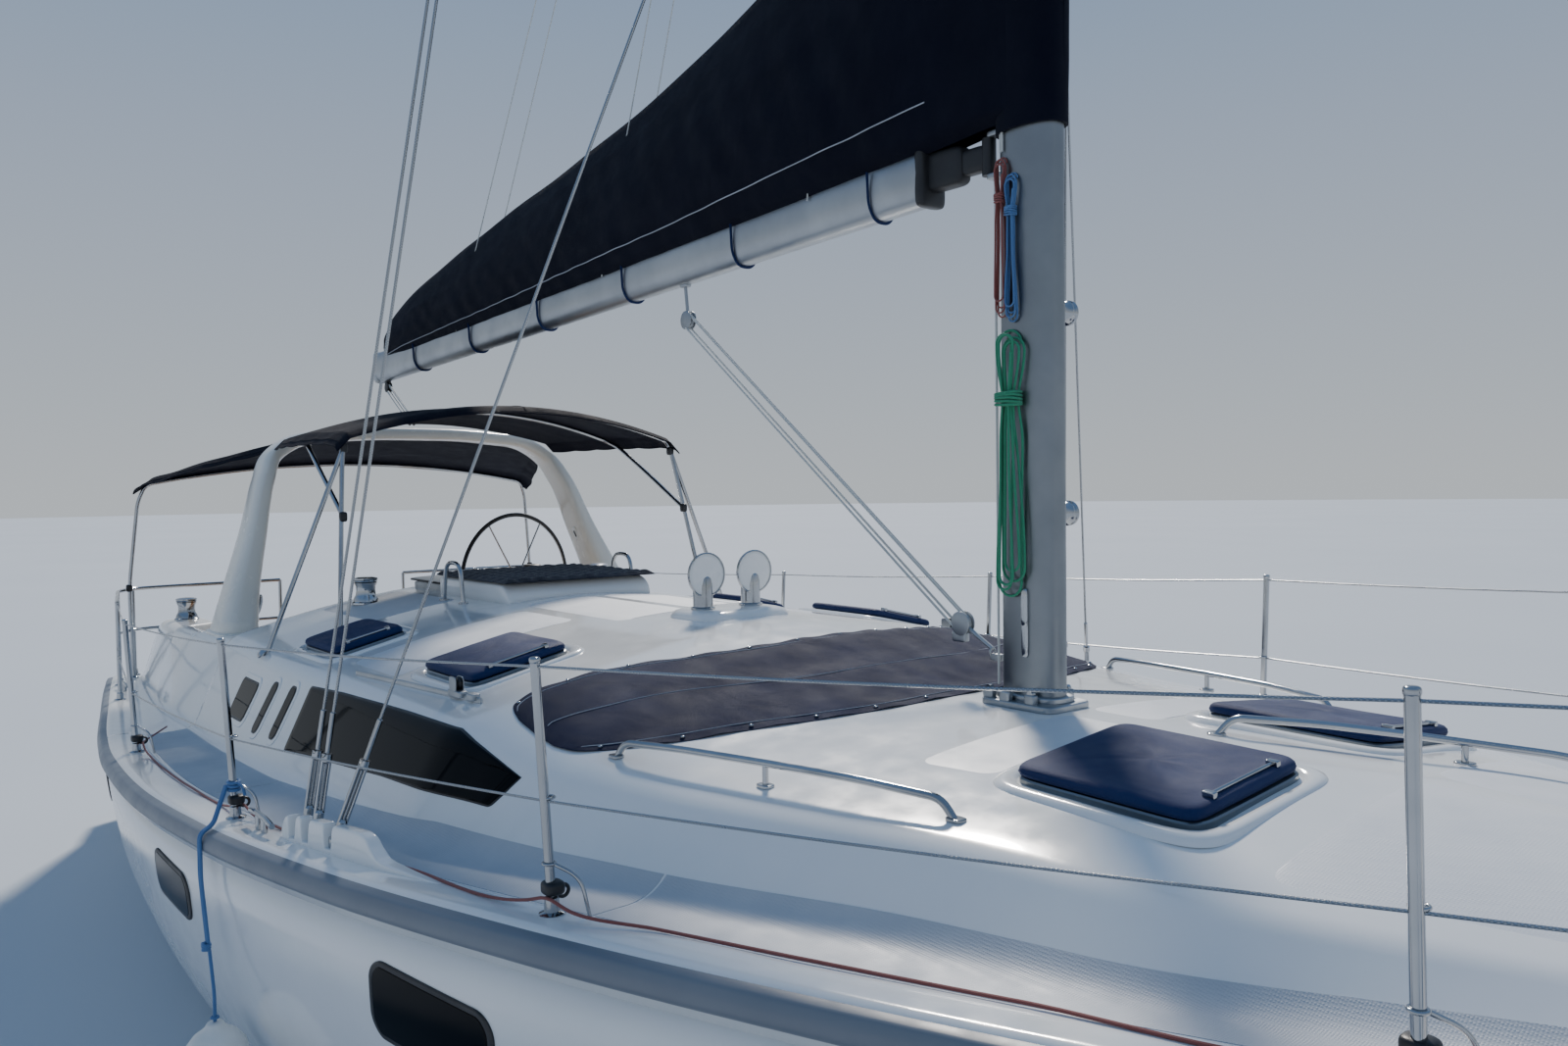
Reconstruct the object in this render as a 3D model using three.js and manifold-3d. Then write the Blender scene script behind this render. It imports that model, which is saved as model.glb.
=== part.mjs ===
// A sloop-rigged cruising yacht with a cockpit arch, about 12.4 m long.
// Millimetres. +X points to the bow, +Y to port, +Z up. The origin is on the
// centreline amidships, in the plane of the waterline.

import * as THREE from 'three';
import * as BufferGeometryUtils from 'three/addons/utils/BufferGeometryUtils.js';
import Module from 'manifold-3d';

const wasm = await Module();
wasm.setup();

// Driving dimensions
const GAP = 0.3;                 // clearance between pieces that rest on each other
const HULL_WALL = 55;            // laminate and core of the hull
const DECK_WALL = 30;            // laminate and core of the deck
const HULL_FLARE = 150;          // how far the topsides lean in from the sheer to the keel
const GUNWALE_RISE = 110;        // from the hull and deck joint up to the toe rail's top
const TRUNK_END_X = -2920;       // after edge of the coachroof
const COCKPIT_END_X = -5400;     // transom wall of the cockpit
const COCKPIT_SOLE_Z = 980;
const SEAT_Z = 1380;

const MAST_X = 1550;
const MAST_CHORD = 230;
const MAST_WIDTH = 130;
const MAST_FOOT_Z = 1718;
const MAST_TOP_Z = 18400;

const BOOM_PIVOT_X = 1370;       // gooseneck pin, on the centreline
const BOOM_PIVOT_Z = 3555;
const BOOM_FRONT_X = 1100;
const BOOM_END_X = -4390;
const BOOM_END_Z = 3350;
const BOOM_HEIGHT = 220;
const BOOM_WIDTH = 130;

const SPREADER_SWEEP = 32;       // degrees aft
const WIRE_RADIUS = 5;
const TUBE_RADIUS = 12.5;        // stainless rails and bimini tubes
const STANCHION_HEIGHT = 635;

const WHEEL_CENTRE = [-3950, 800, 1790];
const WHEEL_RADIUS = 480;
const WHEEL_TURN = 13;           // degrees that the wheel faces away from the centreline

// Hull stations: x at the sheer, half beam, sheer height, keel height,
// fullness of the section and lean of the section plane.
const HULL = [
  { x: 6200, beam: 30, sheer: 1530, keel: -50, full: 1.2, lean: 0.27 },
  { x: 5700, beam: 275, sheer: 1510, keel: -220, full: 1.3, lean: 0.22 },
  { x: 5000, beam: 590, sheer: 1480, keel: -370, full: 1.45, lean: 0.15 },
  { x: 4000, beam: 955, sheer: 1430, keel: -500, full: 1.7, lean: 0.07 },
  { x: 3200, beam: 1215, sheer: 1390, keel: -570, full: 1.9, lean: 0.03 },
  { x: 2400, beam: 1500, sheer: 1350, keel: -610, full: 2.05, lean: 0 },
  { x: 1410, beam: 1795, sheer: 1300, keel: -640, full: 2.2, lean: 0 },
  { x: 500, beam: 1985, sheer: 1250, keel: -655, full: 2.3, lean: 0 },
  { x: -410, beam: 2095, sheer: 1200, keel: -660, full: 2.35, lean: 0 },
  { x: -1300, beam: 2135, sheer: 1155, keel: -645, full: 2.4, lean: 0 },
  { x: -2290, beam: 2095, sheer: 1110, keel: -600, full: 2.45, lean: 0 },
  { x: -2920, beam: 2030, sheer: 1092, keel: -555, full: 2.5, lean: 0 },
  { x: -4100, beam: 1850, sheer: 1070, keel: -390, full: 2.5, lean: 0 },
  { x: -4900, beam: 1720, sheer: 1062, keel: -215, full: 2.5, lean: 0 },
  { x: -5400, beam: 1630, sheer: 1060, keel: -110, full: 2.5, lean: 0 },
  { x: -5760, beam: 1565, sheer: 395, keel: -35, full: 2.3, lean: 0 },
  { x: -6200, beam: 1440, sheer: 395, keel: 80, full: 2.1, lean: 0 },
];

// Coachroof lines: x, half width at the trunk's foot and at its shoulder,
// height of the shoulder and of the roof on the centreline.
const TRUNK = [
  { x: -2920, foot: 1610, shoulder: 1420, shoulderZ: 1660, roofZ: 1895 },
  { x: -1300, foot: 1640, shoulder: 1450, shoulderZ: 1660, roofZ: 1900 },
  { x: 170, foot: 1635, shoulder: 1450, shoulderZ: 1655, roofZ: 1900 },
  { x: 500, foot: 1600, shoulder: 1410, shoulderZ: 1650, roofZ: 1880 },
  { x: 900, foot: 1540, shoulder: 1350, shoulderZ: 1625, roofZ: 1800 },
  { x: 1240, foot: 1465, shoulder: 1280, shoulderZ: 1622, roofZ: 1740 },
  { x: 1500, foot: 1405, shoulder: 1215, shoulderZ: 1625, roofZ: 1735 },
  { x: 2100, foot: 1220, shoulder: 1055, shoulderZ: 1630, roofZ: 1735 },
  { x: 2570, foot: 1115, shoulder: 950, shoulderZ: 1615, roofZ: 1730 },
  { x: 3200, foot: 860, shoulder: 700, shoulderZ: 1590, roofZ: 1690 },
  { x: 3800, foot: 560, shoulder: 430, shoulderZ: 1565, roofZ: 1620 },
  { x: 4300, foot: 330, shoulder: 230, shoulderZ: 1560, roofZ: 1580 },
  { x: 5000, foot: 260, shoulder: 180, shoulderZ: 1592, roofZ: 1600 },
  { x: 5700, foot: 110, shoulder: 75, shoulderZ: 1612, roofZ: 1618 },
  { x: 6200, foot: 12, shoulder: 8, shoulderZ: 1622, roofZ: 1626 },
];

// Cockpit lines: x, coaming foot, coaming top outer and inner edge, its
// height, and the half width of the footwell.
const COCKPIT = [
  { x: -2920.3, foot: 1610, outer: 1420, inner: 1120, topZ: 1650, well: 480 },
  { x: -3600, foot: 1600, outer: 1430, inner: 1120, topZ: 1635, well: 480 },
  { x: -3720, foot: 1595, outer: 1435, inner: 1330, topZ: 1620, well: 1180 },
  { x: -4250, foot: 1560, outer: 1425, inner: 1325, topZ: 1605, well: 1180 },
  { x: -4420, foot: 1545, outer: 1415, inner: 1140, topZ: 1600, well: 700 },
  { x: -5000, foot: 1490, outer: 1370, inner: 1110, topZ: 1580, well: 700 },
  { x: -5400, foot: 1430, outer: 1310, inner: 1060, topZ: 1520, well: 700 },
];

// Standing rigging points
const CHAINPLATE = { x: 240, y: 1895, z: 1330 };
const LOWER_SPREADER = { z: 7200, length: 1330, hole: 16 };
const UPPER_SPREADER = { z: 12500, length: 1010, hole: 16 };
const HOUNDS_Z = 17300;
const STEM_HEAD = [5960, 0, 1790];
const STAY_HEAD = [MAST_X + 181, 0, HOUNDS_Z - 10];
const DRUM_FOOT = 40;            // from the stem head up the stay to the furling drum

// Guard rail stanchions: x, deck edge distance in from the beam
const STANCHIONS = [3210, 1410, -410, -2290];

// Surface finishes
const finish = (color, roughness, metalness) =>
  new THREE.MeshStandardMaterial({ color, roughness, metalness });
const GELCOAT = finish(0xf1f0ea, 0.28, 0);
const CREAM = finish(0xe9e4d3, 0.35, 0);
const BAND = finish(0x8f9bab, 0.45, 0);
const SMOKED = finish(0x14181d, 0.12, 0);
const STEEL = finish(0xc9cccf, 0.2, 1);
const ALLOY = finish(0xb9bbbd, 0.4, 0.9);
const NAVY = finish(0x1b2238, 0.85, 0);
const BLACK = finish(0x1c1c1e, 0.5, 0);
const BRONZE = finish(0x9a7b45, 0.35, 1);
const IRON = finish(0x3a4a5c, 0.6, 0);
const TEAK = finish(0x8d6440, 0.7, 0);
const CORD = finish(0x5b7f8c, 0.8, 0);

// Value of one column of a station table at x
function column(table, x, name) {
  const rising = table[0].x < table[1].x;
  const rows = rising ? table : [...table].reverse();
  if (x <= rows[0].x) return rows[0][name];
  for (let i = 1; i < rows.length; i += 1) {
    if (x > rows[i].x) continue;
    const t = (x - rows[i - 1].x) / (rows[i].x - rows[i - 1].x);
    return THREE.MathUtils.lerp(rows[i - 1][name], rows[i][name], t);
  }
  return rows[rows.length - 1][name];
}

// Closed solid between two sheets of points, rows by columns, of equal size
function between(rowsA, rowsB) {
  const rows = rowsA.length;
  const cols = rowsA[0].length;
  const ring = rowsA.map((row, i) => [...row, ...[...rowsB[i]].reverse()]);
  const count = 2 * cols;
  const index = [];
  const quad = (a, b, c, d) => index.push(a, b, c, a, c, d);
  for (let i = 0; i < rows - 1; i += 1) {
    for (let j = 0; j < count; j += 1) {
      const k = (j + 1) % count;
      quad(i * count + j, i * count + k, (i + 1) * count + k, (i + 1) * count + j);
    }
  }
  for (const [i, flip] of [[0, true], [rows - 1, false]]) {
    for (let j = 0; j < cols - 1; j += 1) {
      const corners = [j, j + 1, count - 2 - j, count - 1 - j].map((c) => i * count + c);
      if (flip) corners.reverse();
      quad(...corners);
    }
  }
  const geometry = new THREE.BufferGeometry();
  geometry.setAttribute('position', new THREE.Float32BufferAttribute(ring.flat(2), 3));
  geometry.setIndex(index);
  return outward(geometry);
}

// Turn every face outwards, judged by the sign of the enclosed volume
function outward(geometry) {
  const p = geometry.attributes.position;
  const index = geometry.index.array;
  const [a, b, c] = [new THREE.Vector3(), new THREE.Vector3(), new THREE.Vector3()];
  let volume = 0;
  for (let i = 0; i < index.length; i += 3) {
    a.fromBufferAttribute(p, index[i]);
    b.fromBufferAttribute(p, index[i + 1]);
    c.fromBufferAttribute(p, index[i + 2]);
    volume += a.dot(b.cross(c));
  }
  if (volume < 0) geometry.setIndex([...index].reverse());
  return geometry;
}

// three.js geometry to a solid for joining and cutting, and back
function solid(source) {
  let geometry = source.clone();
  geometry.deleteAttribute('normal');
  geometry.deleteAttribute('uv');
  geometry = BufferGeometryUtils.mergeVertices(geometry, 1e-3);
  return new wasm.Manifold(new wasm.Mesh({
    numProp: 3,
    vertProperties: new Float32Array(geometry.attributes.position.array),
    triVerts: new Uint32Array(geometry.index.array),
  }));
}

function surface(manifold) {
  const mesh = manifold.getMesh();
  const geometry = new THREE.BufferGeometry();
  geometry.setAttribute('position', new THREE.BufferAttribute(mesh.vertProperties, 3));
  geometry.setIndex(new THREE.BufferAttribute(mesh.triVerts, 1));
  return geometry;
}

const join = (...parts) => parts.reduce((sum, part) => sum.add(part));

// Simple solids, placed in the boat's frame
function box(low, high) {
  const size = high.map((h, i) => h - low[i]);
  const geometry = new THREE.BoxGeometry(...size);
  geometry.translate(...high.map((h, i) => (h + low[i]) / 2));
  return solid(geometry);
}

function rod(from, to, radius, sides = 8, endRadius = radius) {
  const a = new THREE.Vector3(...from);
  const b = new THREE.Vector3(...to);
  const axis = b.clone().sub(a);
  const geometry = new THREE.CylinderGeometry(endRadius, radius, axis.length(), sides);
  geometry.applyQuaternion(new THREE.Quaternion().setFromUnitVectors(
    new THREE.Vector3(0, 1, 0), axis.clone().normalize()));
  geometry.translate(...a.add(b).multiplyScalar(0.5).toArray());
  return solid(geometry);
}

// Route through a list of points, one extrusion step from each to the next
class Route extends THREE.Curve {
  constructor(points) {
    super();
    this.points = points;
  }

  getPointAt(t, target = new THREE.Vector3()) {
    return target.copy(this.points[Math.round(t * (this.points.length - 1))]);
  }

  getTangentAt(t, target = new THREE.Vector3()) {
    const last = this.points.length - 1;
    const i = Math.round(t * last);
    const [here, before, after] = [i, Math.max(0, i - 1), Math.min(last, i + 1)].map((k) => this.points[k]);
    const into = here.clone().sub(before).normalize();
    const out = after.clone().sub(here).normalize();
    return target.copy(into).add(out).normalize();
  }
}

// Round tube in straight lengths, bent to a radius at the corners
function bentTube(points, radius, bend = 120, sides = 6) {
  const corners = points.map((p) => new THREE.Vector3(...p));
  const route = [corners[0]];
  for (let i = 1; i < corners.length - 1; i += 1) {
    const back = corners[i - 1].clone().sub(corners[i]);
    const on = corners[i + 1].clone().sub(corners[i]);
    const turn = Math.PI - back.angleTo(on);
    const cut = Math.min(bend * Math.tan(turn / 2), 0.45 * back.length(), 0.45 * on.length());
    const steps = Math.ceil(turn / 0.4);
    const arc = new THREE.QuadraticBezierCurve3(
      back.setLength(cut).add(corners[i]), corners[i], on.setLength(cut).add(corners[i]));
    route.push(...(steps > 1 ? arc.getPoints(steps) : [corners[i]]));
  }
  route.push(corners[corners.length - 1]);
  const shape = new THREE.Shape(ellipse(radius, radius, sides).map(([a, b]) => new THREE.Vector2(a, b)));
  return solid(new THREE.ExtrudeGeometry(shape, {
    steps: route.length - 1, extrudePath: new Route(route), bevelEnabled: false }));
}

// Points of an ellipse about the origin
function ellipse(a, b, count) {
  return Array.from({ length: count }, (_, i) => {
    const t = (2 * Math.PI * i) / count;
    return [a * Math.cos(t), b * Math.sin(t)];
  });
}

// Turned piece: profile of [radius, height] pairs about +Z, moved to a place
function turned(profile, place, sides = 16, axis = [0, 0, 1]) {
  const points = profile.map(([r, h]) => new THREE.Vector2(r, h));
  const geometry = new THREE.LatheGeometry(points, sides);
  geometry.applyQuaternion(new THREE.Quaternion().setFromUnitVectors(
    new THREE.Vector3(0, 1, 0), new THREE.Vector3(...axis).normalize()));
  geometry.translate(...place);
  return solid(outward(BufferGeometryUtils.mergeVertices(positionsOnly(geometry), 1e-3)));
}

function positionsOnly(geometry) {
  geometry.deleteAttribute('normal');
  geometry.deleteAttribute('uv');
  return geometry;
}

// Flat outline of [a, b] pairs, thick from low to high along the named axis
function plate(outline, low, high, axis = 'z') {
  const shape = new THREE.Shape(outline.map(([a, b]) => new THREE.Vector2(a, b)));
  const geometry = new THREE.ExtrudeGeometry(shape, { depth: high - low, bevelEnabled: false });
  geometry.translate(0, 0, axis === 'y' ? -high : low);
  const turn = new THREE.Matrix4();
  if (axis === 'x') turn.set(0, 0, 1, 0, 1, 0, 0, 0, 0, 1, 0, 0, 0, 0, 0, 1);
  if (axis === 'y') turn.set(1, 0, 0, 0, 0, 0, -1, 0, 0, 1, 0, 0, 0, 0, 0, 1);
  geometry.applyMatrix4(turn);
  return solid(geometry);
}

// Hull section as a superellipse from the keel (0) to the sheer (1)
const HULL_STEPS = [0, 0.16, 0.3, 0.44, 0.57, 0.69, 0.8, 0.9, 1];
function hullHalf(row, side, inset, lift) {
  const beam = Math.max(row.beam - inset, 20);
  const keel = row.keel + inset;
  const sheer = row.sheer;
  return HULL_STEPS.map((t) => {
    const angle = (t * Math.PI) / 2;
    const z = sheer - (sheer - keel) * Math.cos(angle) ** (2 / row.full);
    const flare = (HULL_FLARE * (row.beam / 2100) * (sheer - z)) / (sheer - keel);
    const y = Math.max(20, beam * Math.sin(angle) ** (2 / row.full) - flare);
    return [row.x - row.lean * (sheer - z), side * y, z + (t === 1 ? lift : 0)];
  });
}

function hullSolid() {
  return solid(between(
    HULL.map((row) => hullHalf(row, 1, 0, 0)),
    HULL.map((row) => hullHalf(row, -1, 0, 0))));
}

// Hollow inside the hull, open at the sheer, from the bow to the transom wall
function hullHollow(inset) {
  const rows = HULL.filter((row) => row.x > -5500 && row.x < 6000);
  const bow = { ...rows[0], x: rows[0].x - inset };
  const stern = { ...rows[rows.length - 1], x: -5400 + inset };
  const inner = [bow, ...rows.slice(1, -1), stern];
  return solid(between(
    inner.map((row) => hullHalf(row, 1, inset, 60)),
    inner.map((row) => hullHalf(row, -1, inset, 60))));
}

// Heights that the deck is built from
const sheerAt = (x) => column(HULL, x, 'sheer');
const beamAt = (x) => column(HULL, x, 'beam');
const railTop = (x) => sheerAt(x) + GUNWALE_RISE;
const sideDeck = (x) => railTop(x) - 18;

function roofHeight(x, y) {
  const shoulder = column(TRUNK, x, 'shoulder');
  const top = column(TRUNK, x, 'roofZ');
  const edge = column(TRUNK, x, 'shoulderZ');
  return top - (top - edge) * Math.min(1, Math.abs(y) / shoulder) ** 1.8;
}

// Gunwale and side deck, shared by the deck and the cockpit moulding
function gunwale(x, foot) {
  const m = Math.min(1, beamAt(x) / 600);
  const beam = beamAt(x);
  const low = sheerAt(x);
  const top = railTop(x);
  const deck = sideDeck(x);
  return {
    outer: [
      [beam, low + GAP], [beam, top - 40], [beam - 12 * m, top - 10], [beam - 40 * m, top],
      [beam - 150 * m, top], [beam - 176 * m, top - 24 * m], [foot + 6 * m, deck],
    ],
    inner: [
      [beam - 58 * m, low + GAP], [beam - 64 * m, low + 22], [beam - 80 * m, low + 34],
      [beam - 95 * m, top - 70 * m], [beam - 160 * m, top - 58 * m], [beam - 188 * m, top - 55 * m],
      [foot - 24 * m, deck - DECK_WALL],
    ],
  };
}

// Half profile of the deck and coachroof at x, outside and inside
function deckHalf(x) {
  const row = (name) => column(TRUNK, x, name);
  const foot = row('foot');
  const shoulder = row('shoulder');
  const m = Math.min(1, beamAt(x) / 600);
  const deck = sideDeck(x);
  const rise = row('shoulderZ') - deck;
  const edge = gunwale(x, foot);
  const roof = (share) => [share * shoulder, roofHeight(x, share * shoulder)];
  const outer = [
    ...edge.outer, [foot - 8 * m, deck + 0.08 * rise],
    [(foot + shoulder) / 2, deck + 0.5 * rise], [shoulder + 8 * m, deck + 0.9 * rise],
    [shoulder - 8 * m, deck + 0.98 * rise], roof(0.95), roof(0.8), roof(0.58), roof(0.3), roof(0.1),
  ];
  const wall = DECK_WALL * m;
  const inner = [
    ...edge.inner, [foot - 8 * m - wall, deck + 0.08 * rise - wall * 0.5],
    [(foot + shoulder) / 2 - wall, deck + 0.5 * rise - wall * 0.4],
    [shoulder + 8 * m - wall, deck + 0.9 * rise - wall * 0.5],
    [shoulder - 8 * m - wall, deck + 0.98 * rise - wall * 0.9],
    ...[0.93, 0.78, 0.57, 0.3, 0.1].map((share) => [
      share * shoulder, roofHeight(x, share * shoulder) - wall]),
  ];
  return { outer, inner };
}

// Half profile of the cockpit moulding at x, outside and inside
function cockpitHalf(x) {
  const at = (name) => column(COCKPIT, x, name);
  const deck = sideDeck(x);
  const wall = DECK_WALL;
  const top = at('topZ');
  const [foot, out, inn, well] = [at('foot'), at('outer'), at('inner'), at('well')];
  const edge = gunwale(x, foot);
  const outer = [
    ...edge.outer, [foot - 8, deck + 25], [(foot + out) / 2, (deck + top) / 2],
    [out + 8, top - 30], [out - 20, top], [inn + 18, top], [inn, top - 20],
    [inn - 25, SEAT_Z], [well, SEAT_Z - 12], [well - 25, COCKPIT_SOLE_Z], [well * 0.5, COCKPIT_SOLE_Z],
  ];
  const inner = [
    ...edge.inner, [foot - 8 - wall, deck + 10], [(foot + out) / 2 - wall, (deck + top) / 2 - 10],
    [out + 8 - wall, top - 46], [out - 20 - wall, top - wall], [inn + 18 + wall, top - wall],
    [inn + wall, top - 46], [inn + 5, SEAT_Z - wall - 2], [well + wall, SEAT_Z - wall - 14],
    [well - 25 + wall, COCKPIT_SOLE_Z - wall], [well * 0.5, COCKPIT_SOLE_Z - wall],
  ];
  return { outer, inner };
}

// Full profile from port to starboard out of a half profile, leaned as the hull is
function fullProfile(x, half) {
  const lean = column(HULL, x, 'lean');
  const low = sheerAt(x);
  const place = ([y, z]) => [x + lean * (z - low), y, z];
  const mirror = [...half].reverse().map(([y, z]) => [-y, z]);
  return [...half, ...mirror].map(place);
}

function deckShell() {
  const xs = [...new Set([...HULL, ...TRUNK].map((row) => row.x))]
    .filter((x) => x >= TRUNK_END_X && x <= 6200).sort((a, b) => a - b);
  const halves = xs.map(deckHalf);
  return solid(between(
    xs.map((x, i) => fullProfile(x, halves[i].outer)),
    xs.map((x, i) => fullProfile(x, halves[i].inner))));
}

function cockpitShell() {
  const hullXs = HULL.map((row) => row.x).filter((x) => x > COCKPIT_END_X && x < -2930);
  const xs = [...new Set([...COCKPIT.map((row) => row.x), ...hullXs])].sort((a, b) => a - b);
  const halves = xs.map(cockpitHalf);
  return solid(between(
    xs.map((x, i) => fullProfile(x, halves[i].outer)),
    xs.map((x, i) => fullProfile(x, halves[i].inner))));
}

// Plane of the roof at a point, as a matrix that lays a flat piece on it
function roofPlane(x, y) {
  const d = 120;
  const slopeX = (roofHeight(x + d, y) - roofHeight(x - d, y)) / (2 * d);
  const slopeY = (roofHeight(x, y + d) - roofHeight(x, y - d)) / (2 * d);
  const along = new THREE.Vector3(1, 0, slopeX).normalize();
  const up = new THREE.Vector3(-slopeX, -slopeY, 1).normalize();
  const across = up.clone().cross(along).normalize();
  const matrix = new THREE.Matrix4().makeBasis(along, across, up);
  return matrix.setPosition(x, y, roofHeight(x, y));
}

const boxOf = (length, width, low, high) => {
  const geometry = new THREE.BoxGeometry(length, width, high - low);
  geometry.translate(0, 0, (low + high) / 2);
  return geometry;
};
const laid = (geometry, matrix) => solid(geometry.clone().applyMatrix4(matrix));

// Opening hatches: name, place on starboard or port, size; the lid's top
// carries its fitted cover.
const HATCHES = [
  { name: 'fore_hatch', x: 2300, y: 445, length: 520, width: 470 },
  { name: 'mid_hatch', x: -340, y: 1020, length: 480, width: 400 },
  { name: 'aft_hatch', x: -1640, y: 1150, length: 480, width: 320 },
];
const SIDES = [
  { side: 'starboard', sign: -1 },
  { side: 'port', sign: 1 },
];
const HATCH_FRAME = 24;
const HATCH_SEAT = 14;
const HATCH_LID = 44;

// Smoked side window and the three slots behind it: outlines along the cabin
// side, as [x, share of the height from the side deck to the shoulder]
const SIDE_WINDOWS = [
  [[-1262, 0.26], [625, 0.40], [694, 0.72], [268, 0.92], [-1240, 0.86]],
  [[-1512, 0.29], [-1434, 0.29], [-1398, 0.81], [-1476, 0.81]],
  [[-1808, 0.27], [-1730, 0.27], [-1672, 0.78], [-1750, 0.78]],
  [[-2320, 0.31], [-2028, 0.31], [-1976, 0.70], [-2286, 0.70]],
];

function sidePoint(x, share, sign, offset) {
  const foot = column(TRUNK, x, 'foot');
  const shoulder = column(TRUNK, x, 'shoulder');
  const deck = sideDeck(x);
  const rise = column(TRUNK, x, 'shoulderZ') - deck;
  const y = THREE.MathUtils.lerp(foot, shoulder, share);
  return [x, sign * (y + offset), deck + rise * share + offset * 0.4];
}

// Slab that follows the cabin side between two offsets from its surface
function sideSlab(sign, low, high, fromX, toX, topShare = 0.95) {
  const xs = [fromX, ...TRUNK.map((row) => row.x).filter((x) => x > fromX && x < toX), toX];
  const shares = [0.1, 0.5, topShare];
  return solid(between(
    xs.map((x) => shares.map((share) => sidePoint(x, share, sign, low))),
    xs.map((x) => shares.map((share) => sidePoint(x, share, sign, high)))));
}

// Prism across the cabin side with a window's outline, grown by a margin
function windowPrism(outline, sign, margin) {
  const points = outline.map(([x, share]) => {
    const [, , z] = sidePoint(x, share, sign, 0);
    return [x, z];
  });
  const cx = points.reduce((sum, p) => sum + p[0], 0) / points.length;
  const cz = points.reduce((sum, p) => sum + p[1], 0) / points.length;
  const grown = points.map(([x, z]) => [x + margin * Math.sign(x - cx), z + margin * Math.sign(z - cz)]);
  const [low, high] = sign > 0 ? [1300, 1750] : [-1750, -1300];
  return plate(grown, low, high, 'y');
}

function glazing(sign, deckSolid) {
  const slab = sideSlab(sign, -44, 1, -2400, 800);
  const panes = SIDE_WINDOWS.map((outline) => slab.intersect(windowPrism(outline, sign, -0.6)));
  const backing = sideSlab(sign, -46, -38, -2380, 760, 0.8);
  return mainBody(join(backing, ...panes)
    .subtract(deckSolid.translate(0, -sign * GAP, 0)).subtract(deckSolid.translate(0, sign * GAP, 0)));
}

// Companionway: slide on its runners, running forward under the hood
const HOOD = { aft: -2350, fore: -1480, half: 430, top: 1980, wall: 15 };
const OPENING_HALF = 330;
const RUNNER_TOP = 1914;

function hood() {
  const outer = box([HOOD.aft, -HOOD.half, 1850], [HOOD.fore, HOOD.half, HOOD.top]);
  const w = HOOD.wall;
  const inner = box([HOOD.aft - 10, -HOOD.half + w, 1800], [HOOD.fore - w, HOOD.half - w, HOOD.top - w]);
  return outer.subtract(inner);
}

function runners() {
  const run = (y) => box([TRUNK_END_X + 6, y - 15, 1850], [HOOD.fore - 40, y + 15, RUNNER_TOP]);
  return run(OPENING_HALF + 22).add(run(-OPENING_HALF - 22));
}

function slide() {
  return box([TRUNK_END_X - 30, -375, RUNNER_TOP + 0.5], [HOOD.aft + 50, 375, RUNNER_TOP + 24]);
}

// Deck with its hatch frames, hood and openings
function hatchParts(hatch, sign) {
  const place = roofPlane(hatch.x, sign * hatch.y);
  const frame = boxOf(hatch.length + HATCH_FRAME, hatch.width + HATCH_FRAME, -24, HATCH_SEAT);
  const cut = boxOf(hatch.length - 70, hatch.width - 70, -90, 60);
  const lid = boxOf(hatch.length, hatch.width, HATCH_SEAT + GAP, HATCH_LID);
  return { frame: laid(frame, place), cut: laid(cut, place), lid: laid(lid, place) };
}

// Raised bulwark that the chainplates come up through
function chainBulwark(sign) {
  const stations = [[0, 0], [42, 66], [80, 84], [560, 88], [600, 70], [680, 14], [960, 0]];
  const sheet = (inset) => stations.map(([x, rise]) => [-12, rise + 1].map((up) => [
    x, sign * (beamAt(x) - inset), railTop(x) + up]));
  return solid(between(sheet(76), sheet(128)));
}

const LOCKER = { name: 'anchor_locker_lid', x: 5120, y: 0, length: 460, width: 300 };

function deck() {
  let shell = join(deckShell(), hood(), runners(), chainBulwark(1), chainBulwark(-1));
  const hatches = [];
  for (const hatch of HATCHES) {
    for (const { sign } of SIDES) hatches.push(hatchParts(hatch, sign));
  }
  hatches.push(hatchParts(LOCKER, 1));
  for (const hatch of hatches) shell = shell.add(hatch.frame);
  for (const hatch of hatches) shell = shell.subtract(hatch.cut);
  for (const outline of SIDE_WINDOWS) {
    for (const { sign } of SIDES) shell = shell.subtract(windowPrism(outline, sign, 0));
  }
  return shell.subtract(box([TRUNK_END_X - 5, -OPENING_HALF, 1800], [-2400, OPENING_HALF, 2100]));
}

// The largest of a solid's separate bodies
function mainBody(whole) {
  return whole.decompose().reduce((best, part) => (part.volume() > best.volume() ? part : best));
}

// What is left of a piece above the moulding that it stands on
const seated = (piece, base) => mainBody(piece.subtract(base.translate(0, 0, GAP)));

// Transom wall of the cockpit, open at the centre as a way to the platform
function cockpit() {
  const wall = plate([
    [-1290, 1500], [-1060, 1500], [-1020, SEAT_Z], [-320, SEAT_Z - 20], [-320, COCKPIT_SOLE_Z],
    [320, COCKPIT_SOLE_Z], [320, SEAT_Z - 20], [1020, SEAT_Z], [1060, 1500], [1290, 1500],
    [1400, 1130], [1400, 960], [-1400, 960], [-1400, 1130],
  ], COCKPIT_END_X, COCKPIT_END_X + 30, 'x');
  return cockpitShell().add(wall);
}

function bulkhead() {
  const { inner } = deckHalf(TRUNK_END_X + 30);
  const half = inner.slice(6).filter(([y]) => y > 340).map(([y, z]) => [y - 0.5, z - 0.6]);
  const top = [...half, [330, 1840]];
  const outline = [
    ...top, [330, 1300], [-330, 1300], ...[...top].reverse().map(([y, z]) => [-y, z]),
    [-1560, 900], [-1300, 700], [1300, 700], [1560, 900],
  ];
  return plate(outline, TRUNK_END_X + 10, TRUNK_END_X + 40, 'x');
}

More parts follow.
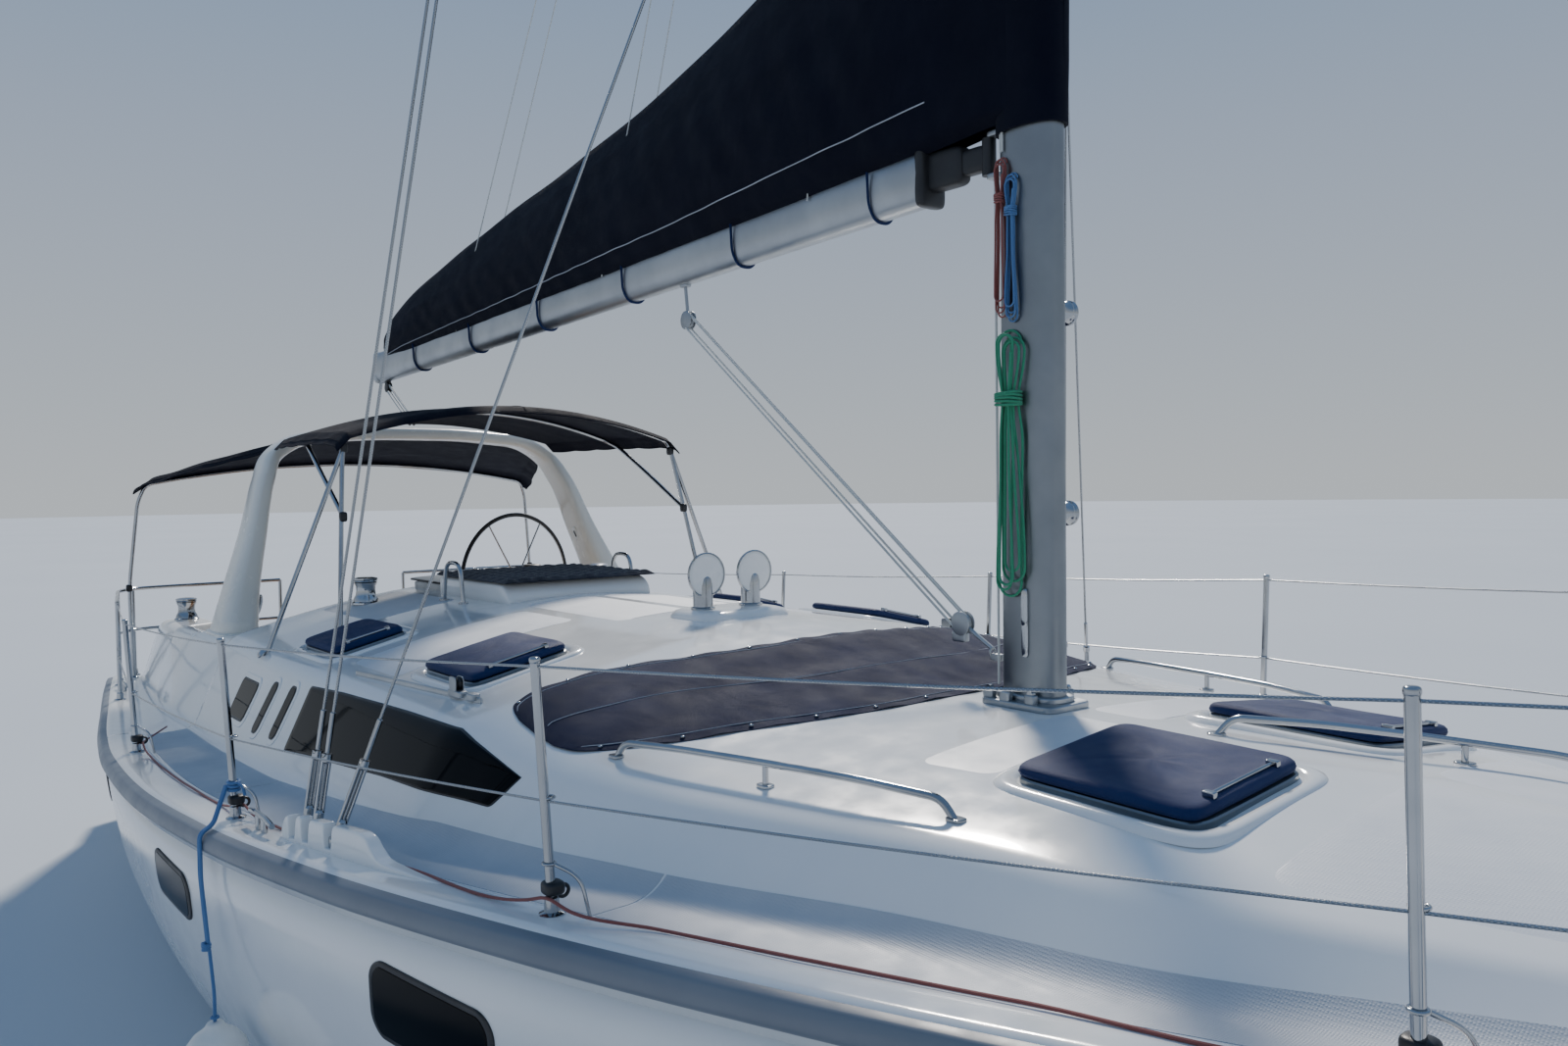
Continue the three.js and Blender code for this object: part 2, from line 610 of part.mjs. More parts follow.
// Rubbing band over the hull and deck joint, bow and both sides in one piece
const BAND_PROFILE = [
  [0.6, 28], [22, 32], [32, 44], [32, 56], [32, 68], [18, 94], [-9, 99.5], [0.6, 70.5],
];
const BAND_DROP = 50; // how much lower it passes under the bow roller
function rubBand(skin) {
  const xs = [...new Set([...HULL, ...TRUNK.filter((row) => row.x > 2400)].map((row) => row.x))]
    .filter((x) => x > -5500).sort((a, b) => b - a);
  const rows = xs.map((x) => ({
    x, beam: beamAt(x), sheer: sheerAt(x), lean: column(HULL, x, 'lean') }));
  const plan = [
    ...[...rows].reverse().map((row) => ({ ...row, y: row.beam })),
    ...rows.map((row) => ({ ...row, y: -row.beam })),
  ];
  const rings = plan.map((at, i) => {
    const before = plan[Math.max(0, i - 1)];
    const after = plan[Math.min(plan.length - 1, i + 1)];
    const tangent = (p, q) => new THREE.Vector2(q.x - p.x, q.y - p.y).normalize();
    const first = i === 0 ? tangent(at, after) : tangent(before, at);
    const last = i === plan.length - 1 ? first : tangent(at, after);
    const mean = first.clone().add(last).normalize();
    const miter = 1 / Math.max(0.35, mean.dot(first));
    const normal = [-mean.y * miter, mean.x * miter];
    const fore = Math.max(0, (at.x - 5000) / 1200);
    return BAND_PROFILE.map(([offset, up]) => {
      const out = offset < 0 ? offset * Math.min(1, at.beam / 600) : offset;
      const rise = up - BAND_DROP * fore;
      return [at.x + at.lean * rise + normal[0] * out, at.y + normal[1] * out, at.sheer + rise];
    });
  });
  const half = BAND_PROFILE.length / 2;
  let band = solid(between(rings.map((r) => r.slice(0, half)), rings.map((r) => r.slice(half).reverse())));
  for (const move of [[0, GAP, 0], [0, -GAP, 0], [GAP, 0, 0]]) band = band.subtract(skin.translate(...move));
  return mainBody(band);
}

// Underwater gear
function foil(chord, thickness, z, leadX) {
  const shares = [[0, 0], [0.12, 0.75], [0.35, 1], [0.7, 0.55], [1, 0.06]];
  const side = (sign) => shares.map(([c, t]) => [
    leadX - c * chord, sign * Math.max(2, (t * thickness) / 2), z]);
  return [side(1), side(-1)];
}

function foilStack(sections) {
  const stack = sections.map(([z, leadX, chord, thickness]) => foil(chord, thickness, z, leadX));
  return solid(between(stack.map((s) => s[0]), stack.map((s) => s[1])));
}

function keel(hull) {
  const fin = foilStack([[-560, 1250, 1780, 190], [-900, 1130, 1560, 170], [-1300, 1010, 1420, 160]]);
  const bulb = turned([[0, 0], [90, 60], [165, 300], [180, 760], [150, 1300], [80, 1800], [0, 2050]],
    [1260, 0, -1340], 16, [-1, 0, 0]);
  const flat = box([-1000, -300, -1800], [1400, 300, -1500]);
  return fin.add(bulb).subtract(flat).subtract(hull.translate(0, 0, -GAP));
}

const RUDDER_STOCK = { x: -4930, radius: 38.7, bore: 39.4, topZ: 300 };
function rudder() {
  const blade = foilStack([[-262, -4790, 640, 110], [-800, -4820, 560, 90], [-1400, -4860, 420, 60]]);
  const { x, radius, topZ } = RUDDER_STOCK;
  return blade.add(rod([x, 0, -320], [x, 0, topZ], radius, 24));
}

const SHAFT = { startX: -2640, startZ: -640, endX: -3800, endZ: -800, radius: 16 };
function shaftAt(x) {
  const t = (x - SHAFT.startX) / (SHAFT.endX - SHAFT.startX);
  return [x, 0, THREE.MathUtils.lerp(SHAFT.startZ, SHAFT.endZ, t)];
}

function propeller() {
  const axis = new THREE.Vector3(...shaftAt(SHAFT.endX)).sub(new THREE.Vector3(...shaftAt(SHAFT.startX)));
  const length = axis.length();
  axis.normalize();
  let solidSum = turned([[0, -length], [SHAFT.radius, -length], [SHAFT.radius, -60], [38, -60], [42, 0],
    [34, 60], [0, 110]], shaftAt(SHAFT.endX), 16, axis.toArray());
  const turn = new THREE.Quaternion().setFromUnitVectors(new THREE.Vector3(-1, 0, 0), axis);
  for (let i = 0; i < 3; i += 1) {
    const sections = [[25, 60, 20, 50], [120, 140, 16, 38], [190, 120, 12, 30], [225, 50, 8, 26]];
    const rows = sections.map(([r, chord, thick, pitch]) => {
      const a = THREE.MathUtils.degToRad(pitch);
      const along = [Math.cos(a), Math.sin(a)];
      const point = (c, t) => new THREE.Vector3(
        c * along[0] - t * along[1], c * along[1] + t * along[0], r);
      return [[-chord / 2, 3], [0, thick / 2], [chord / 2, 3]].map(([c, t]) => [point(c, t), point(c, -t)]);
    });
    const spin = new THREE.Matrix4().makeRotationX((i * 2 * Math.PI) / 3);
    const place = (v) => v.applyMatrix4(spin).applyQuaternion(turn)
      .add(new THREE.Vector3(...shaftAt(SHAFT.endX))).toArray();
    solidSum = solidSum.add(solid(between(
      rows.map((row) => row.map((pair) => place(pair[0]))),
      rows.map((row) => row.map((pair) => place(pair[1]))))));
  }
  return solidSum;
}

// Boss that the shaft leaves the hull by, part of the hull
function sternTube() {
  return rod([-2300, 0, shaftAt(-2300)[2]], shaftAt(SHAFT.startX + 1), 42, 16);
}

function propStrut(hull) {
  const centre = shaftAt(-3560);
  const ahead = shaftAt(-3500);
  const behind = shaftAt(-3620);
  const barrel = rod(ahead, behind, 34, 16).subtract(rod(shaftAt(-3400), shaftAt(-3700), 16.8, 16));
  const leg = foilStack([[-380, -3450, 190, 30], [centre[2] + 30, -3500, 120, 26]]);
  return barrel.add(leg).subtract(hull.translate(0, 0, -GAP));
}

function engine() {
  const block = box([-2500, -270, -560], [-1700, 270, 250]);
  return block.intersect(hullHollow(HULL_WALL + GAP));
}

function cabinSole() {
  const floor = box([-1600, -2200, -180], [4300, 2200, -150]);
  return floor.intersect(hullHollow(HULL_WALL + 2 * GAP));
}

// Mast and standing rigging
function mast(deckSolid) {
  const section = ellipse(MAST_CHORD / 2, MAST_WIDTH / 2, 16).map(([x, y]) => [x + MAST_X, y]);
  const aftFace = MAST_X - MAST_CHORD / 2;
  const foot = box([MAST_X - 150, -110, MAST_FOOT_Z], [MAST_X + 150, 110, 1758]);
  const lug = (low, high) => box([BOOM_PIVOT_X - 22, -22, low], [aftFace + 15, 22, high]);
  const vangEye = box([BOOM_PIVOT_X - 20, -10, 1862], [aftFace + 10, 10, 1884]);
  const tang = box([MAST_X + MAST_CHORD / 2 - 12, -8, HOUNDS_Z - 60], [MAST_X + 175, 8, HOUNDS_Z + 40]);
  const whole = join(
    plate(section, MAST_FOOT_Z, MAST_TOP_Z), foot, vangEye, tang,
    lug(BOOM_PIVOT_Z + 61, BOOM_PIVOT_Z + 80), lug(BOOM_PIVOT_Z - 80, BOOM_PIVOT_Z - 61));
  let bored = whole;
  for (const { z, hole } of [LOWER_SPREADER, UPPER_SPREADER]) {
    bored = bored.subtract(rod([MAST_X, -100, z], [MAST_X, 100, z], hole, 12));
  }
  return seated(bored, deckSolid);
}

function spreaderTip({ z, length }, sign) {
  const sweep = THREE.MathUtils.degToRad(SPREADER_SWEEP);
  return [MAST_X - length * Math.sin(sweep), sign * length * Math.cos(sweep), z + 0.06 * length];
}

function spreaderPair(level) {
  const arms = SIDES.map(({ sign }) => {
    const tip = spreaderTip(level, sign);
    const root = [MAST_X, sign * (MAST_WIDTH / 2 + GAP), level.z];
    const ring = ([x, y, z], chord, thick) => [
      [[x + chord / 2, y, z], [x, y, z + thick / 2], [x - chord / 2, y, z]],
      [[x + chord / 2, y, z - 1], [x, y, z - thick / 2], [x - chord / 2, y, z - 1]],
    ];
    const rings = [ring(root, 110, 36), ring(tip, 62, 20)];
    return solid(between(rings.map((r) => r[0]), rings.map((r) => r[1])));
  });
  const bar = rod([MAST_X, -72, level.z], [MAST_X, 72, level.z], level.hole - 1, 12);
  return join(bar, ...arms);
}

// Wire that passes just outboard of a point
const outboard = ([x, y, z], sign, by) => [x, y + sign * by, z];

function capShroud(sign, deckSolid) {
  const start = [CHAINPLATE.x - 130, sign * CHAINPLATE.y, CHAINPLATE.z];
  const low = outboard(spreaderTip(LOWER_SPREADER, sign), sign, 7.8);
  const high = outboard(spreaderTip(UPPER_SPREADER, sign), sign, 7.8);
  const end = [MAST_X - 20, sign * (MAST_WIDTH / 2 + 7), HOUNDS_Z];
  const knot = (p) => turned([[0, -8], [7, -3], [7, 3], [0, 8]], p, 8);
  const turnbuckle = rod([start[0], start[1], start[2] + 60],
    [start[0] + 8, start[1] - sign * 12, start[2] + 380], 13);
  return seated(join(rod(start, low, WIRE_RADIUS), knot(low), rod(low, high, WIRE_RADIUS), knot(high),
    rod(high, end, WIRE_RADIUS), turnbuckle), deckSolid);
}

function lowerShroud(sign, deckSolid) {
  const start = [CHAINPLATE.x + 120, sign * (CHAINPLATE.y - 12), CHAINPLATE.z];
  const end = [MAST_X - 30, sign * (MAST_WIDTH / 2 + 6), LOWER_SPREADER.z - 180];
  const t = 0.06;
  const along = start.map((v, i) => v + (end[i] - v) * t);
  return seated(join(rod(start, end, WIRE_RADIUS), rod(start, along, 13)), deckSolid);
}

function headsail() {
  const head = new THREE.Vector3(...STAY_HEAD);
  const foot = new THREE.Vector3(...STEM_HEAD);
  const axis = head.clone().sub(foot);
  const length = axis.length();
  const profile = [
    [0, DRUM_FOOT], [95, DRUM_FOOT], [95, 56], [60, 62], [60, 118], [95, 124], [95, 140],
    [22, 146], [22, 300], [62, 420], [84, 2600],
    [78, 6500], [58, 11000], [34, length - 900], [34, length - 620],
    [WIRE_RADIUS, length - 600], [WIRE_RADIUS, length - 1], [0, length - 1],
  ];
  return turned(profile, foot.toArray(), 12, axis.toArray());
}

// Boom, its gooseneck and what hangs from it
const boomCentre = (x) => THREE.MathUtils.mapLinear(
  x, BOOM_END_X, BOOM_FRONT_X, BOOM_END_Z, BOOM_PIVOT_Z);

function boom() {
  const ring = (x) => ellipse(BOOM_WIDTH / 2, BOOM_HEIGHT / 2, 16)
    .map(([y, z]) => [x, y, z + boomCentre(x)]);
  const rings = [ring(BOOM_END_X), ring(BOOM_FRONT_X)];
  const body = solid(between(rings.map((r) => r.slice(0, 8)), rings.map((r) => r.slice(8).reverse())));
  const arm = box([BOOM_FRONT_X - 10, -30, BOOM_PIVOT_Z - 60], [BOOM_PIVOT_X - 10, 30, BOOM_PIVOT_Z + 60]);
  const barrel = rod([BOOM_PIVOT_X, 0, BOOM_PIVOT_Z - 60], [BOOM_PIVOT_X, 0, BOOM_PIVOT_Z + 60], 20, 16);
  return join(body, arm, barrel);
}

// Stowed mainsail's cover: x, top height, half width
const COVER = [
  { x: -4230, top: 3600, half: 55 },
  { x: -4100, top: 3700, half: 80 },
  { x: -2530, top: 4010, half: 125 },
  { x: -770, top: 4270, half: 155 },
  { x: 150, top: 4500, half: 165 },
  { x: 900, top: 4720, half: 150 },
  { x: 1240, top: 4850, half: 95 },
];

function boomCover(boomSolid) {
  const ring = ({ x, top, half }, sign) => {
    const low = boomCentre(x);
    const rise = top - low;
    return [[0.5, 0.06], [0.92, 0.3], [1, 0.45], [0.85, 0.68], [0.5, 0.88], [0.12, 1]]
      .map(([w, h]) => [x, sign * Math.max(w * half, 10), low + h * rise]);
  };
  const whole = solid(between(COVER.map((row) => ring(row, 1)), COVER.map((row) => ring(row, -1))));
  return seated(whole, boomSolid).subtract(boomSolid);
}

function mastCover() {
  const heights = [3600, 4000, 4500, 4900];
  const arc = (a, b, z) => Array.from({ length: 11 }, (_, i) => {
    const t = (Math.PI / 8) * (i - 5);
    return [MAST_X + a * Math.cos(t), b * Math.sin(t), z];
  });
  const [a, b] = [MAST_CHORD / 2, MAST_WIDTH / 2];
  const sheet = (by) => heights.map((z) => arc(a + by, b + by, z));
  return solid(between(sheet(0.6), sheet(18)));
}

function vang() {
  const top = [-460, 0, boomCentre(-460) - BOOM_HEIGHT / 2 - 1.6];
  const upper = [-440, 0, 3225];
  const lower = [1235, 0, 1975];
  const eye = [BOOM_PIVOT_X, 0, 1900];
  const falls = [-14, 14].map((y) => rod([upper[0], y, upper[2]], [lower[0], y, lower[2]], 5));
  const block = (at) => turned([[0, -22], [42, -22], [42, 22], [0, 22]], at, 12, [0, 1, 0]);
  return join(rod(top, upper, 10), block(upper), ...falls, block(lower), rod(lower, eye, 8),
    rod([eye[0], 0, 1884.6], [eye[0], 0, 1912], 9));
}

function mainsheet() {
  const top = [-4290, 0, boomCentre(-4290) - BOOM_HEIGHT / 2 - 1.8];
  const upper = [-4280, 0, 3200];
  const lower = [-3850, 0, 2941];
  const block = (at) => turned([[0, -20], [36, -20], [36, 20], [0, 20]], at, 12, [0, 1, 0]);
  const falls = [-12, 12].map((y) => rod([upper[0], y, upper[2]], [lower[0], y, lower[2]], 5));
  return join(rod(top, upper, 9), block(upper), ...falls, block(lower));
}

// Cockpit arch: [x, y, z, half chord, half thickness] from the foot to the crown
const ARCH = [
  [-3370, 1290, 1630, 200, 110],
  [-3455, 1222, 1880, 168, 84],
  [-3560, 1122, 2200, 142, 62],
  [-3670, 1024, 2530, 122, 50],
  [-3755, 950, 2680, 115, 45],
  [-3785, 820, 2775, 115, 45],
  [-3800, 520, 2825, 115, 42],
  [-3805, 0, 2845, 115, 42],
];

function arch(cockpitSolid) {
  const path = [...ARCH, ...[...ARCH].reverse().slice(1).map((p) => [p[0], -p[1], ...p.slice(2)])];
  const shares = [[1, 0.35], [0.8, 0.9], [0, 1], [-0.8, 0.9], [-1, 0.35]];
  const rings = path.map(([x, y, z, chord, thick], i) => {
    const [p, q] = [path[Math.max(0, i - 1)], path[Math.min(path.length - 1, i + 1)]];
    const tangent = new THREE.Vector3(q[0] - p[0], q[1] - p[1], q[2] - p[2]).normalize();
    const ends = i === 0 || i === path.length - 1;
    if (ends) tangent.set(0, 0, Math.sign(tangent.z));
    const fore = new THREE.Vector3(1, 0, 0).addScaledVector(tangent, -tangent.x).normalize();
    const out = tangent.clone().cross(fore);
    const point = (c, t) => [
      x + fore.x * c * chord + out.x * t * thick,
      y + fore.y * c * chord + out.y * t * thick,
      z + fore.z * c * chord + out.z * t * thick];
    return [shares.map(([c, t]) => point(c, t)), shares.map(([c, t]) => point(c, -t))];
  });
  return seated(solid(between(rings.map((r) => r[0]), rings.map((r) => r[1]))), cockpitSolid);
}

// Bimini cloths: x, half width, height of the crown and drop to the edge
const FORE_CLOTH = [
  { x: -3632, half: 930, crown: 2900, drop: 130 },
  { x: -3250, half: 990, crown: 2945, drop: 170 },
  { x: -2850, half: 1010, crown: 2955, drop: 180 },
  { x: -2400, half: 1020, crown: 2945, drop: 180 },
  { x: -2180, half: 1025, crown: 2925, drop: 175 },
  { x: -2125, half: 1025, crown: 2890, drop: 170 },
];
const AFT_CLOTH = [
  { x: -3925, half: 930, crown: 2880, drop: 130 },
  { x: -4400, half: 1180, crown: 2820, drop: 150 },
  { x: -4850, half: 1350, crown: 2740, drop: 150 },
  { x: -5120, half: 1450, crown: 2680, drop: 150 },
  { x: -5165, half: 1450, crown: 2650, drop: 145 },
];
const CLOTH_SHARES = [-1.03, -0.97, -0.8, -0.55, -0.28, 0, 0.28, 0.55, 0.8, 0.97, 1.03];
const CLOTH_THICK = 14;

function clothHeight({ crown, drop }, share) {
  const valance = Math.max(0, Math.abs(share) - 0.97) * 700;
  return crown - drop * share * share - valance;
}

function cloth(table, frameCut) {
  const sheet = (by) => table.map((row) => CLOTH_SHARES.map((share) => [
    row.x, share * row.half, clothHeight(row, share) + by]));
  return solid(between(sheet(0), sheet(CLOTH_THICK))).subtract(frameCut);
}

function bow(table, x, radius, leg) {
  const at = (name) => column(table, x, name);
  const row = { crown: at('crown'), drop: at('drop') };
  const over = [0.96, 0.8, 0.55, 0.28, 0].map((share) => [
    x, share * at('half'), clothHeight(row, share) - 9]);
  const half = [...leg, ...over];
  const whole = [...half, ...[...half].reverse().slice(1).map(([a, b, c]) => [a, -b, c])];
  return bentTube(whole, radius);
}

function foreFrame(radius, deckSolid) {
  const foot = [-1950, 1120, 1760];
  const tubes = [
    bow(FORE_CLOTH, -2180, radius, [foot, [-2075, 1062, 2280], [-2150, 1025, 2620], [-2168, 1010, 2715]]),
    bow(FORE_CLOTH, -2900, radius, [[-2078, 1050, 2330], [-2500, 1030, 2570], [-2800, 1010, 2735]]),
    ...SIDES.map(({ sign }) => rod([-2160, sign * 1012, 2690], [-2150, sign * 1440, 1600], radius, 6)),
    ...SIDES.map(({ sign }) => rod(
      [foot[0], sign * foot[1], 1700], [foot[0], sign * foot[1], 1770], radius + 3)),
  ];
  return seated(join(...tubes), deckSolid);
}

function aftFrame(radius, cockpitSolid) {
  const legs = [[-5215, 1515, 1100], [-5205, 1530, 1800], [-5160, 1470, 2400], [-5140, 1430, 2500]];
  return seated(bow(AFT_CLOTH, -5130, radius, legs), cockpitSolid);
}

// Helm
function pedestal(cockpitSolid) {
  const turn = THREE.MathUtils.degToRad(WHEEL_TURN);
  const ahead = (by) => [WHEEL_CENTRE[0] + by * Math.cos(turn), WHEEL_CENTRE[1] + by * Math.sin(turn)];
  const [x, y] = ahead(185);
  const profile = [
    [0, 960], [130, 960], [130, 1000], [88, 1040], [80, 1500], [85, 1740], [105, 1860],
    [90, 1900], [0, 1910],
  ];
  const boss = rod([...ahead(84.6), WHEEL_CENTRE[2]], [x, y, WHEEL_CENTRE[2]], 32, 12);
  return seated(turned(profile, [x, y, 0], 16).add(boss), cockpitSolid);
}

function wheel() {
  const rim = new THREE.TorusGeometry(WHEEL_RADIUS, 13, 6, 32);
  rim.rotateY(Math.PI / 2);
  let sum = solid(rim);
  const spokes = 6;
  for (let i = 0; i < spokes; i += 1) {
    const a = (2 * Math.PI * i) / spokes;
    sum = sum.add(rod([0, 0, 0], [0, WHEEL_RADIUS * Math.cos(a), WHEEL_RADIUS * Math.sin(a)], 6, 6));
  }
  return sum.add(rod([-25, 0, 0], [25, 0, 0], 46, 16)).add(rod([0, 0, 0], [84, 0, 0], 16, 12));
}

function winch(x, y, z, seat) {
  const profile = [
    [0, -20], [78, -20], [78, 30], [58, 48], [52, 95], [60, 122], [66, 128], [66, 142], [44, 150], [0, 150],
  ];
  return seated(turned(profile, [x, y, z], 14), seat);
}

function vents(deckSolid) {
  const base = box([-330, -235, 1840], [30, 235, 1930]);
  let sum = base;
  for (const y of [-130, 130]) {
    const disc = turned([[0, -40], [60, -30], [95, 5], [95, 14], [0, 20]], [-150, y, 2080], 16, [1, 0, 0]);
    sum = sum.add(rod([-175, y, 1900], [-175, y, 2060], 38, 12)).add(disc);
  }
  return seated(sum, deckSolid);
}

function handrail(sign, deckSolid) {
  const stations = [[950, 1228, -20], [985, 1218, 48], [1210, 1160, 62], [1510, 1090, 64],
    [1800, 1020, 62], [2040, 958, 48], [2080, 948, -20]];
  const path = stations.map(([x, y, up]) => [x, sign * y, roofHeight(x, y) + up]);
  const mid = roofHeight(1510, 1090);
  const post = rod([1510, sign * 1090, mid - 20], [1510, sign * 1090, mid + 64], 10);
  return seated(bentTube(path, 11, 60).add(post), deckSolid);
}

// Rails round the bow and the stern and along the sides
const railFoot = (x, sign) => [x, sign * (beamAt(x) - 110), railTop(x)];

function pulpit(deckSolid) {
  const up = 610;
  const rail = (rise) => {
    const half = [[4880, 470], [5400, 300], [5800, 190], [6060, 105]].map(([x, y]) => [x, y, 1600 + rise]);
    const end = [[6130, 0, 1600 + rise]];
    return [...half, ...end, ...[...half].reverse().map(([x, y, z]) => [x, -y, z])];
  };
  const posts = [];
  for (const { sign } of SIDES) {
    for (const [x, inset, topY] of [[4900, 110, 466], [5750, 80, 205]]) {
      const y = beamAt(x) - inset;
      posts.push(rod([x, sign * y, 1560], [x, sign * topY, 1600 + up], TUBE_RADIUS, 6));
    }
  }
  return seated(join(
    bentTube(rail(up), TUBE_RADIUS), bentTube(rail(up * 0.5), TUBE_RADIUS - 2), ...posts), deckSolid);
}

function pushpit(sign, cockpitSolid) {
  const path = (rise) => [
    [-4200, 1760], [-5150, 1610], [-5340, 1480], [-5375, 1200], [-5375, 480],
  ].map(([x, y]) => [x, sign * y, 1165 + rise]);
  const posts = [[-4215, 1757], [-4900, 1649], [-5325, 1490]].map(([x, y]) => rod(
    [x, sign * y, 1100], [x, sign * y, 1165 + 620], TUBE_RADIUS, 6));
  const gatePost = rod([-5377, sign * 500, 1340], [-5377, sign * 500, 1785], TUBE_RADIUS, 6);
  return seated(join(bentTube(path(620), TUBE_RADIUS), bentTube(path(330), TUBE_RADIUS - 2),
    ...posts, gatePost), cockpitSolid);
}

function guardRail(sign, deckSolid) {
  const lean = 35;
  const posts = STANCHIONS.map((x) => {
    const [, y, z] = railFoot(x, sign);
    return { x, y, z, top: [x, y + sign * lean, z + STANCHION_HEIGHT] };
  });
  const at = (share) => {
    const ends = [[4855, sign * 480, 1600 + 600 * share], [-4215, sign * 1757, 1165 + 615 * share]];
    const middle = posts.map(({ x, y, z }) => [
      x, y + sign * lean * share, z + (STANCHION_HEIGHT - 15) * share]);
    return [ends[0], ...middle, ends[1]];
  };
  const wires = [1, 0.46].flatMap((share) => {
    const points = at(share);
    return points.slice(1).map((p, i) => rod(points[i], p, 3.5, 6));
  });
  const bars = posts.map(({ x, y, z, top }) => rod([x, y, z - 10], top, TUBE_RADIUS, 6));
  return seated(join(...bars, ...wires), deckSolid);
}

// Bow fitting with the roller, and the anchor stowed in it
function bowRoller() {
  const cheek = [[5780, 1624.6], [6234, 1641], [6234, 1600], [6330, 1592], [6330, 1672.7], [5780, 1672.7]];
  const foot = new THREE.Vector3(...STEM_HEAD);
  const stay = new THREE.Vector3(...STAY_HEAD).sub(foot).normalize();
  const along = (by) => foot.clone().addScaledVector(stay, by).toArray();
  return plate(cheek, -60, 60, 'y').add(rod(along(-140), along(DRUM_FOOT - 0.6), 10));
}

function anchor() {
  const shank = box([6010, -11, 1673], [6420, 11, 1715]);
  const fluke = plate([[6400, 1715], [6500, 1700], [6470, 1400], [6340, 1300], [6380, 1500]], -40, 40, 'y');
  return shank.add(fluke);
}

// Soft covers. Windscreen cover: y, its aft edge and its fore edge there
const SCREEN = [
  [0, 562, 1290], [300, 540, 1268], [600, 450, 1192], [860, 305, 1096], [1000, 250, 1042],
  [1150, 235, 950], [1240, 280, 868], [1296, 430, 800], [1318, 600, 720],
];
function windscreenCover(deckSolid) {
  const rows = [...[...SCREEN].reverse().map(([y, ...ends]) => [-y, ...ends]), ...SCREEN.slice(1)];
  const sheet = (by) => rows.map(([y, back, front]) => [0, 0.15, 0.35, 0.6, 0.85, 1].map((t) => {
    const x = THREE.MathUtils.lerp(back, front, t);
    return [x, y, roofHeight(x, y) + by];
  }));
  return seated(solid(between(sheet(-14), sheet(16))), deckSolid);
}

function hoodCover() {
  const low = HOOD.top + GAP;
  return box([HOOD.aft - 10, -HOOD.half - 10, low], [HOOD.fore + 10, HOOD.half + 10, low + 24]);
}

// Fender low against the side, on its lanyard from a stanchion, and the halyard tails hung on the mast
const FENDER = { x: -300, y: -2096, radius: 110, top: 610, bottom: 90 };
const LANYARD = { stanchion: -410, hitch: 117, over: 38.9, radius: 6 };
function fender() {
  const { radius, top, bottom } = FENDER;
  return turned([[0, bottom - 40], [34, bottom - 36], [60, bottom], [radius, bottom + 70],
    [radius, top - 70], [60, top], [34, top + 36], [0, top + 40]], [FENDER.x, FENDER.y, 0], 16);
}

function fenderLine() {
  const { x, y, top } = FENDER;
  const edge = -(beamAt(x) + LANYARD.over);
  const rail = railTop(x);
  const [post, foot, deck] = railFoot(LANYARD.stanchion, -1);
  return bentTube([
    [x, y, top + 40.3], [x, y, top + 140], [x, edge, rail - 170],
    [x, edge, rail - 12], [x - 8, edge + 45, rail + 10],
    [post, foot - TUBE_RADIUS - LANYARD.radius - 10, deck + LANYARD.hitch],
  ], LANYARD.radius, 20);
}

// Halyard tails hung in long turns on the mast: x, top, bottom, width, depth, inner face
const HANKS = [
  { name: 'halyard_hank', x: 1525, top: 2960, bottom: 2090, width: 124, depth: 56, face: -65.3 },
  { name: 'lift_hank', x: 1530, top: 3460, bottom: 2980, width: 44, depth: 33.7, face: -65.3 },
  { name: 'reefing_hank', x: 1482, top: 3520, bottom: 3000, width: 44, depth: 33.7, face: -59.9 },
];
function hank({ x, top, bottom, width, depth, face }) {
  const r = width / 2;
  const outline = [];
  for (let i = 0; i <= 6; i += 1) {
    const a = (Math.PI * i) / 6;
    outline.push([x + r * Math.cos(a), top - r + r * Math.sin(a)]);
  }
  for (let i = 0; i <= 6; i += 1) {
    const a = Math.PI + (Math.PI * i) / 6;
    outline.push([x + r * Math.cos(a), bottom + r + r * Math.sin(a)]);
  }
  return plate(outline, face - depth, face, 'y');
}

// The boat, piece by piece
const yacht = new THREE.Group();
function add(name, manifold, material) {
  const mesh = new THREE.Mesh(surface(manifold), material);
  mesh.name = name;
  yacht.add(mesh);
  return mesh;
}

const hullBody = hullSolid();
const bore = rod([RUDDER_STOCK.x, 0, -600], [RUDDER_STOCK.x, 0, 0], RUDDER_STOCK.bore, 24);
const transomNotch = box([COCKPIT_END_X - 1, -1400.3, 949.7], [COCKPIT_END_X + 56, 1400.3, 1062]);
const stepWay = box([COCKPIT_END_X - 90, -320, COCKPIT_SOLE_Z], [COCKPIT_END_X, 320, 1062]);
const shell = join(hullBody.subtract(hullHollow(HULL_WALL)), sternTube())
  .subtract(bore).subtract(transomNotch).subtract(stepWay);
const deckBody = deck();
const cockpitBody = cockpit();
const upper = deckBody.add(cockpitBody);
add('hull', shell, GELCOAT);
add('deck', deckBody, GELCOAT);
add('cockpit', cockpitBody, GELCOAT);
const skin = hullBody.translate(0, 0, GAP).add(deckBody.translate(0, 0, -GAP));
add('rub_band', rubBand(skin), BAND);
add('companionway_bulkhead', bulkhead(), GELCOAT);
add('companionway_slide', slide(), SMOKED);
add('hood_cover', hoodCover(), NAVY);
for (const { side, sign } of SIDES) add(`cabin_glazing_${side}`, glazing(sign, deckBody), SMOKED);
for (const hatch of HATCHES) {
  for (const { side, sign } of SIDES) add(`${hatch.name}_${side}`, hatchParts(hatch, sign).lid, NAVY);
}
add(LOCKER.name, hatchParts(LOCKER, 1).lid, GELCOAT);
add('windscreen_cover', windscreenCover(deckBody), NAVY);

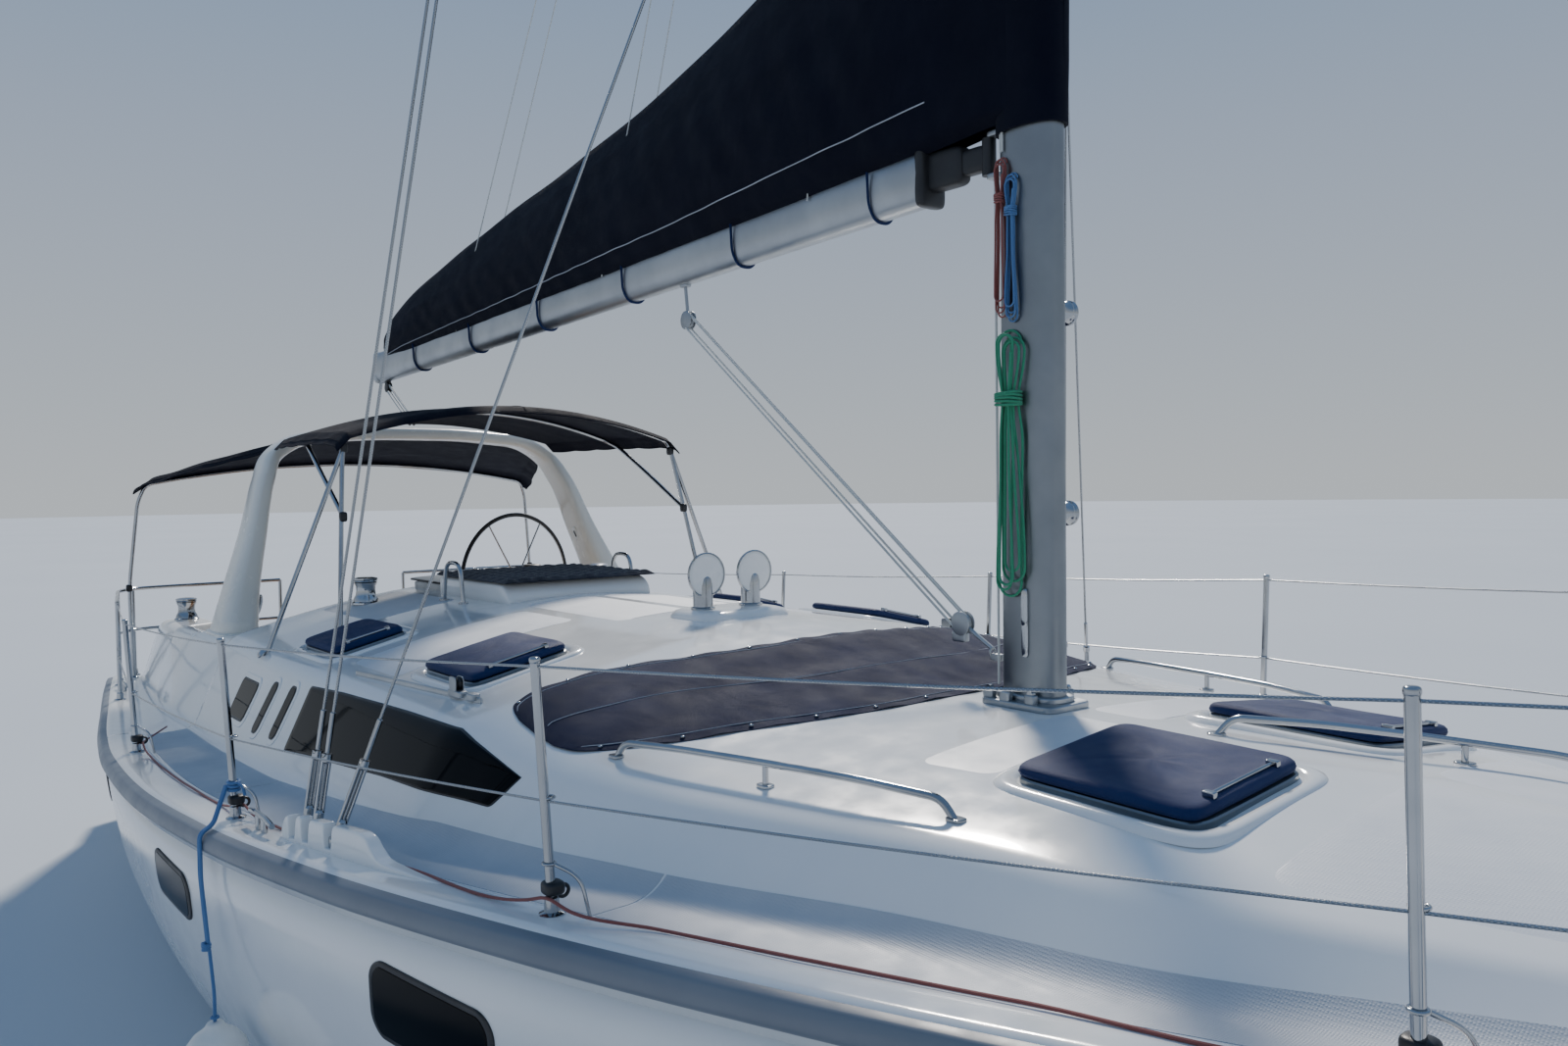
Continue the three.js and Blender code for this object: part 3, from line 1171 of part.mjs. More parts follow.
add('keel', keel(hullBody), IRON);
add('rudder', rudder(), IRON);
add('propeller', propeller(), BRONZE);
add('prop_strut', propStrut(hullBody), BRONZE);
add('engine', engine(), BLACK);
add('cabin_sole', cabinSole(), TEAK);

add('mast', mast(deckBody), ALLOY);
add('lower_spreaders', spreaderPair(LOWER_SPREADER), ALLOY);
add('upper_spreaders', spreaderPair(UPPER_SPREADER), ALLOY);
for (const { side, sign } of SIDES) {
  add(`cap_shroud_${side}`, capShroud(sign, deckBody), STEEL);
  add(`lower_shroud_${side}`, lowerShroud(sign, deckBody), STEEL);
}
add('furled_headsail', headsail(), CREAM);
const boomBody = boom();
add('boom', boomBody, ALLOY);
add('boom_cover', boomCover(boomBody), NAVY);
add('mast_cover', mastCover(), NAVY);
add('vang', vang(), BLACK);
add('mainsheet', mainsheet(), BLACK);

add('arch', arch(upper), CREAM);
const grown = TUBE_RADIUS + GAP;
add('fore_bimini', cloth(FORE_CLOTH, foreFrame(grown, upper)), NAVY);
add('fore_bimini_frame', foreFrame(TUBE_RADIUS, upper), STEEL);
add('aft_bimini', cloth(AFT_CLOTH, aftFrame(grown, upper)), NAVY);
add('aft_bimini_frame', aftFrame(TUBE_RADIUS, upper), STEEL);

add('pedestal', pedestal(cockpitBody), GELCOAT);
const helm = add('wheel', wheel(), BLACK);
helm.position.set(...WHEEL_CENTRE);
helm.rotation.z = THREE.MathUtils.degToRad(WHEEL_TURN);
for (const { side, sign } of SIDES) {
  const roof = roofHeight(-2650, 750);
  add(`cabin_winch_${side}`, winch(-2650, sign * 750, roof, upper), STEEL);
  add(`cockpit_winch_${side}`, winch(-4850, sign * 1240, column(COCKPIT, -4850, 'topZ'), upper), STEEL);
  add(`handrail_${side}`, handrail(sign, upper), STEEL);
  add(`guard_rail_${side}`, guardRail(sign, upper).add(pushpit(sign, upper)), STEEL);
}
add('vents', vents(upper), STEEL);
add('pulpit', pulpit(upper), STEEL);
add('bow_roller', bowRoller(), STEEL);
add('anchor', anchor(), STEEL);

add('fender', fender(), GELCOAT);
add('fender_line', fenderLine(), CORD);
for (const tail of HANKS) add(tail.name, hank(tail), CORD);

export default yacht;
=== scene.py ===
"""A sloop-rigged cruising yacht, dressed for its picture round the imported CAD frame.

Lengths in the tables are millimetres, as on the boat's drawings. Meshes are metres.
+X is the bow, +Y port, +Z up, and z = 0 is the waterline.
"""
import math

import bmesh
import bpy
import numpy as np
from mathutils import Matrix, Vector


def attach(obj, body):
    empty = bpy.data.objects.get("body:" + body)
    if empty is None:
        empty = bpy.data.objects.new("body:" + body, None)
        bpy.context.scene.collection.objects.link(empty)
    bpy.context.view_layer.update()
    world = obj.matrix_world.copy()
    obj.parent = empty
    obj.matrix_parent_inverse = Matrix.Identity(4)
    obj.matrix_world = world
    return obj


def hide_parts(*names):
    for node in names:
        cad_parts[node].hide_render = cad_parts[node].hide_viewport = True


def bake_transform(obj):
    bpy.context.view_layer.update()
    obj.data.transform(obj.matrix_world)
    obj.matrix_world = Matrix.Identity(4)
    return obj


bl_info = {
    "name": "Cruising yacht",
    "version": (1, 0, 0),
    "blender": (4, 5, 0),
    "location": "3D View > Sidebar > Yacht",
    "description": "Builds the hull, deck, rig and covers of a cruising yacht round its CAD frame",
    "category": "Object",
}

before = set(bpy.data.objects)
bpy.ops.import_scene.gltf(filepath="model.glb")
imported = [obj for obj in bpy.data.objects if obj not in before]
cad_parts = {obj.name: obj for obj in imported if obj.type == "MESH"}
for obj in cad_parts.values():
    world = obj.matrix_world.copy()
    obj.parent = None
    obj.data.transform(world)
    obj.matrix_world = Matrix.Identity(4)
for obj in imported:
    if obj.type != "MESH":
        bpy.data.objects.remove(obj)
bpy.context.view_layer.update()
MM = 0.001

# The photo's camera: place in metres, yaw, pitch and roll in degrees, focal length and width in pixels
CAMERA, AIM, FOCAL, PHOTO_WIDE = (3.994, -3.001, 2.466), (141.34, -1.89, -0.73), 1181.3, 1600
SENSOR = 36                        # width of the camera's sensor

# Hull stations: x, half beam, sheer, keel, fullness, lean of the section
HULL = np.array([
    [-6200, 1440, 395, 80, 2.1, 0], [-5760, 1565, 395, -35, 2.3, 0], [-5400, 1630, 1060, -110, 2.5, 0],
    [-4900, 1720, 1062, -215, 2.5, 0], [-4100, 1850, 1070, -390, 2.5, 0], [-2920, 2030, 1092, -555, 2.5, 0],
    [-2290, 2095, 1110, -600, 2.45, 0], [-1300, 2135, 1155, -645, 2.4, 0], [-410, 2095, 1200, -660, 2.35, 0],
    [500, 1985, 1250, -655, 2.3, 0], [1410, 1795, 1300, -640, 2.2, 0], [2400, 1500, 1350, -610, 2.05, 0],
    [3200, 1215, 1390, -570, 1.9, .03], [4000, 955, 1430, -500, 1.7, .07], [5000, 590, 1480, -370, 1.45, .15],
    [5700, 275, 1510, -220, 1.3, .22], [6200, 30, 1530, -50, 1.2, .27]])
# Coachroof stations: x, half width at the foot and at the shoulder, shoulder and roof height
TRUNK = np.array([
    [-2920, 1610, 1420, 1660, 1895], [-1300, 1640, 1450, 1660, 1900], [170, 1635, 1450, 1655, 1900],
    [500, 1600, 1410, 1650, 1880], [900, 1540, 1350, 1625, 1800], [1240, 1465, 1280, 1622, 1740],
    [1500, 1405, 1215, 1625, 1735], [2100, 1220, 1055, 1630, 1735], [2570, 1115, 950, 1615, 1730],
    [3200, 860, 700, 1590, 1690], [3800, 560, 430, 1565, 1620], [4300, 330, 230, 1560, 1580],
    [5000, 260, 180, 1592, 1600], [5700, 110, 75, 1612, 1618], [6200, 12, 8, 1622, 1626]])
# Cockpit stations: x, coaming foot, outer and inner edge of its top, its height, footwell
COCKPIT = np.array([
    [-5400, 1430, 1310, 1060, 1520, 700], [-5000, 1490, 1370, 1110, 1580, 700],
    [-4420, 1545, 1415, 1140, 1600, 700], [-4250, 1560, 1425, 1325, 1605, 1180],
    [-3720, 1595, 1435, 1330, 1620, 1180], [-3600, 1600, 1430, 1120, 1635, 480],
    [-2920, 1610, 1420, 1120, 1650, 480]])
SOLE, SEAT, PLATFORM = 980, 1380, 395  # heights of the footwell's floor, the seats and the platform
STEP_FORE, STEP_AFT, STEP = -5490, -5615, 680  # fore and aft step of the stern block, the aft one's height
TRUNK_END, COCKPIT_END = -2920, -5400
RAIL, CAP, GUTTER = 110, 150, 180  # gunwale: height over the sheer, width on top, start of the side deck
OUTER_FALL, INNER_FALL = 22, 18    # how far the side deck's two edges lie below the gunwale's top
FULL_GUNWALE = 600                 # half beam below which the gunwale narrows
LEAN_IN, LEAN_BEAM = 150, 2100     # how far the skin leans in down to the keel, at that half beam
NOSE = 30                          # radius of the rounded stem
GATE = 320                         # half width of the gate in the transom wall
SLIDE_FORE, SLIDE_HALF = -2400, 338  # fore end and half width of the companionway
SIDE_DECK = 1450                   # the side decks lie lower than this
LAP = 24                           # how far the deck reaches in under a hatch frame
MAST_X, MASTHEAD = 1550, 18400     # the mast's middle and its top
BOOM_AFT, BOOM_FORE, PIVOT_Z = -4390, 1100, 3555  # the boom's ends, and the height of its pivot
STAY_FOOT, STAY_HEAD = np.array([5960.0, 0, 1790]), np.array([1731.0, 0, 17290])
# Lids on the coachroof and the foredeck: x, distance from the centreline, length, width
HATCHES = {"fore_hatch": (2300, 445, 520, 470), "mid_hatch": (-340, 1020, 480, 400),
           "aft_hatch": (-1640, 1150, 480, 320)}
LOCKER = (5120, 0, 460, 300)       # the anchor locker's lid, given in the same way
SIDES = (("starboard", -1), ("port", 1))


# Numbers and shapes

def linear(code):
    """An sRGB hex colour as the linear colour that a shader takes."""
    rgb = np.array([int(code[i:i + 2], 16) for i in (0, 2, 4)]) / 255
    rgb = np.where(rgb <= 0.04045, rgb / 12.92, ((rgb + 0.055) / 1.055) ** 2.4)
    return (*rgb.tolist(), 1.0)


def col(rows, i, x):
    """Column i of a station table at x, by a cubic that never overshoots its stations:
    each station's slope is the harmonic mean of its neighbours' slopes, or 0 at a turn."""
    xs, ys = rows[:, 0], rows[:, i]
    h = np.diff(xs)
    d = np.diff(ys) / h
    same = d[:-1] * d[1:] > 0
    w1, w2 = 2 * h[1:] + h[:-1], h[1:] + 2 * h[:-1]
    a, b = np.where(same, d[:-1], 1), np.where(same, d[1:], 1)
    m = np.concatenate([d[:1], np.where(same, (w1 + w2) / (w1 / a + w2 / b), 0), d[-1:]])
    x = np.clip(x, xs[0], xs[-1])
    k = np.clip(np.searchsorted(xs, x, side="right") - 1, 0, len(h) - 1)
    t = (x - xs[k]) / h[k]
    return ((1 + 2 * t) * (1 - t) ** 2 * ys[k] + t * (1 - t) ** 2 * h[k] * m[k]
            + t * t * (3 - 2 * t) * ys[k + 1] + t * t * (t - 1) * h[k] * m[k + 1])


def beam(x):
    """Half breadth at the joint of hull and deck."""
    return col(HULL, 1, x)


def sheer(x):
    """Height of that joint: straight over the platform, and a smooth curve from the cockpit forward."""
    return np.where(x < COCKPIT_END, np.interp(x, HULL[:3, 0], HULL[:3, 2]), col(HULL[2:], 2, x))


def roof(x, y):
    """Coachroof height: falls from the centreline to the shoulder as the distance to the power 1.8."""
    shoulder, edge, top = (col(TRUNK, i, x) for i in (2, 3, 4))
    return top - (top - edge) * np.minimum(1, np.abs(y) / shoulder) ** 1.8


def on_roof(x, y, up=0):
    """Point at a height over the coachroof."""
    return x, y, float(roof(x, y)) + up


def gunwale(x, inset):
    """Distance from the centreline at an inset from the gunwale's edge, and its height."""
    return float(beam(x)) - inset, float(sheer(x)) + RAIL


def narrow(half):
    """Share of the gunwale's full width that a half beam leaves."""
    return np.minimum(1, half / FULL_GUNWALE)


def power(w, e):
    """Power of a number's size, with its sign."""
    return np.sign(w) * np.abs(np.where(np.abs(w) < 1e-9, 0, w)) ** e


def full_turn(count):
    """Angles of a full turn in equal steps, both ends in."""
    return np.linspace(0, 2 * np.pi, count + 1)


def eased(count):
    """Values from 0 to 1 that lie closer together at both ends."""
    return (1 - np.cos(np.linspace(0, np.pi, count))) / 2


def swept(half, count):
    """Values from -half to half that lie closer together at both ends."""
    return half * np.sin(np.linspace(-np.pi / 2, np.pi / 2, count))


def grid(x, y, z):
    """Points in metres out of millimetre coordinates."""
    return np.stack(np.broadcast_arrays(x, y, z), -1) * MM


def gathered(x, z, count):
    """Row of grid points gathered in one point on the centreline, which closes an end."""
    return np.repeat(np.array([[[x, 0.0, z]]]) * MM, count, 1)


def across(half):
    """A line of points from one side to the centreline, carried on to the other side."""
    return half + [(x, -y, *rest) for x, y, *rest in half[-2::-1]]


def pulled(corner, near):
    """How far a quarter circle of radius corner lies inside its straight edge, near to its start."""
    return corner - np.sqrt(np.maximum(corner ** 2 - (corner - near) ** 2, 0))


def from_edge(u, v):
    """0 on the edge of a pane and 1 from a sixtieth of it inwards."""
    return np.clip(np.minimum(np.minimum(u, 1 - u), np.minimum(v, 1 - v)) * 60, 0, 1)


def lean_back(x, y, z):
    """Points of the section at x in metres: near the bow the section leans with the stem,
    and past the last station its half breadth closes as a quarter circle."""
    x, y, z = np.broadcast_arrays(np.asarray(x, float), y, z)
    close = np.sqrt(np.clip(1 - (np.maximum(x - HULL[-1, 0], 0) / NOSE) ** 2, 0, 1))
    return np.stack([x + col(HULL, 5, x) * (z - sheer(x)), y * close, z], -1) * MM


def hull_skin(x, t):
    """Half section as a superellipse from the keel (t = 0) to the sheer (t = 1), leaning in downwards."""
    top, low, full, half = sheer(x), col(HULL, 3, x), col(HULL, 4, x), beam(x)
    a = t * np.pi / 2
    z = top - (top - low) * np.cos(a) ** (2 / full)
    y = half * np.sin(a) ** (2 / full) - LEAN_IN * half / LEAN_BEAM * (top - z) / (top - low)
    return x, np.maximum(20, y), z


def soften(corners, cuts, steps=5):
    """Rows of corner points with each inner corner rounded by a parabola that starts cut away from it."""
    out = [corners[:, :1]]
    for i, cut in enumerate(cuts, 1):
        p, q, r = (corners[:, k:k + 1] for k in (i - 1, i, i + 1))
        back, on = p - q, r - q
        lb, lo = (np.maximum(np.linalg.norm(v, axis=-1, keepdims=True), 1e-9) for v in (back, on))
        c = np.minimum(cut, 0.45 * np.minimum(lb, lo))
        t = np.linspace(0, 1, steps)[None, :, None]
        out.append((1 - t) ** 2 * (q + back / lb * c) + 2 * t * (1 - t) * q + t * t * (q + on / lo * c))
    out.append(corners[:, -1:])
    return np.concatenate(out, axis=1)


def bend(points, radius, steps=6):
    """Millimetre points to a path in metres with rounded corners."""
    points = np.asarray(points, float)[None]
    return soften(points, [radius] * (points.shape[1] - 2), steps)[0] * MM


def spline(points, count):
    """Smooth path in metres through millimetre points, by a cubic with each point's mean slope."""
    p = np.asarray(points, float) * MM
    s = np.concatenate([[0], np.cumsum(np.linalg.norm(np.diff(p, axis=0), axis=1))])
    m = np.gradient(p, s, axis=0)
    at = np.linspace(0, s[-1], count)
    k = np.clip(np.searchsorted(s, at, side="right") - 1, 0, len(s) - 2)
    h = (s[k + 1] - s[k])[:, None]
    t = (at - s[k])[:, None] / h
    return ((1 + 2 * t) * (1 - t) ** 2 * p[k] + t * (1 - t) ** 2 * h * m[k]
            + t * t * (3 - 2 * t) * p[k + 1] + t * t * (t - 1) * h * m[k + 1])


# Surfaces: each is (points, faces, uv in metres)

def quads(rows, cols, around=False):
    """Faces between the points of a grid, whose last column joins the first one where it closes."""
    i, j = np.meshgrid(np.arange(rows - 1), np.arange(cols if around else cols - 1), indexing="ij")
    k = (j + 1) % cols
    return np.stack([i * cols + j, i * cols + k, (i + 1) * cols + k, (i + 1) * cols + j], -1).reshape(-1, 4)


def spread(p):
    """Texture place of each grid point: how far along its column and its row it lies."""
    du = np.linalg.norm(np.diff(p, axis=0), axis=2).mean(1)
    dv = np.linalg.norm(np.diff(p, axis=1), axis=2).mean(0)
    u, v = np.concatenate([[0], np.cumsum(du)]), np.concatenate([[0], np.cumsum(dv)])
    return np.stack(np.meshgrid(u, v, indexing="ij"), -1).reshape(-1, 2)


def sheet(p):
    """One open surface through a grid of points."""
    return p.reshape(-1, 3), [quads(*p.shape[:2])], spread(p)


def slab(low, high):
    """Closed body between two grids of points of one size."""
    n, m = low.shape[:2]
    loop = np.concatenate([low, high[:, ::-1]], axis=1)
    j = np.arange(m - 1)
    cap = np.stack([j, j + 1, 2 * m - 2 - j, 2 * m - 1 - j], -1)
    uv = np.concatenate([spread(low).reshape(n, m, 2), spread(high).reshape(n, m, 2)[:, ::-1]], axis=1)
    return (loop.reshape(-1, 3), [quads(n, 2 * m, True), cap[:, ::-1], cap + (n - 1) * 2 * m],
            uv.reshape(-1, 2))


def tube(path, radius, sides=12, flat=1.0, closed=False):
    """Round section carried along a path. Its frame stands on the normal of the path's own plane,
    and its two ends close to a point."""
    path = np.asarray(path, float)
    if closed:
        tangent = np.roll(path, -1, 0) - np.roll(path, 1, 0)
    else:
        tangent = np.gradient(path, axis=0)
    tangent /= np.maximum(np.linalg.norm(tangent, axis=1, keepdims=True), 1e-12)
    plane = np.linalg.svd(path - path.mean(0))[2][2] if len(path) > 2 else np.array([0.31, 0.52, 0.79])
    if np.abs(tangent @ plane).max() > 0.93:
        plane = np.linalg.svd(tangent)[2][2]
    side = np.cross(tangent, plane)
    side /= np.maximum(np.linalg.norm(side, axis=1, keepdims=True), 1e-9)
    up = np.cross(side, tangent)
    r = np.broadcast_to(np.asarray(radius, float), len(path))[:, None, None]
    a = full_turn(sides)[None, :, None]
    p = path[:, None] + r * (np.cos(a) * side[:, None] + flat * np.sin(a) * up[:, None])
    if closed:
        p = np.concatenate([p, p[:1]])
    else:
        p = np.concatenate([np.repeat(path[:1, None], sides + 1, 1), p,
                            np.repeat(path[-1:, None], sides + 1, 1)])
    return sheet(p)


def frame_of(axis):
    """Two directions square to an axis, and the axis at length 1."""
    axis = np.asarray(axis, float) / np.linalg.norm(axis)
    ref = np.array([0, 0, 1.0]) if abs(axis[2]) < 0.9 else np.array([1.0, 0, 0])
    side = np.cross(ref, axis)
    side /= np.linalg.norm(side)
    return side, np.cross(axis, side), axis


def lathe(profile, at, axis=(0, 0, 1), sides=28):
    """Profile of (radius, height) pairs turned about an axis through a point, millimetres."""
    side, up, axis = frame_of(axis)
    q = np.asarray(profile, float)
    a = full_turn(sides)[None, :, None]
    r, h = q[:, 0][:, None, None], q[:, 1][:, None, None]
    return sheet((np.asarray(at, float) + r * (np.cos(a) * side + np.sin(a) * up) + h * axis) * MM)


def pad(at, half, square=(0.25, 0.25), axes=None, shape=(14, 28)):
    """Superellipsoid: cosines and sines to small powers make a block with rounded edges, millimetres."""
    v = np.linspace(-np.pi / 2, np.pi / 2, shape[0])[:, None]
    u = full_turn(shape[1])[None]
    level = power(np.cos(v), square[0])
    p = np.stack([level * power(np.cos(u), square[1]) * half[0],
                  level * power(np.sin(u), square[1]) * half[1],
                  power(np.sin(v), square[0]) * half[2] + 0 * u], -1)
    return sheet((p @ (np.eye(3) if axes is None else np.asarray(axes, float)) + np.asarray(at, float)) * MM)


def ring(at, radius, wire, axis=(0, 0, 1), steps=40, sides=10):
    """Round ring about an axis, millimetres."""
    side, up, _ = frame_of(axis)
    a = np.linspace(0, 2 * np.pi, steps, endpoint=False)[:, None]
    return tube((np.asarray(at, float) + radius * (np.cos(a) * side + np.sin(a) * up)) * MM, wire * MM,
                sides, closed=True)


def rod(a, b, radius, sides=14):
    """Straight round bar between two millimetre points."""
    return tube(np.array([a, b], float) * MM, radius * MM, sides)


def put(name, parts, look, body="boat", sharp=38, facing=None, cut=None):
    """Puts surfaces into one mesh in a finish, merges their seams and poles, and rides it on a body.
    facing names the way that an open surface looks; closed ones are turned outwards."""
    points, loops, starts, uvs, start, done = [], [], [], [], 0, 0
    for verts, faces, uv in parts:
        points.append(verts)
        for f in faces:
            loops.append((f + start).ravel())
            starts.append(done + np.arange(len(f)) * f.shape[1])
            uvs.append(uv[f.ravel()])
            done += f.size
        start += len(verts)
    points, loops = np.concatenate(points), np.concatenate(loops)
    mesh = bpy.data.meshes.new(name)
    mesh.vertices.add(len(points))
    mesh.vertices.foreach_set("co", points.ravel().astype(np.float32))
    mesh.loops.add(len(loops))
    mesh.loops.foreach_set("vertex_index", loops.astype(np.int32))
    starts = np.concatenate(starts)
    mesh.polygons.add(len(starts))
    mesh.polygons.foreach_set("loop_start", starts.astype(np.int32))
    layer = mesh.uv_layers.new(name="UVMap")
    layer.data.foreach_set("uv", np.concatenate(uvs).ravel().astype(np.float32))
    mesh.update(calc_edges=True)
    work = bmesh.new()
    work.from_mesh(mesh)
    if cut is not None:
        middles = np.array([f.calc_center_median() for f in work.faces])
        work.faces.ensure_lookup_table()
        gone = [work.faces[i] for i in np.flatnonzero(cut(middles))]
        bmesh.ops.delete(work, geom=gone, context="FACES")
    bmesh.ops.remove_doubles(work, verts=work.verts, dist=2e-5)
    bmesh.ops.dissolve_degenerate(work, edges=work.edges, dist=1e-6)
    bmesh.ops.recalc_face_normals(work, faces=work.faces)
    if facing is not None:
        total = sum(f.normal.dot(facing(f.calc_center_median())) * f.calc_area() for f in work.faces)
        if total < 0:
            bmesh.ops.reverse_faces(work, faces=work.faces)
    work.to_mesh(mesh)
    work.free()
    mesh.polygons.foreach_set("use_smooth", np.ones(len(mesh.polygons), bool))
    mesh.set_sharp_from_angle(angle=math.radians(sharp))
    mesh.materials.append(finish(look))
    piece = bpy.data.objects.new(name, mesh)
    bpy.context.scene.collection.objects.link(piece)
    if body:
        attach(piece, body)
    return piece


def thicken(piece, wall):
    """Gives an open shell its wall, inwards from the surface."""
    solidify = piece.modifiers.new("wall", "SOLIDIFY")
    solidify.thickness, solidify.offset = wall * MM, -1


# Materials

def add(tree, kind, inputs=None, links=None, **settings):
    """Adds a node to a tree with its settings, its input values and its links."""
    new = tree.nodes.new(kind)
    for key, value in settings.items():
        setattr(new, key, value)
    for key, value in (inputs or {}).items():
        new.inputs[key].default_value = value
    for key, source in (links or {}).items():
        tree.links.new(source, new.inputs[key])
    return new


def weave(tree, place, size):
    """Plain weave: warp and weft waves, one thread over the other."""
    threads = {"Scale": math.pi / (10 * size * MM), "Distortion": 0.4}
    warp = add(tree, "ShaderNodeTexWave", threads, {"Vector": place}, bands_direction="X")
    weft = add(tree, "ShaderNodeTexWave", threads, {"Vector": place}, bands_direction="Y")
    return add(tree, "ShaderNodeMath", {}, {0: warp.outputs["Fac"], 1: weft.outputs["Fac"]},
               operation="MULTIPLY").outputs[0]


def studs(tree, place, size):
    """Moulded non-slip: close rows of small rounded studs."""
    cells = add(tree, "ShaderNodeTexVoronoi", {"Scale": 1 / (size * MM), "Randomness": 0.15},
                {"Vector": place})
    return add(tree, "ShaderNodeMapRange", {"From Min": 0.15, "From Max": 0.55, "To Min": 1.0, "To Max": 0.0},
               {"Value": cells.outputs["Distance"]}).outputs[0]


def brushed(tree, place, size):
    """Fine lines left by the die or the polishing belt, long along X of the mapping."""
    return add(tree, "ShaderNodeTexNoise", {"Scale": 1 / (size * MM), "Detail": 3.0},
               {"Vector": place}).outputs[0]


def braid(tree, place, size):
    """Braided cover: two sets of strands crossing on the slant."""
    turned = [add(tree, "ShaderNodeMapping", {"Rotation": (0, 0, a)}, {"Vector": place}).outputs[0]
              for a in (math.radians(35), math.radians(-35))]
    waves = [add(tree, "ShaderNodeTexWave", {"Scale": math.pi / (10 * size * MM), "Distortion": 0.2},
                 {"Vector": t}, bands_direction="Y").outputs["Fac"] for t in turned]
    return add(tree, "ShaderNodeMath", {}, {0: waves[0], 1: waves[1]}, operation="MAXIMUM").outputs[0]


def creases(tree, place, size):
    """Soft wrinkles of stretched canvas, over the weave."""
    folds = add(tree, "ShaderNodeTexNoise", {"Scale": 6.0, "Detail": 3.0, "Distortion": 0.9},
                {"Vector": place})
    threads = weave(tree, place, size)
    return add(tree, "ShaderNodeMath", {1: 9.0}, {0: folds.outputs[0], 2: threads},
               operation="MULTIPLY_ADD").outputs[0]


def planks(tree, place, size):
    """Straight seams between planks, with the grain between them."""
    seams = add(tree, "ShaderNodeTexWave", {"Scale": math.pi / (10 * size * MM), "Distortion": 0.0},
                {"Vector": place}, bands_direction="Y", wave_profile="SAW")
    return add(tree, "ShaderNodeMapRange", {"From Min": 0.0, "From Max": 0.06},
               {"Value": seams.outputs["Fac"]}).outputs[0]


def speckle(tree, place, size):
    """Faint unevenness of a plain surface."""
    return add(tree, "ShaderNodeTexNoise", {"Scale": 1 / (size * MM), "Detail": 2.0},
               {"Vector": place}).outputs[0]


RESIN, METAL, ROPE = {"IOR": 1.5}, {"Metallic": 1.0}, {"Sheen Weight": 0.2}
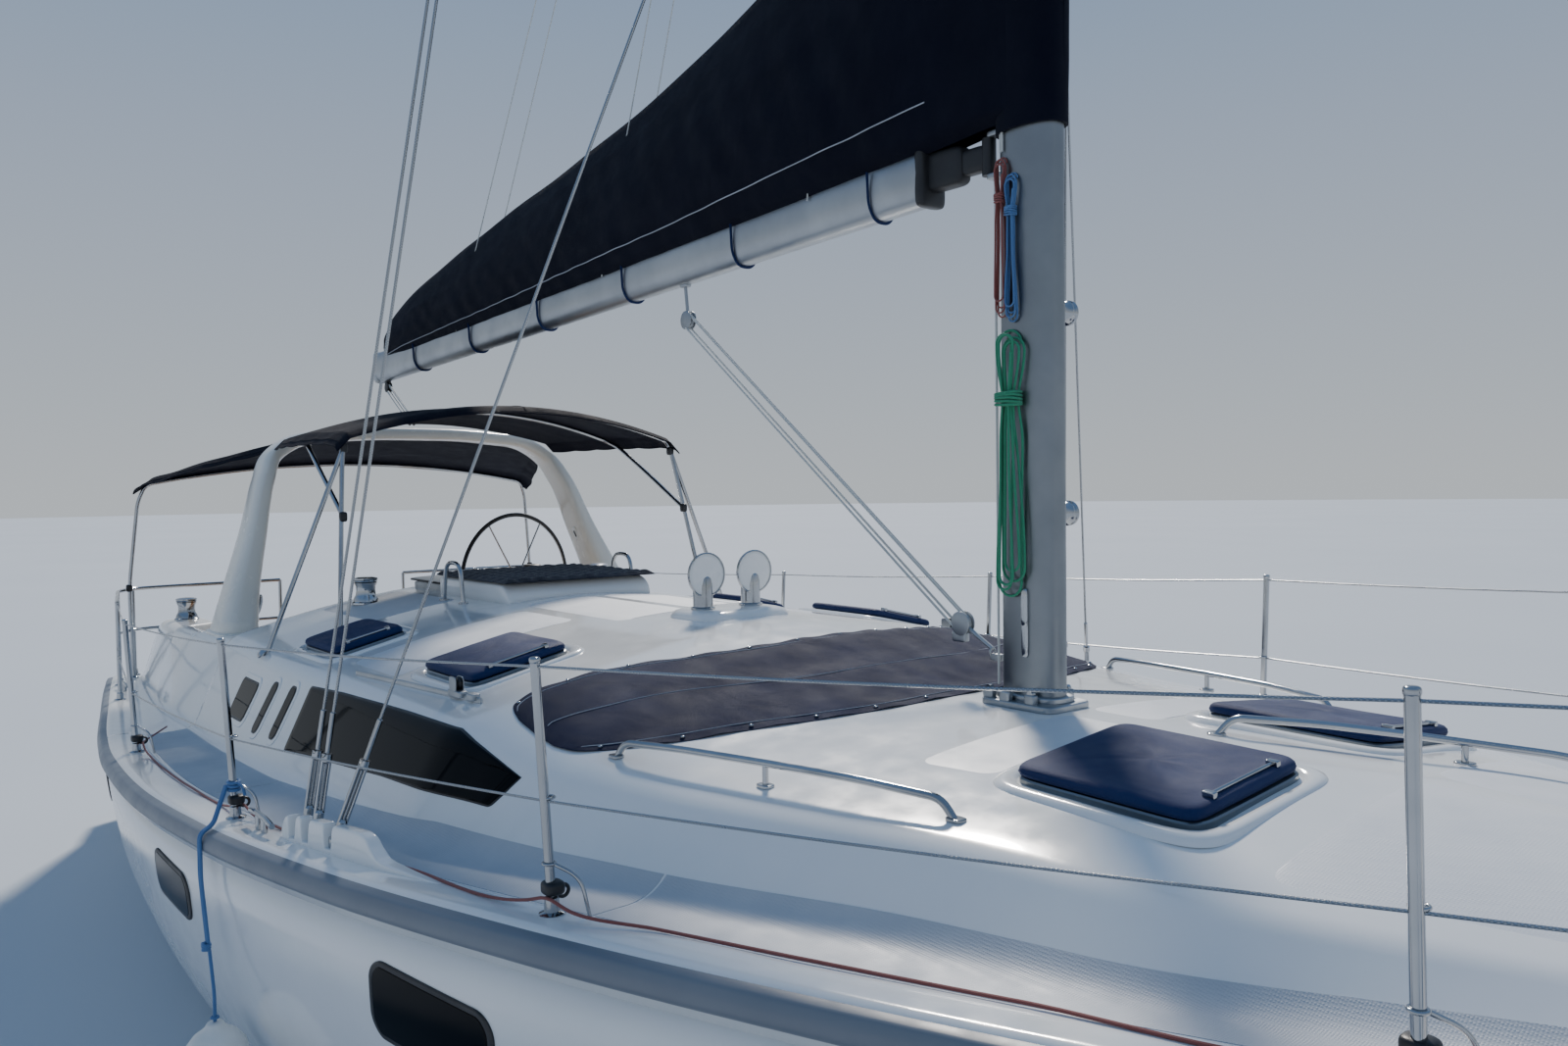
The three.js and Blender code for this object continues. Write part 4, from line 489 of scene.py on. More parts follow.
# name: base, second colour, roughness, its swing, pattern, its size in mm, depth in mm, shader inputs
FINISHES = {
    # polished gelcoat out of a mould: hard clear gloss, with faint chalking
    "white_gelcoat": ("white", "F0F1EF", 0.16, 0.06, None, 40, 0.15,
                      {"Coat Weight": 0.6, "Coat Roughness": 0.06, "IOR": 1.5}),
    # the same gelcoat inside the cockpit and on the arch, a shade warmer
    "warm_gelcoat": ("cream", "E6E2D6", 0.24, 0.06, None, 40, 0.15,
                     {"Coat Weight": 0.4, "Coat Roughness": 0.1, "IOR": 1.5}),
    # moulded non-slip in white gelcoat: dull beside the gloss round it
    "white_nonslip": ("nonslip", "D4D8DC", 0.5, 0.08, studs, 7, 0.35, RESIN),
    # woven-look vinyl deck covering, blue grey; its 6 mm cells are drawn as they are
    "grey_deck_covering": ("deck_grey", "B1B7BE", 0.55, 0.1, studs, 6, 0.8, RESIN),
    # extruded vinyl rubbing band, matt and slightly weathered
    "grey_vinyl": ("band_grey", "6F767F", 0.42, 0.08, brushed, 20, 0.2, RESIN),
    # cast smoked acrylic: black with a sharp reflection
    "cast_acrylic": ("smoke", "0A0D11", 0.04, 0.02, None, 200, 0.1,
                     {"IOR": 1.49, "Specular IOR Level": 0.06}),
    # solution-dyed acrylic canvas, woven; threads drawn at 2 mm so that they show
    "fitted_canvas": ("navy", "243765", 0.62, 0.1, creases, 2, 1.2,
                      {"Sheen Weight": 0.05, "Sheen Roughness": 0.4, "Specular IOR Level": 0.2}),
    # heavier canvas of the sail cover and the biminis, nearly black: navy canvas darkened with painted shade
    # for the cover's shaded side and the biminis' undersides
    "canvas_with_painted_shade": ("dark_navy", "0C1022", 0.8, 0.08, creases, 2, 1.6,
                    {"Sheen Weight": 0.03, "Sheen Roughness": 0.45, "Specular IOR Level": 0.12}),
    # the windscreen's canvas: the navy made lighter and bluer than the other canvas, which paints in the
    # sheen and sunlight on its sloping face and offsets the warm key light
    "canvas_with_painted_sheen": ("navy_with_painted_sheen", "112046", 0.75, 0.08, creases, 2, 1.6,
                     {"Sheen Weight": 0.03, "Sheen Roughness": 0.45, "Specular IOR Level": 0.12}),
    # quilted padding over the hood
    "quilted_canvas": ("dark_navy", "222638", 0.88, 0.08, creases, 3, 1.5,
                       {"Sheen Weight": 0.3, "Sheen Roughness": 0.45, "Specular IOR Level": 0.2}),
    # piping and thread in a pale tone against the canvas
    "pale_piping": ("piping", "9AA0A8", 0.7, 0.1, braid, 3, 0.2, {"IOR": 1.45}),
    # marine stainless, bright polished tube
    "polished_stainless": ("steel", "959799", 0.14, 0.06, brushed, 2, 0.03, METAL),
    # laid wire: the strands' twist shows as slanting lines
    "stranded_wire": ("steel", "8E9295", 0.28, 0.08, braid, 5, 0.3, METAL),
    # clear anodised extrusion with die lines along the spar
    "anodised_aluminium": ("mast_alloy", "7C8185", 0.4, 0.08, brushed, 4, 0.05, METAL),
    # the boom is newer than the mast, and brighter
    "anodised_boom": ("alloy", "9FA3A7", 0.4, 0.08, brushed, 4, 0.05, METAL),
    # blocks, feet and brackets cast in alloy: duller than the extrusions
    "cast_alloy": ("alloy", "85898D", 0.45, 0.1, None, 3, 0.2, METAL),
    # glass-filled nylon fittings: matt black
    "black_nylon": ("black", "26272A", 0.45, 0.1, None, 2, 0.2, {"IOR": 1.53}),
    # black leather sewn on the wheel rim
    "wheel_leather": ("black", "2B2826", 0.55, 0.1, None, 3, 0.3, RESIN),
    # white plastic facing of the vents
    "white_plastic": ("white", "F1F2F0", 0.3, 0.05, None, 30, 0.1, {"IOR": 1.46}),
    # antifouling paint: soft, dull and mottled by water
    "antifouling": ("antifoul", "2C4258", 0.75, 0.1, None, 12, 0.6, RESIN),
    # bronze that has dulled in sea water
    "aged_bronze": ("bronze", "6F5A34", 0.38, 0.12, None, 8, 0.2, METAL),
    # oiled teak planks, caulked at 50 mm
    "teak_planks": ("teak", "7A5433", 0.6, 0.1, planks, 50, 1.0, RESIN),
    # inflated vinyl with scuffs
    "fender_vinyl": ("white", "D9D8CF", 0.38, 0.12, None, 30, 0.4, RESIN),
    # furled headsail and its strip: woven polyester, creased where it is rolled
    "white_sailcloth": ("sail", "E4E2DA", 0.6, 0.08, creases, 3, 0.8, RESIN),
    # braided polyester ropes, 3 mm strands
    "blue_rope": ("rope_blue", "5F86B4", 0.75, 0.1, braid, 3, 0.8, ROPE),
    "green_rope": ("rope_green", "1C7A56", 0.75, 0.1, braid, 3, 0.8, ROPE),
    "red_rope": ("rope_red", "7A5A54", 0.75, 0.1, braid, 3, 0.8, ROPE),
    "white_rope": ("rope_white", "B9BCB8", 0.75, 0.1, braid, 3, 0.8, ROPE),
}
ROPES = ("blue_rope", "green_rope", "red_rope", "white_rope")
# The second colour of ropes and wires is the fleck between their strands
FLECKED = (*ROPES, "stranded_wire")
# How the pattern is drawn out along a part
STRETCH = {"grey_vinyl": (0.15, 1, 1), "polished_stainless": (0.1, 1, 1),
           "anodised_aluminium": (1, 1, 0.02), "anodised_boom": (0.02, 1, 1)}
# The slot of each finish that isn't the gelcoat's
SLOT_OF = {"warm_gelcoat": "cream_gelcoat", "grey_vinyl": "band", "cast_acrylic": "smoked_acrylic",
           **dict.fromkeys(("fitted_canvas", "canvas_with_painted_shade", "canvas_with_painted_sheen", "quilted_canvas", "pale_piping"),
                           "navy_canvas"),
           **dict.fromkeys(("polished_stainless", "stranded_wire"), "stainless"),
           **dict.fromkeys(("anodised_aluminium", "anodised_boom", "cast_alloy"), "anodised_alloy"),
           **dict.fromkeys(("black_nylon", "wheel_leather"), "black_plastic"), **dict.fromkeys(ROPES, "rope")}


def finish(name):
    """The material of that name. Two tones drift over about 0.4 m, a finer noise swings the gloss,
    and the pattern's height gives the bump. Cloth and cord patterns follow the mesh's own texture places."""
    made = bpy.data.materials.get(name)
    if made:
        return made
    base, second, rough, swing, pattern, size, depth, sockets = FINISHES[name]
    material = bpy.data.materials.new(name)
    material.use_nodes = True
    tree = material.node_tree
    tree.nodes.clear()
    shader = add(tree, "ShaderNodeBsdfPrincipled", sockets)
    add(tree, "ShaderNodeOutputMaterial", {}, {"Surface": shader.outputs[0]})
    source = add(tree, "ShaderNodeTexCoord").outputs["UV" if pattern in (creases, braid) else "Object"]
    place = add(tree, "ShaderNodeMapping", {"Scale": STRETCH.get(name, (1, 1, 1))},
                {"Vector": source}).outputs[0]
    height = (pattern or speckle)(tree, place, size)
    drift = add(tree, "ShaderNodeTexNoise", {"Scale": 2.4, "Detail": 4.0, "Roughness": 0.6},
                {"Vector": source})
    tone = add(tree, "ShaderNodeMapRange", {"From Min": 0.38, "From Max": 0.68, "To Max": 0.75},
               {"Value": height if name in FLECKED or pattern is planks else drift.outputs[0]})
    if pattern is planks:
        tone.inputs["From Min"].default_value, tone.inputs["From Max"].default_value = 1.0, 0.0
    mix = add(tree, "ShaderNodeMix", {6: (*getattr(bpy.context.scene.yacht_colours, base), 1),
                                      7: linear(second)}, {0: tone.outputs[0]}, data_type="RGBA")
    gloss = add(tree, "ShaderNodeTexNoise", {"Scale": 9.0, "Detail": 5.0}, {"Vector": source})
    swung = add(tree, "ShaderNodeMapRange",
                {"From Min": 0.3, "From Max": 0.7, "To Min": max(0.02, rough - swing),
                 "To Max": rough + swing}, {"Value": gloss.outputs[0]})
    bump = add(tree, "ShaderNodeBump", {"Strength": 0.6, "Distance": depth * MM}, {"Height": height})
    tree.links.new(mix.outputs[2], shader.inputs["Base Color"])
    tree.links.new(swung.outputs[0], shader.inputs["Roughness"])
    tree.links.new(bump.outputs[0], shader.inputs["Normal"])
    return material


def colour(name, code, note):
    """Colour property with an sRGB hex default."""
    return bpy.props.FloatVectorProperty(name=name, description=note, default=linear(code)[:3],
                                         subtype="COLOR", min=0, max=1)


class YachtColours(bpy.types.PropertyGroup):
    """Colours of the boat's finishes"""
    white: colour("White", "F6F6F3", "Gelcoat of the hull, the deck and the white plastics")
    cream: colour("Cream", "EFEBDF", "Gelcoat of the cockpit and the arch")
    deck_grey: colour("Deck grey", "C2C6CB", "Non-slip covering of the side decks")
    band_grey: colour("Band grey", "7B8189", "Rubbing band")
    smoke: colour("Smoke", "050709", "Smoked acrylic of windows and slide")
    navy: colour("Navy", "1A2B56", "Canvas of the biminis and the hatch covers")
    # Navy darkened with painted shade, for the sail cover's shaded side and the biminis' undersides; the
    # hood's quilt uses it as its base as well
    dark_navy: colour("Dark navy", "070A1C", "Canvas of the sail cover")
    # Windscreen navy, lighter and bluer than the other navies: painted sheen and sunlight for the cover's
    # sloping face
    navy_with_painted_sheen: colour("Navy with painted sheen", "0B1636", "Canvas of the windscreen cover")
    piping: colour("Piping", "B6BBC4", "Piping along the canvas edges")
    steel: colour("Steel", "BCBEC0", "Stainless tube and wire")
    alloy: colour("Alloy", "B4B8BB", "Boom, castings and frames")
    mast_alloy: colour("Mast alloy", "8E9397", "Mast and spreaders")
    nonslip: colour("Non-slip", "DCDFE2", "Moulded non-slip of the coachroof")
    black: colour("Black", "131315", "Black plastic and leather")
    antifoul: colour("Antifouling", "1F3146", "Paint below the waterline")
    bronze: colour("Bronze", "9A7B45", "Propeller and strut")
    teak: colour("Teak", "9A6F48", "Planks of the platform and the sole")
    sail: colour("Sailcloth", "F1EFE8", "Furled headsail")
    rope_blue: colour("Blue rope", "2E67A0", "Fender line and blue tails")
    rope_green: colour("Green rope", "2FA67C", "Green halyard tail")
    rope_red: colour("Red rope", "A23A33", "Furling line")
    rope_white: colour("White rope", "E3E4DF", "White halyard tail, sheet and vang")


def size(name, value, note):
    """Length property with a default in millimetres."""
    return bpy.props.FloatProperty(name=name, description=note, default=value * MM, unit="LENGTH",
                                   subtype="DISTANCE", precision=4)


class YachtSizes(bpy.types.PropertyGroup):
    """Sizes of fittings that the frame doesn't settle"""
    rail: size("Rail tube", 12.5, "Radius of the stainless rails")
    wire: size("Shroud wire", 5, "Radius of the standing rigging")
    guard: size("Guard wire", 3.5, "Radius of the guard rails")
    piping: size("Piping", 4, "Radius of the piping round the canvas")
    stud: size("Press stud", 8, "Radius of the canvas press studs")
    deck_wall: size("Deck wall", 25, "Thickness of the deck moulding")
    hull_wall: size("Hull wall", 50, "Thickness of the hull")


def sizes():
    """The sizes as the scene holds them."""
    return bpy.context.scene.yacht_sizes


# The boat's own surfaces

def hull_stations(fore=HULL[-1, 0], aft=COCKPIT_END, count=150):
    """Stations from aft to the stem, closing round it."""
    nose = fore + NOSE * np.sin(np.linspace(0, np.pi / 2, 7)[1:])
    return np.concatenate([np.linspace(aft, fore, count), nose])


def deck_half(x):
    """Half profile from the joint over the gunwale, side deck and coachroof side to the centreline."""
    b, low = beam(x), sheer(x)
    m, top = narrow(b), low + RAIL
    foot, shoulder, edge = (col(TRUNK, i, x) for i in (1, 2, 3))
    share = np.linspace(0.9, 0, 46)
    corners = [(b, low + 0.3), (b, top), (b - CAP * m, top), (b - GUTTER * m, top - OUTER_FALL * m),
               (foot, top - INNER_FALL), (shoulder, edge), (0.9 * shoulder, roof(x, 0.9 * shoulder))]
    corners = np.stack([np.stack(np.broadcast_arrays(*c), -1) for c in corners], 1)
    side = soften(corners, [42, 34, 26, 70, 80], 6)
    y = share * shoulder[:, None]
    top_part = np.stack([y, roof(x[:, None], y)], -1)
    return np.concatenate([side[:, :-1], top_part], 1)


def mirrored(half, x):
    """Whole section from port to starboard out of a half profile, placed in the boat."""
    y = np.concatenate([half[..., 0], -half[:, -2::-1, 0]], 1)
    z = np.concatenate([half[..., 1], half[:, -2::-1, 1]], 1)
    return lean_back(x[:, None], y, z)


def roof_plane(x, y):
    """Point on the coachroof and the directions along, across and square to it there."""
    d = 120
    sx = float(roof(x + d, y) - roof(x - d, y)) / (2 * d)
    sy = float(roof(x, y + d) - roof(x, y - d)) / (2 * d)
    along = np.array([1, 0, sx]) / math.hypot(1, sx)
    up = np.array([-sx, -sy, 1]) / math.sqrt(1 + sx * sx + sy * sy)
    return np.array(on_roof(x, y)), np.stack([along, np.cross(up, along), up])


def rim(at, axes, half, section, square=0.22, count=64, drape=None):
    """Rounded rectangle carried through a section of (scale, grow, height): each section point gives one
    outline, half times scale plus grow, at its height. drape moves the points afterwards."""
    a = full_turn(count)[:, None]
    s = np.asarray(section, float)
    p = np.stack([(half[0] * s[:, 0] + s[:, 1]) * power(np.cos(a), square),
                  (half[1] * s[:, 0] + s[:, 1]) * power(np.sin(a), square), s[:, 2] + 0 * a], -1)
    if drape is not None:
        p = drape(p)
    return sheet((p @ axes + at) * MM)


def patch(x0, x1, low, high, height, corner=60.0, lift=1.5, rows=70, cols=12, sink=3.0):
    """Thin raised panel on a surface, with round corners, and its mirror. Its edge lines low and high
    are distances from the centreline, or functions of x."""
    x = (x0 + x1) / 2 - (x1 - x0) / 2 * np.cos(np.linspace(0, np.pi, rows))
    d = np.clip(np.minimum(x - x0, x1 - x), 0, corner)
    pull = pulled(corner, d)
    v = np.linspace(0, 1, cols)[None]
    inner, outer = (line(x) if callable(line) else line for line in (low, high))
    y = (inner + pull)[:, None] * (1 - v) + (outer - pull)[:, None] * v
    xx = x[:, None] + 0 * y
    out = []
    for s in (-1, 1):
        z = height(xx, y)
        edge = np.maximum(np.abs(v - 0.5) * 2 - 0.9, 0) * 10
        out.append(slab(lean_back(xx, s * y, z - sink), lean_back(xx, s * y, z + lift * (1 - edge))))
    return out


def side_point(x, share, sign, out):
    """Point on the coachroof's side at a share of its height, on the deck's own section there,
    moved out square to it."""
    x, share = np.broadcast_arrays(x, share)
    deck = sheer(x) + RAIL - INNER_FALL
    z = deck + (col(TRUNK, 3, x) - deck) * share
    line = deck_half(x.ravel())[:, 20:42]
    k = np.clip((line[..., 1] < z.reshape(-1, 1)).sum(1), 1, line.shape[1] - 1)
    rows = np.arange(len(line))
    low, high = line[rows, k - 1], line[rows, k]
    step = high - low
    y = low[:, 0] + step[:, 0] * (z.ravel() - low[:, 1]) / step[:, 1]
    long = np.hypot(step[:, 0], step[:, 1])
    out = np.broadcast_to(out, x.shape).ravel()
    y, up = (v.reshape(x.shape) for v in (y + out * step[:, 1] / long, -out * step[:, 0] / long))
    return grid(x, sign * y, z + up)


def waves(x, y, seed, scale):
    """Seeded sum of sines of different wavelengths and directions, about -1 to 1."""
    rng = np.random.default_rng(seed)
    total = 0
    for _ in range(7):
        a, f, p = rng.uniform(0, np.pi), rng.uniform(0.6, 2.6) / scale, rng.uniform(0, 6.3)
        total = total + np.sin((x * math.cos(a) + y * math.sin(a)) * f + p)
    return total / 4


def in_hatch(p):
    """Which face centres lie inside a hatch's opening or the companionway."""
    x, y = p[:, 0] / MM, p[:, 1] / MM
    gone = (x < SLIDE_FORE) & (np.abs(y) < SLIDE_HALF)
    for hx, hy, length, width in (*HATCHES.values(), LOCKER):
        for s in (-1, 1):
            gone |= (np.abs(x - hx) < length / 2 - LAP) & (np.abs(y - s * hy) < width / 2 - LAP)
    return gone & (p[:, 2] / MM > SIDE_DECK)


def upwards(centre):
    """The way up, for open surfaces that are looked at from above."""
    return Vector((0, 0, 1))


def outboard(centre):
    """Away from a line along the middle of the hull."""
    return Vector((0, centre.y, centre.z - 0.9))


class YACHT_OT_stage(bpy.types.Operator):
    """Make the camera, the soft lights, the pale floor and the backdrop"""
    bl_idname = "yacht.stage"
    bl_label = "Stage and camera"

    def execute(self, context):
        scene = bpy.context.scene
        yaw, pitch, roll = (math.radians(a) for a in AIM)
        forward = np.array([math.cos(yaw) * math.cos(pitch), math.sin(yaw) * math.cos(pitch),
                            math.sin(pitch)])
        right = np.array([math.sin(yaw), -math.cos(yaw), 0])
        up = np.cross(right, forward)
        sideways = right * math.cos(roll) + up * math.sin(roll)
        upright = -right * math.sin(roll) + up * math.cos(roll)
        camera = bpy.data.objects.new("camera", bpy.data.cameras.new("camera"))
        turn = np.eye(4)
        turn[:3] = np.stack([sideways, upright, -forward, CAMERA], 1)
        camera.matrix_world = Matrix(turn.tolist())
        camera.data.lens, camera.data.sensor_width = FOCAL * SENSOR / PHOTO_WIDE, SENSOR
        camera.data.clip_end = 300
        scene.collection.objects.link(camera)
        scene.camera = camera

        world = bpy.data.worlds.new("soft sky")
        world.use_nodes = True
        tree, scene.world = world.node_tree, world
        way = add(tree, "ShaderNodeSeparateXYZ", {},
                  {0: add(tree, "ShaderNodeTexCoord").outputs["Generated"]})
        height = add(tree, "ShaderNodeMapRange", {"From Min": 0.0, "From Max": 0.55},
                     {"Value": way.outputs["Z"]})
        sky = add(tree, "ShaderNodeMix", {6: linear("DDE4EA"), 7: linear("7FA3D2")}, {0: height.outputs[0]},
                  data_type="RGBA")
        tree.links.new(sky.outputs[2], tree.nodes["Background"].inputs["Color"])
        tree.nodes["Background"].inputs["Strength"].default_value = 0.75
        sun = bpy.data.objects.new("key light", bpy.data.lights.new("key light", "SUN"))
        sun.data.energy, sun.data.angle, sun.data.color = 4.2, math.radians(8), (1.0, 0.94, 0.86)
        sun.rotation_euler = Vector((-0.55, 0.45, 0.6)).to_track_quat("Z", "Y").to_euler()
        scene.collection.objects.link(sun)

        # round floor in the plane of the waterline
        r, a = np.linspace(0, 140, 30)[:, None], full_turn(96)[None]
        p = np.stack([r * np.cos(a), r * np.sin(a), 0 * r * a], -1)
        floor = bpy.data.materials.new("pale_matt_paper")
        floor.use_nodes = True
        tree = floor.node_tree
        shader = tree.nodes["Principled BSDF"]
        shader.inputs["Roughness"].default_value = 0.9
        place = add(tree, "ShaderNodeTexCoord").outputs["Object"]
        cloud = add(tree, "ShaderNodeTexNoise", {"Scale": 0.15}, {"Vector": place})
        tone = add(tree, "ShaderNodeMix", {6: linear("BEC5CC"), 7: linear("C8CED4")},
                   {0: cloud.outputs[0]}, data_type="RGBA")
        tree.links.new(tone.outputs[2], shader.inputs["Base Color"])
        mesh = bpy.data.meshes.new("floor")
        verts, faces, _ = sheet(p)
        mesh.from_pydata(verts.tolist(), [], faces[0].tolist())
        mesh.materials.append(floor)
        mesh.polygons.foreach_set("use_smooth", np.ones(len(mesh.polygons), bool))
        piece = bpy.data.objects.new("floor", mesh)
        scene.collection.objects.link(piece)
        return {"FINISHED"}


class YACHT_OT_hull(bpy.types.Operator):
    """Make the hull's skin, its stern block with steps, the platform's planks and the hull ports"""
    bl_idname = "yacht.hull"
    bl_label = "Hull"

    def execute(self, context):
        x = hull_stations()
        t = np.linspace(0, 1, 30) ** 0.9
        x3, y, z = hull_skin(x[:, None], t[None])
        y = np.concatenate([-y[:, ::-1], y], 1)
        z = np.concatenate([z[:, ::-1], z], 1)
        shell = put("hull_skin", [sheet(lean_back(x3, y, z))], "white_gelcoat", facing=outboard)
        thicken(shell, sizes().hull_wall / MM)

        # stern block: the skin below and a top that steps down to the platform
        x = np.unique(np.concatenate([np.linspace(-6200, -5402, 26),
                                      [-5760, STEP_AFT - 1, STEP_AFT, STEP_FORE - 1, STEP_FORE]]))
        t = np.linspace(0, 1, 24)
        x3, y, z = hull_skin(x[:, None], t[None])
        low = lean_back(x3, np.concatenate([-y[:, ::-1], y], 1), np.concatenate([z[:, ::-1], z], 1))
        edge = y[:, -1:]
        side = GATE + 1 + (edge - GATE - 1) * np.linspace(0, 1, 20)[None]
        middle = np.linspace(-GATE, GATE, 8)[None] + 0 * edge
        ys = np.concatenate([-side[:, ::-1], middle, side], 1)
        slope = sheer(x)[:, None] + 0 * ys
        steps = np.where(x >= STEP_FORE, SOLE, np.where(x >= STEP_AFT, STEP, 1e4))[:, None]
        zs = np.where(np.abs(ys) <= GATE, np.minimum(slope, steps), slope)
        block = put("stern_block", [slab(low, lean_back(x[:, None], ys, zs))], "white_gelcoat", sharp=30)
        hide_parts("hull")
        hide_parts("hull")
        planks = patch(-6150, -5800, 12, 1320, lambda x, y: PLATFORM + 0 * x, 70, 6)
        put("platform_planks", planks, "teak_planks")

        # ports in the topsides: a black frame round smoked acrylic, on the skin's own surface
        frames, panes = [], []
        u, v = eased(60)[:, None], eased(40)[None]
        edge = from_edge(u, v)
        for x0, x1, z0, z1 in PORTS:
            for grow, out, corner, into in ((14, 7, 74, frames), (0, 8.5, 60, panes)):
                wide, high = (x1 - x0) / 2 + grow, (z1 - z0) / 2 + grow
                dz = high * (2 * v - 1)
                near = np.clip(high - np.abs(dz), 0, corner)
                reach = wide - corner + np.sqrt(np.maximum(corner ** 2 - (corner - near) ** 2, 0))
                dx = reach * (2 * u - 1)
                px, pz = (x0 + x1) / 2 + dx + 0.18 * dz, (z0 + z1) / 2 + dz - 0.05 * dx
                py = hull_side(px, pz)
                for s in (-1, 1):
                    into.append(slab(grid(px, s * (py - 4), pz),
                                     grid(px, s * (py + out - 3 * (1 - edge)), pz)))
        put("port_frames", frames, "black_nylon")
        put("port_panes", panes, "cast_acrylic")
        return {"FINISHED"}


# Ports in the topsides: from x, to x, from z, to z
PORTS = [(775, 1285, 935, 1150), (-1115, -685, 890, 1056), (-3400, -2970, 850, 1000)]


def hull_side(x, z):
    """Half breadth of the hull at a height: the superellipse solved for its breadth."""
    top, low, full, half = sheer(x), col(HULL, 3, x), col(HULL, 4, x), beam(x)
    c = np.clip((top - z) / (top - low), 0, 1)
    sine = np.sqrt(np.maximum(1 - c ** full, 0))
    return half * sine ** (2 / full) - LEAN_IN * half / LEAN_BEAM * c


class YACHT_OT_deck(bpy.types.Operator):
    """Make the deck moulding with its gunwale, hatch frames, hood, runners and chainplate bulwarks"""
    bl_idname = "yacht.deck"
    bl_label = "Deck"

    def execute(self, context):
        x = hull_stations(aft=TRUNK_END, count=300)
        shell = put("deck_shell", [sheet(mirrored(deck_half(x), x))], "white_gelcoat", facing=upwards,
                    cut=in_hatch)
        thicken(shell, sizes().deck_wall / MM)
        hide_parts("deck")

        frames, recess = [], []
        for hx, hy, length, width in (*HATCHES.values(), LOCKER):
            for s in ((-1, 1) if hy else (1,)):
                at, axes = roof_plane(hx, s * hy)
                half = (length / 2, width / 2)
                frames.append(rim(at, axes, half, [(1, -35, -70), (1, 2, -40), (1, 12, -6), (1, 12, 9),
                                                   (1, 8, 13), (1, -31, 13), (1, -35, 9), (1, -35, -70)]))
                # soft raised border that the moulding has round each hatch
                recess.append(rim(at, axes, half, [(1, 20, -14), (1, 78, -14), (1, 70, 2), (1, 56, 8),
                                                   (1, 40, 7), (1, 26, -2), (1, 20, -14)], 0.3))
        put("hatch_frames", frames, "anodised_aluminium")
        put("hatch_borders", recess, "white_gelcoat", sharp=60)

        # upright plates with a notch round each chainplate, tapering forward into the gunwale
        bulwarks = []
        xs = np.linspace(0, 960, 400)
        rise = np.maximum(col(BULWARK, 1, xs), 0.5)
        for notch in CHAINPLATES:
            rise = rise - 76 / (1 + ((xs - notch) / 26) ** 14)
        a = np.linspace(0, np.pi, 30)[None]
        wide = 23 * np.interp(xs, [0, 40, 680, 960], [0.5, 1, 1, 0.35])[:, None]
        for s in (-1, 1):
            y = (beam(xs) - 122)[:, None] + wide * power(np.cos(a), 0.28)
            z = (sheer(xs) + RAIL - 9)[:, None] + (np.maximum(rise, 0) + 8)[:, None] * power(np.sin(a), 0.28)
            low = grid(xs[:, None], s * y, sheer(xs)[:, None] + RAIL - 11)
            bulwarks.append(slab(low, grid(xs[:, None], s * y, z)))
        put("chainplate_bulwarks", bulwarks, "white_gelcoat", sharp=60)

        # hood that the companionway's slide runs under, its fore end rounded down to the roof
        xs = np.concatenate([np.linspace(-2350, -1600, 30), np.linspace(-1595, -1478, 16)])
        full = np.sqrt(np.clip(1 - (np.maximum(xs + 1600, 0) / 122) ** 2.4, 0, 1))
        a = np.linspace(0, np.pi, 60)[None]
        y = 430 * power(np.cos(a), 0.16) * (0.97 + 0.03 * full)[:, None]
        base = roof(xs[:, None], y) - 12
        z = base + (1980 - base) * power(np.sin(a), 0.16) * full[:, None]
        hood = put("sea_hood", [sheet(grid(xs[:, None], y, z))], "white_gelcoat", facing=upwards, sharp=50)
        thicken(hood, 14)
        runners = [pad((-2240, s * 352, 1880), (676, 16, 34), (0.2, 0.2)) for s in (-1, 1)]
        put("slide_runners", runners, "anodised_aluminium")
        return {"FINISHED"}


# Height of the bulwark over the gunwale along x, and where the chainplates come up through it
BULWARK = np.array([
    [0, 0], [30, 42], [58, 74], [92, 85], [300, 89], [545, 92], [585, 84], [622, 52], [664, 26], [760, 14],
    [960, 0]], float)
CHAINPLATES = (110, 205, 360)


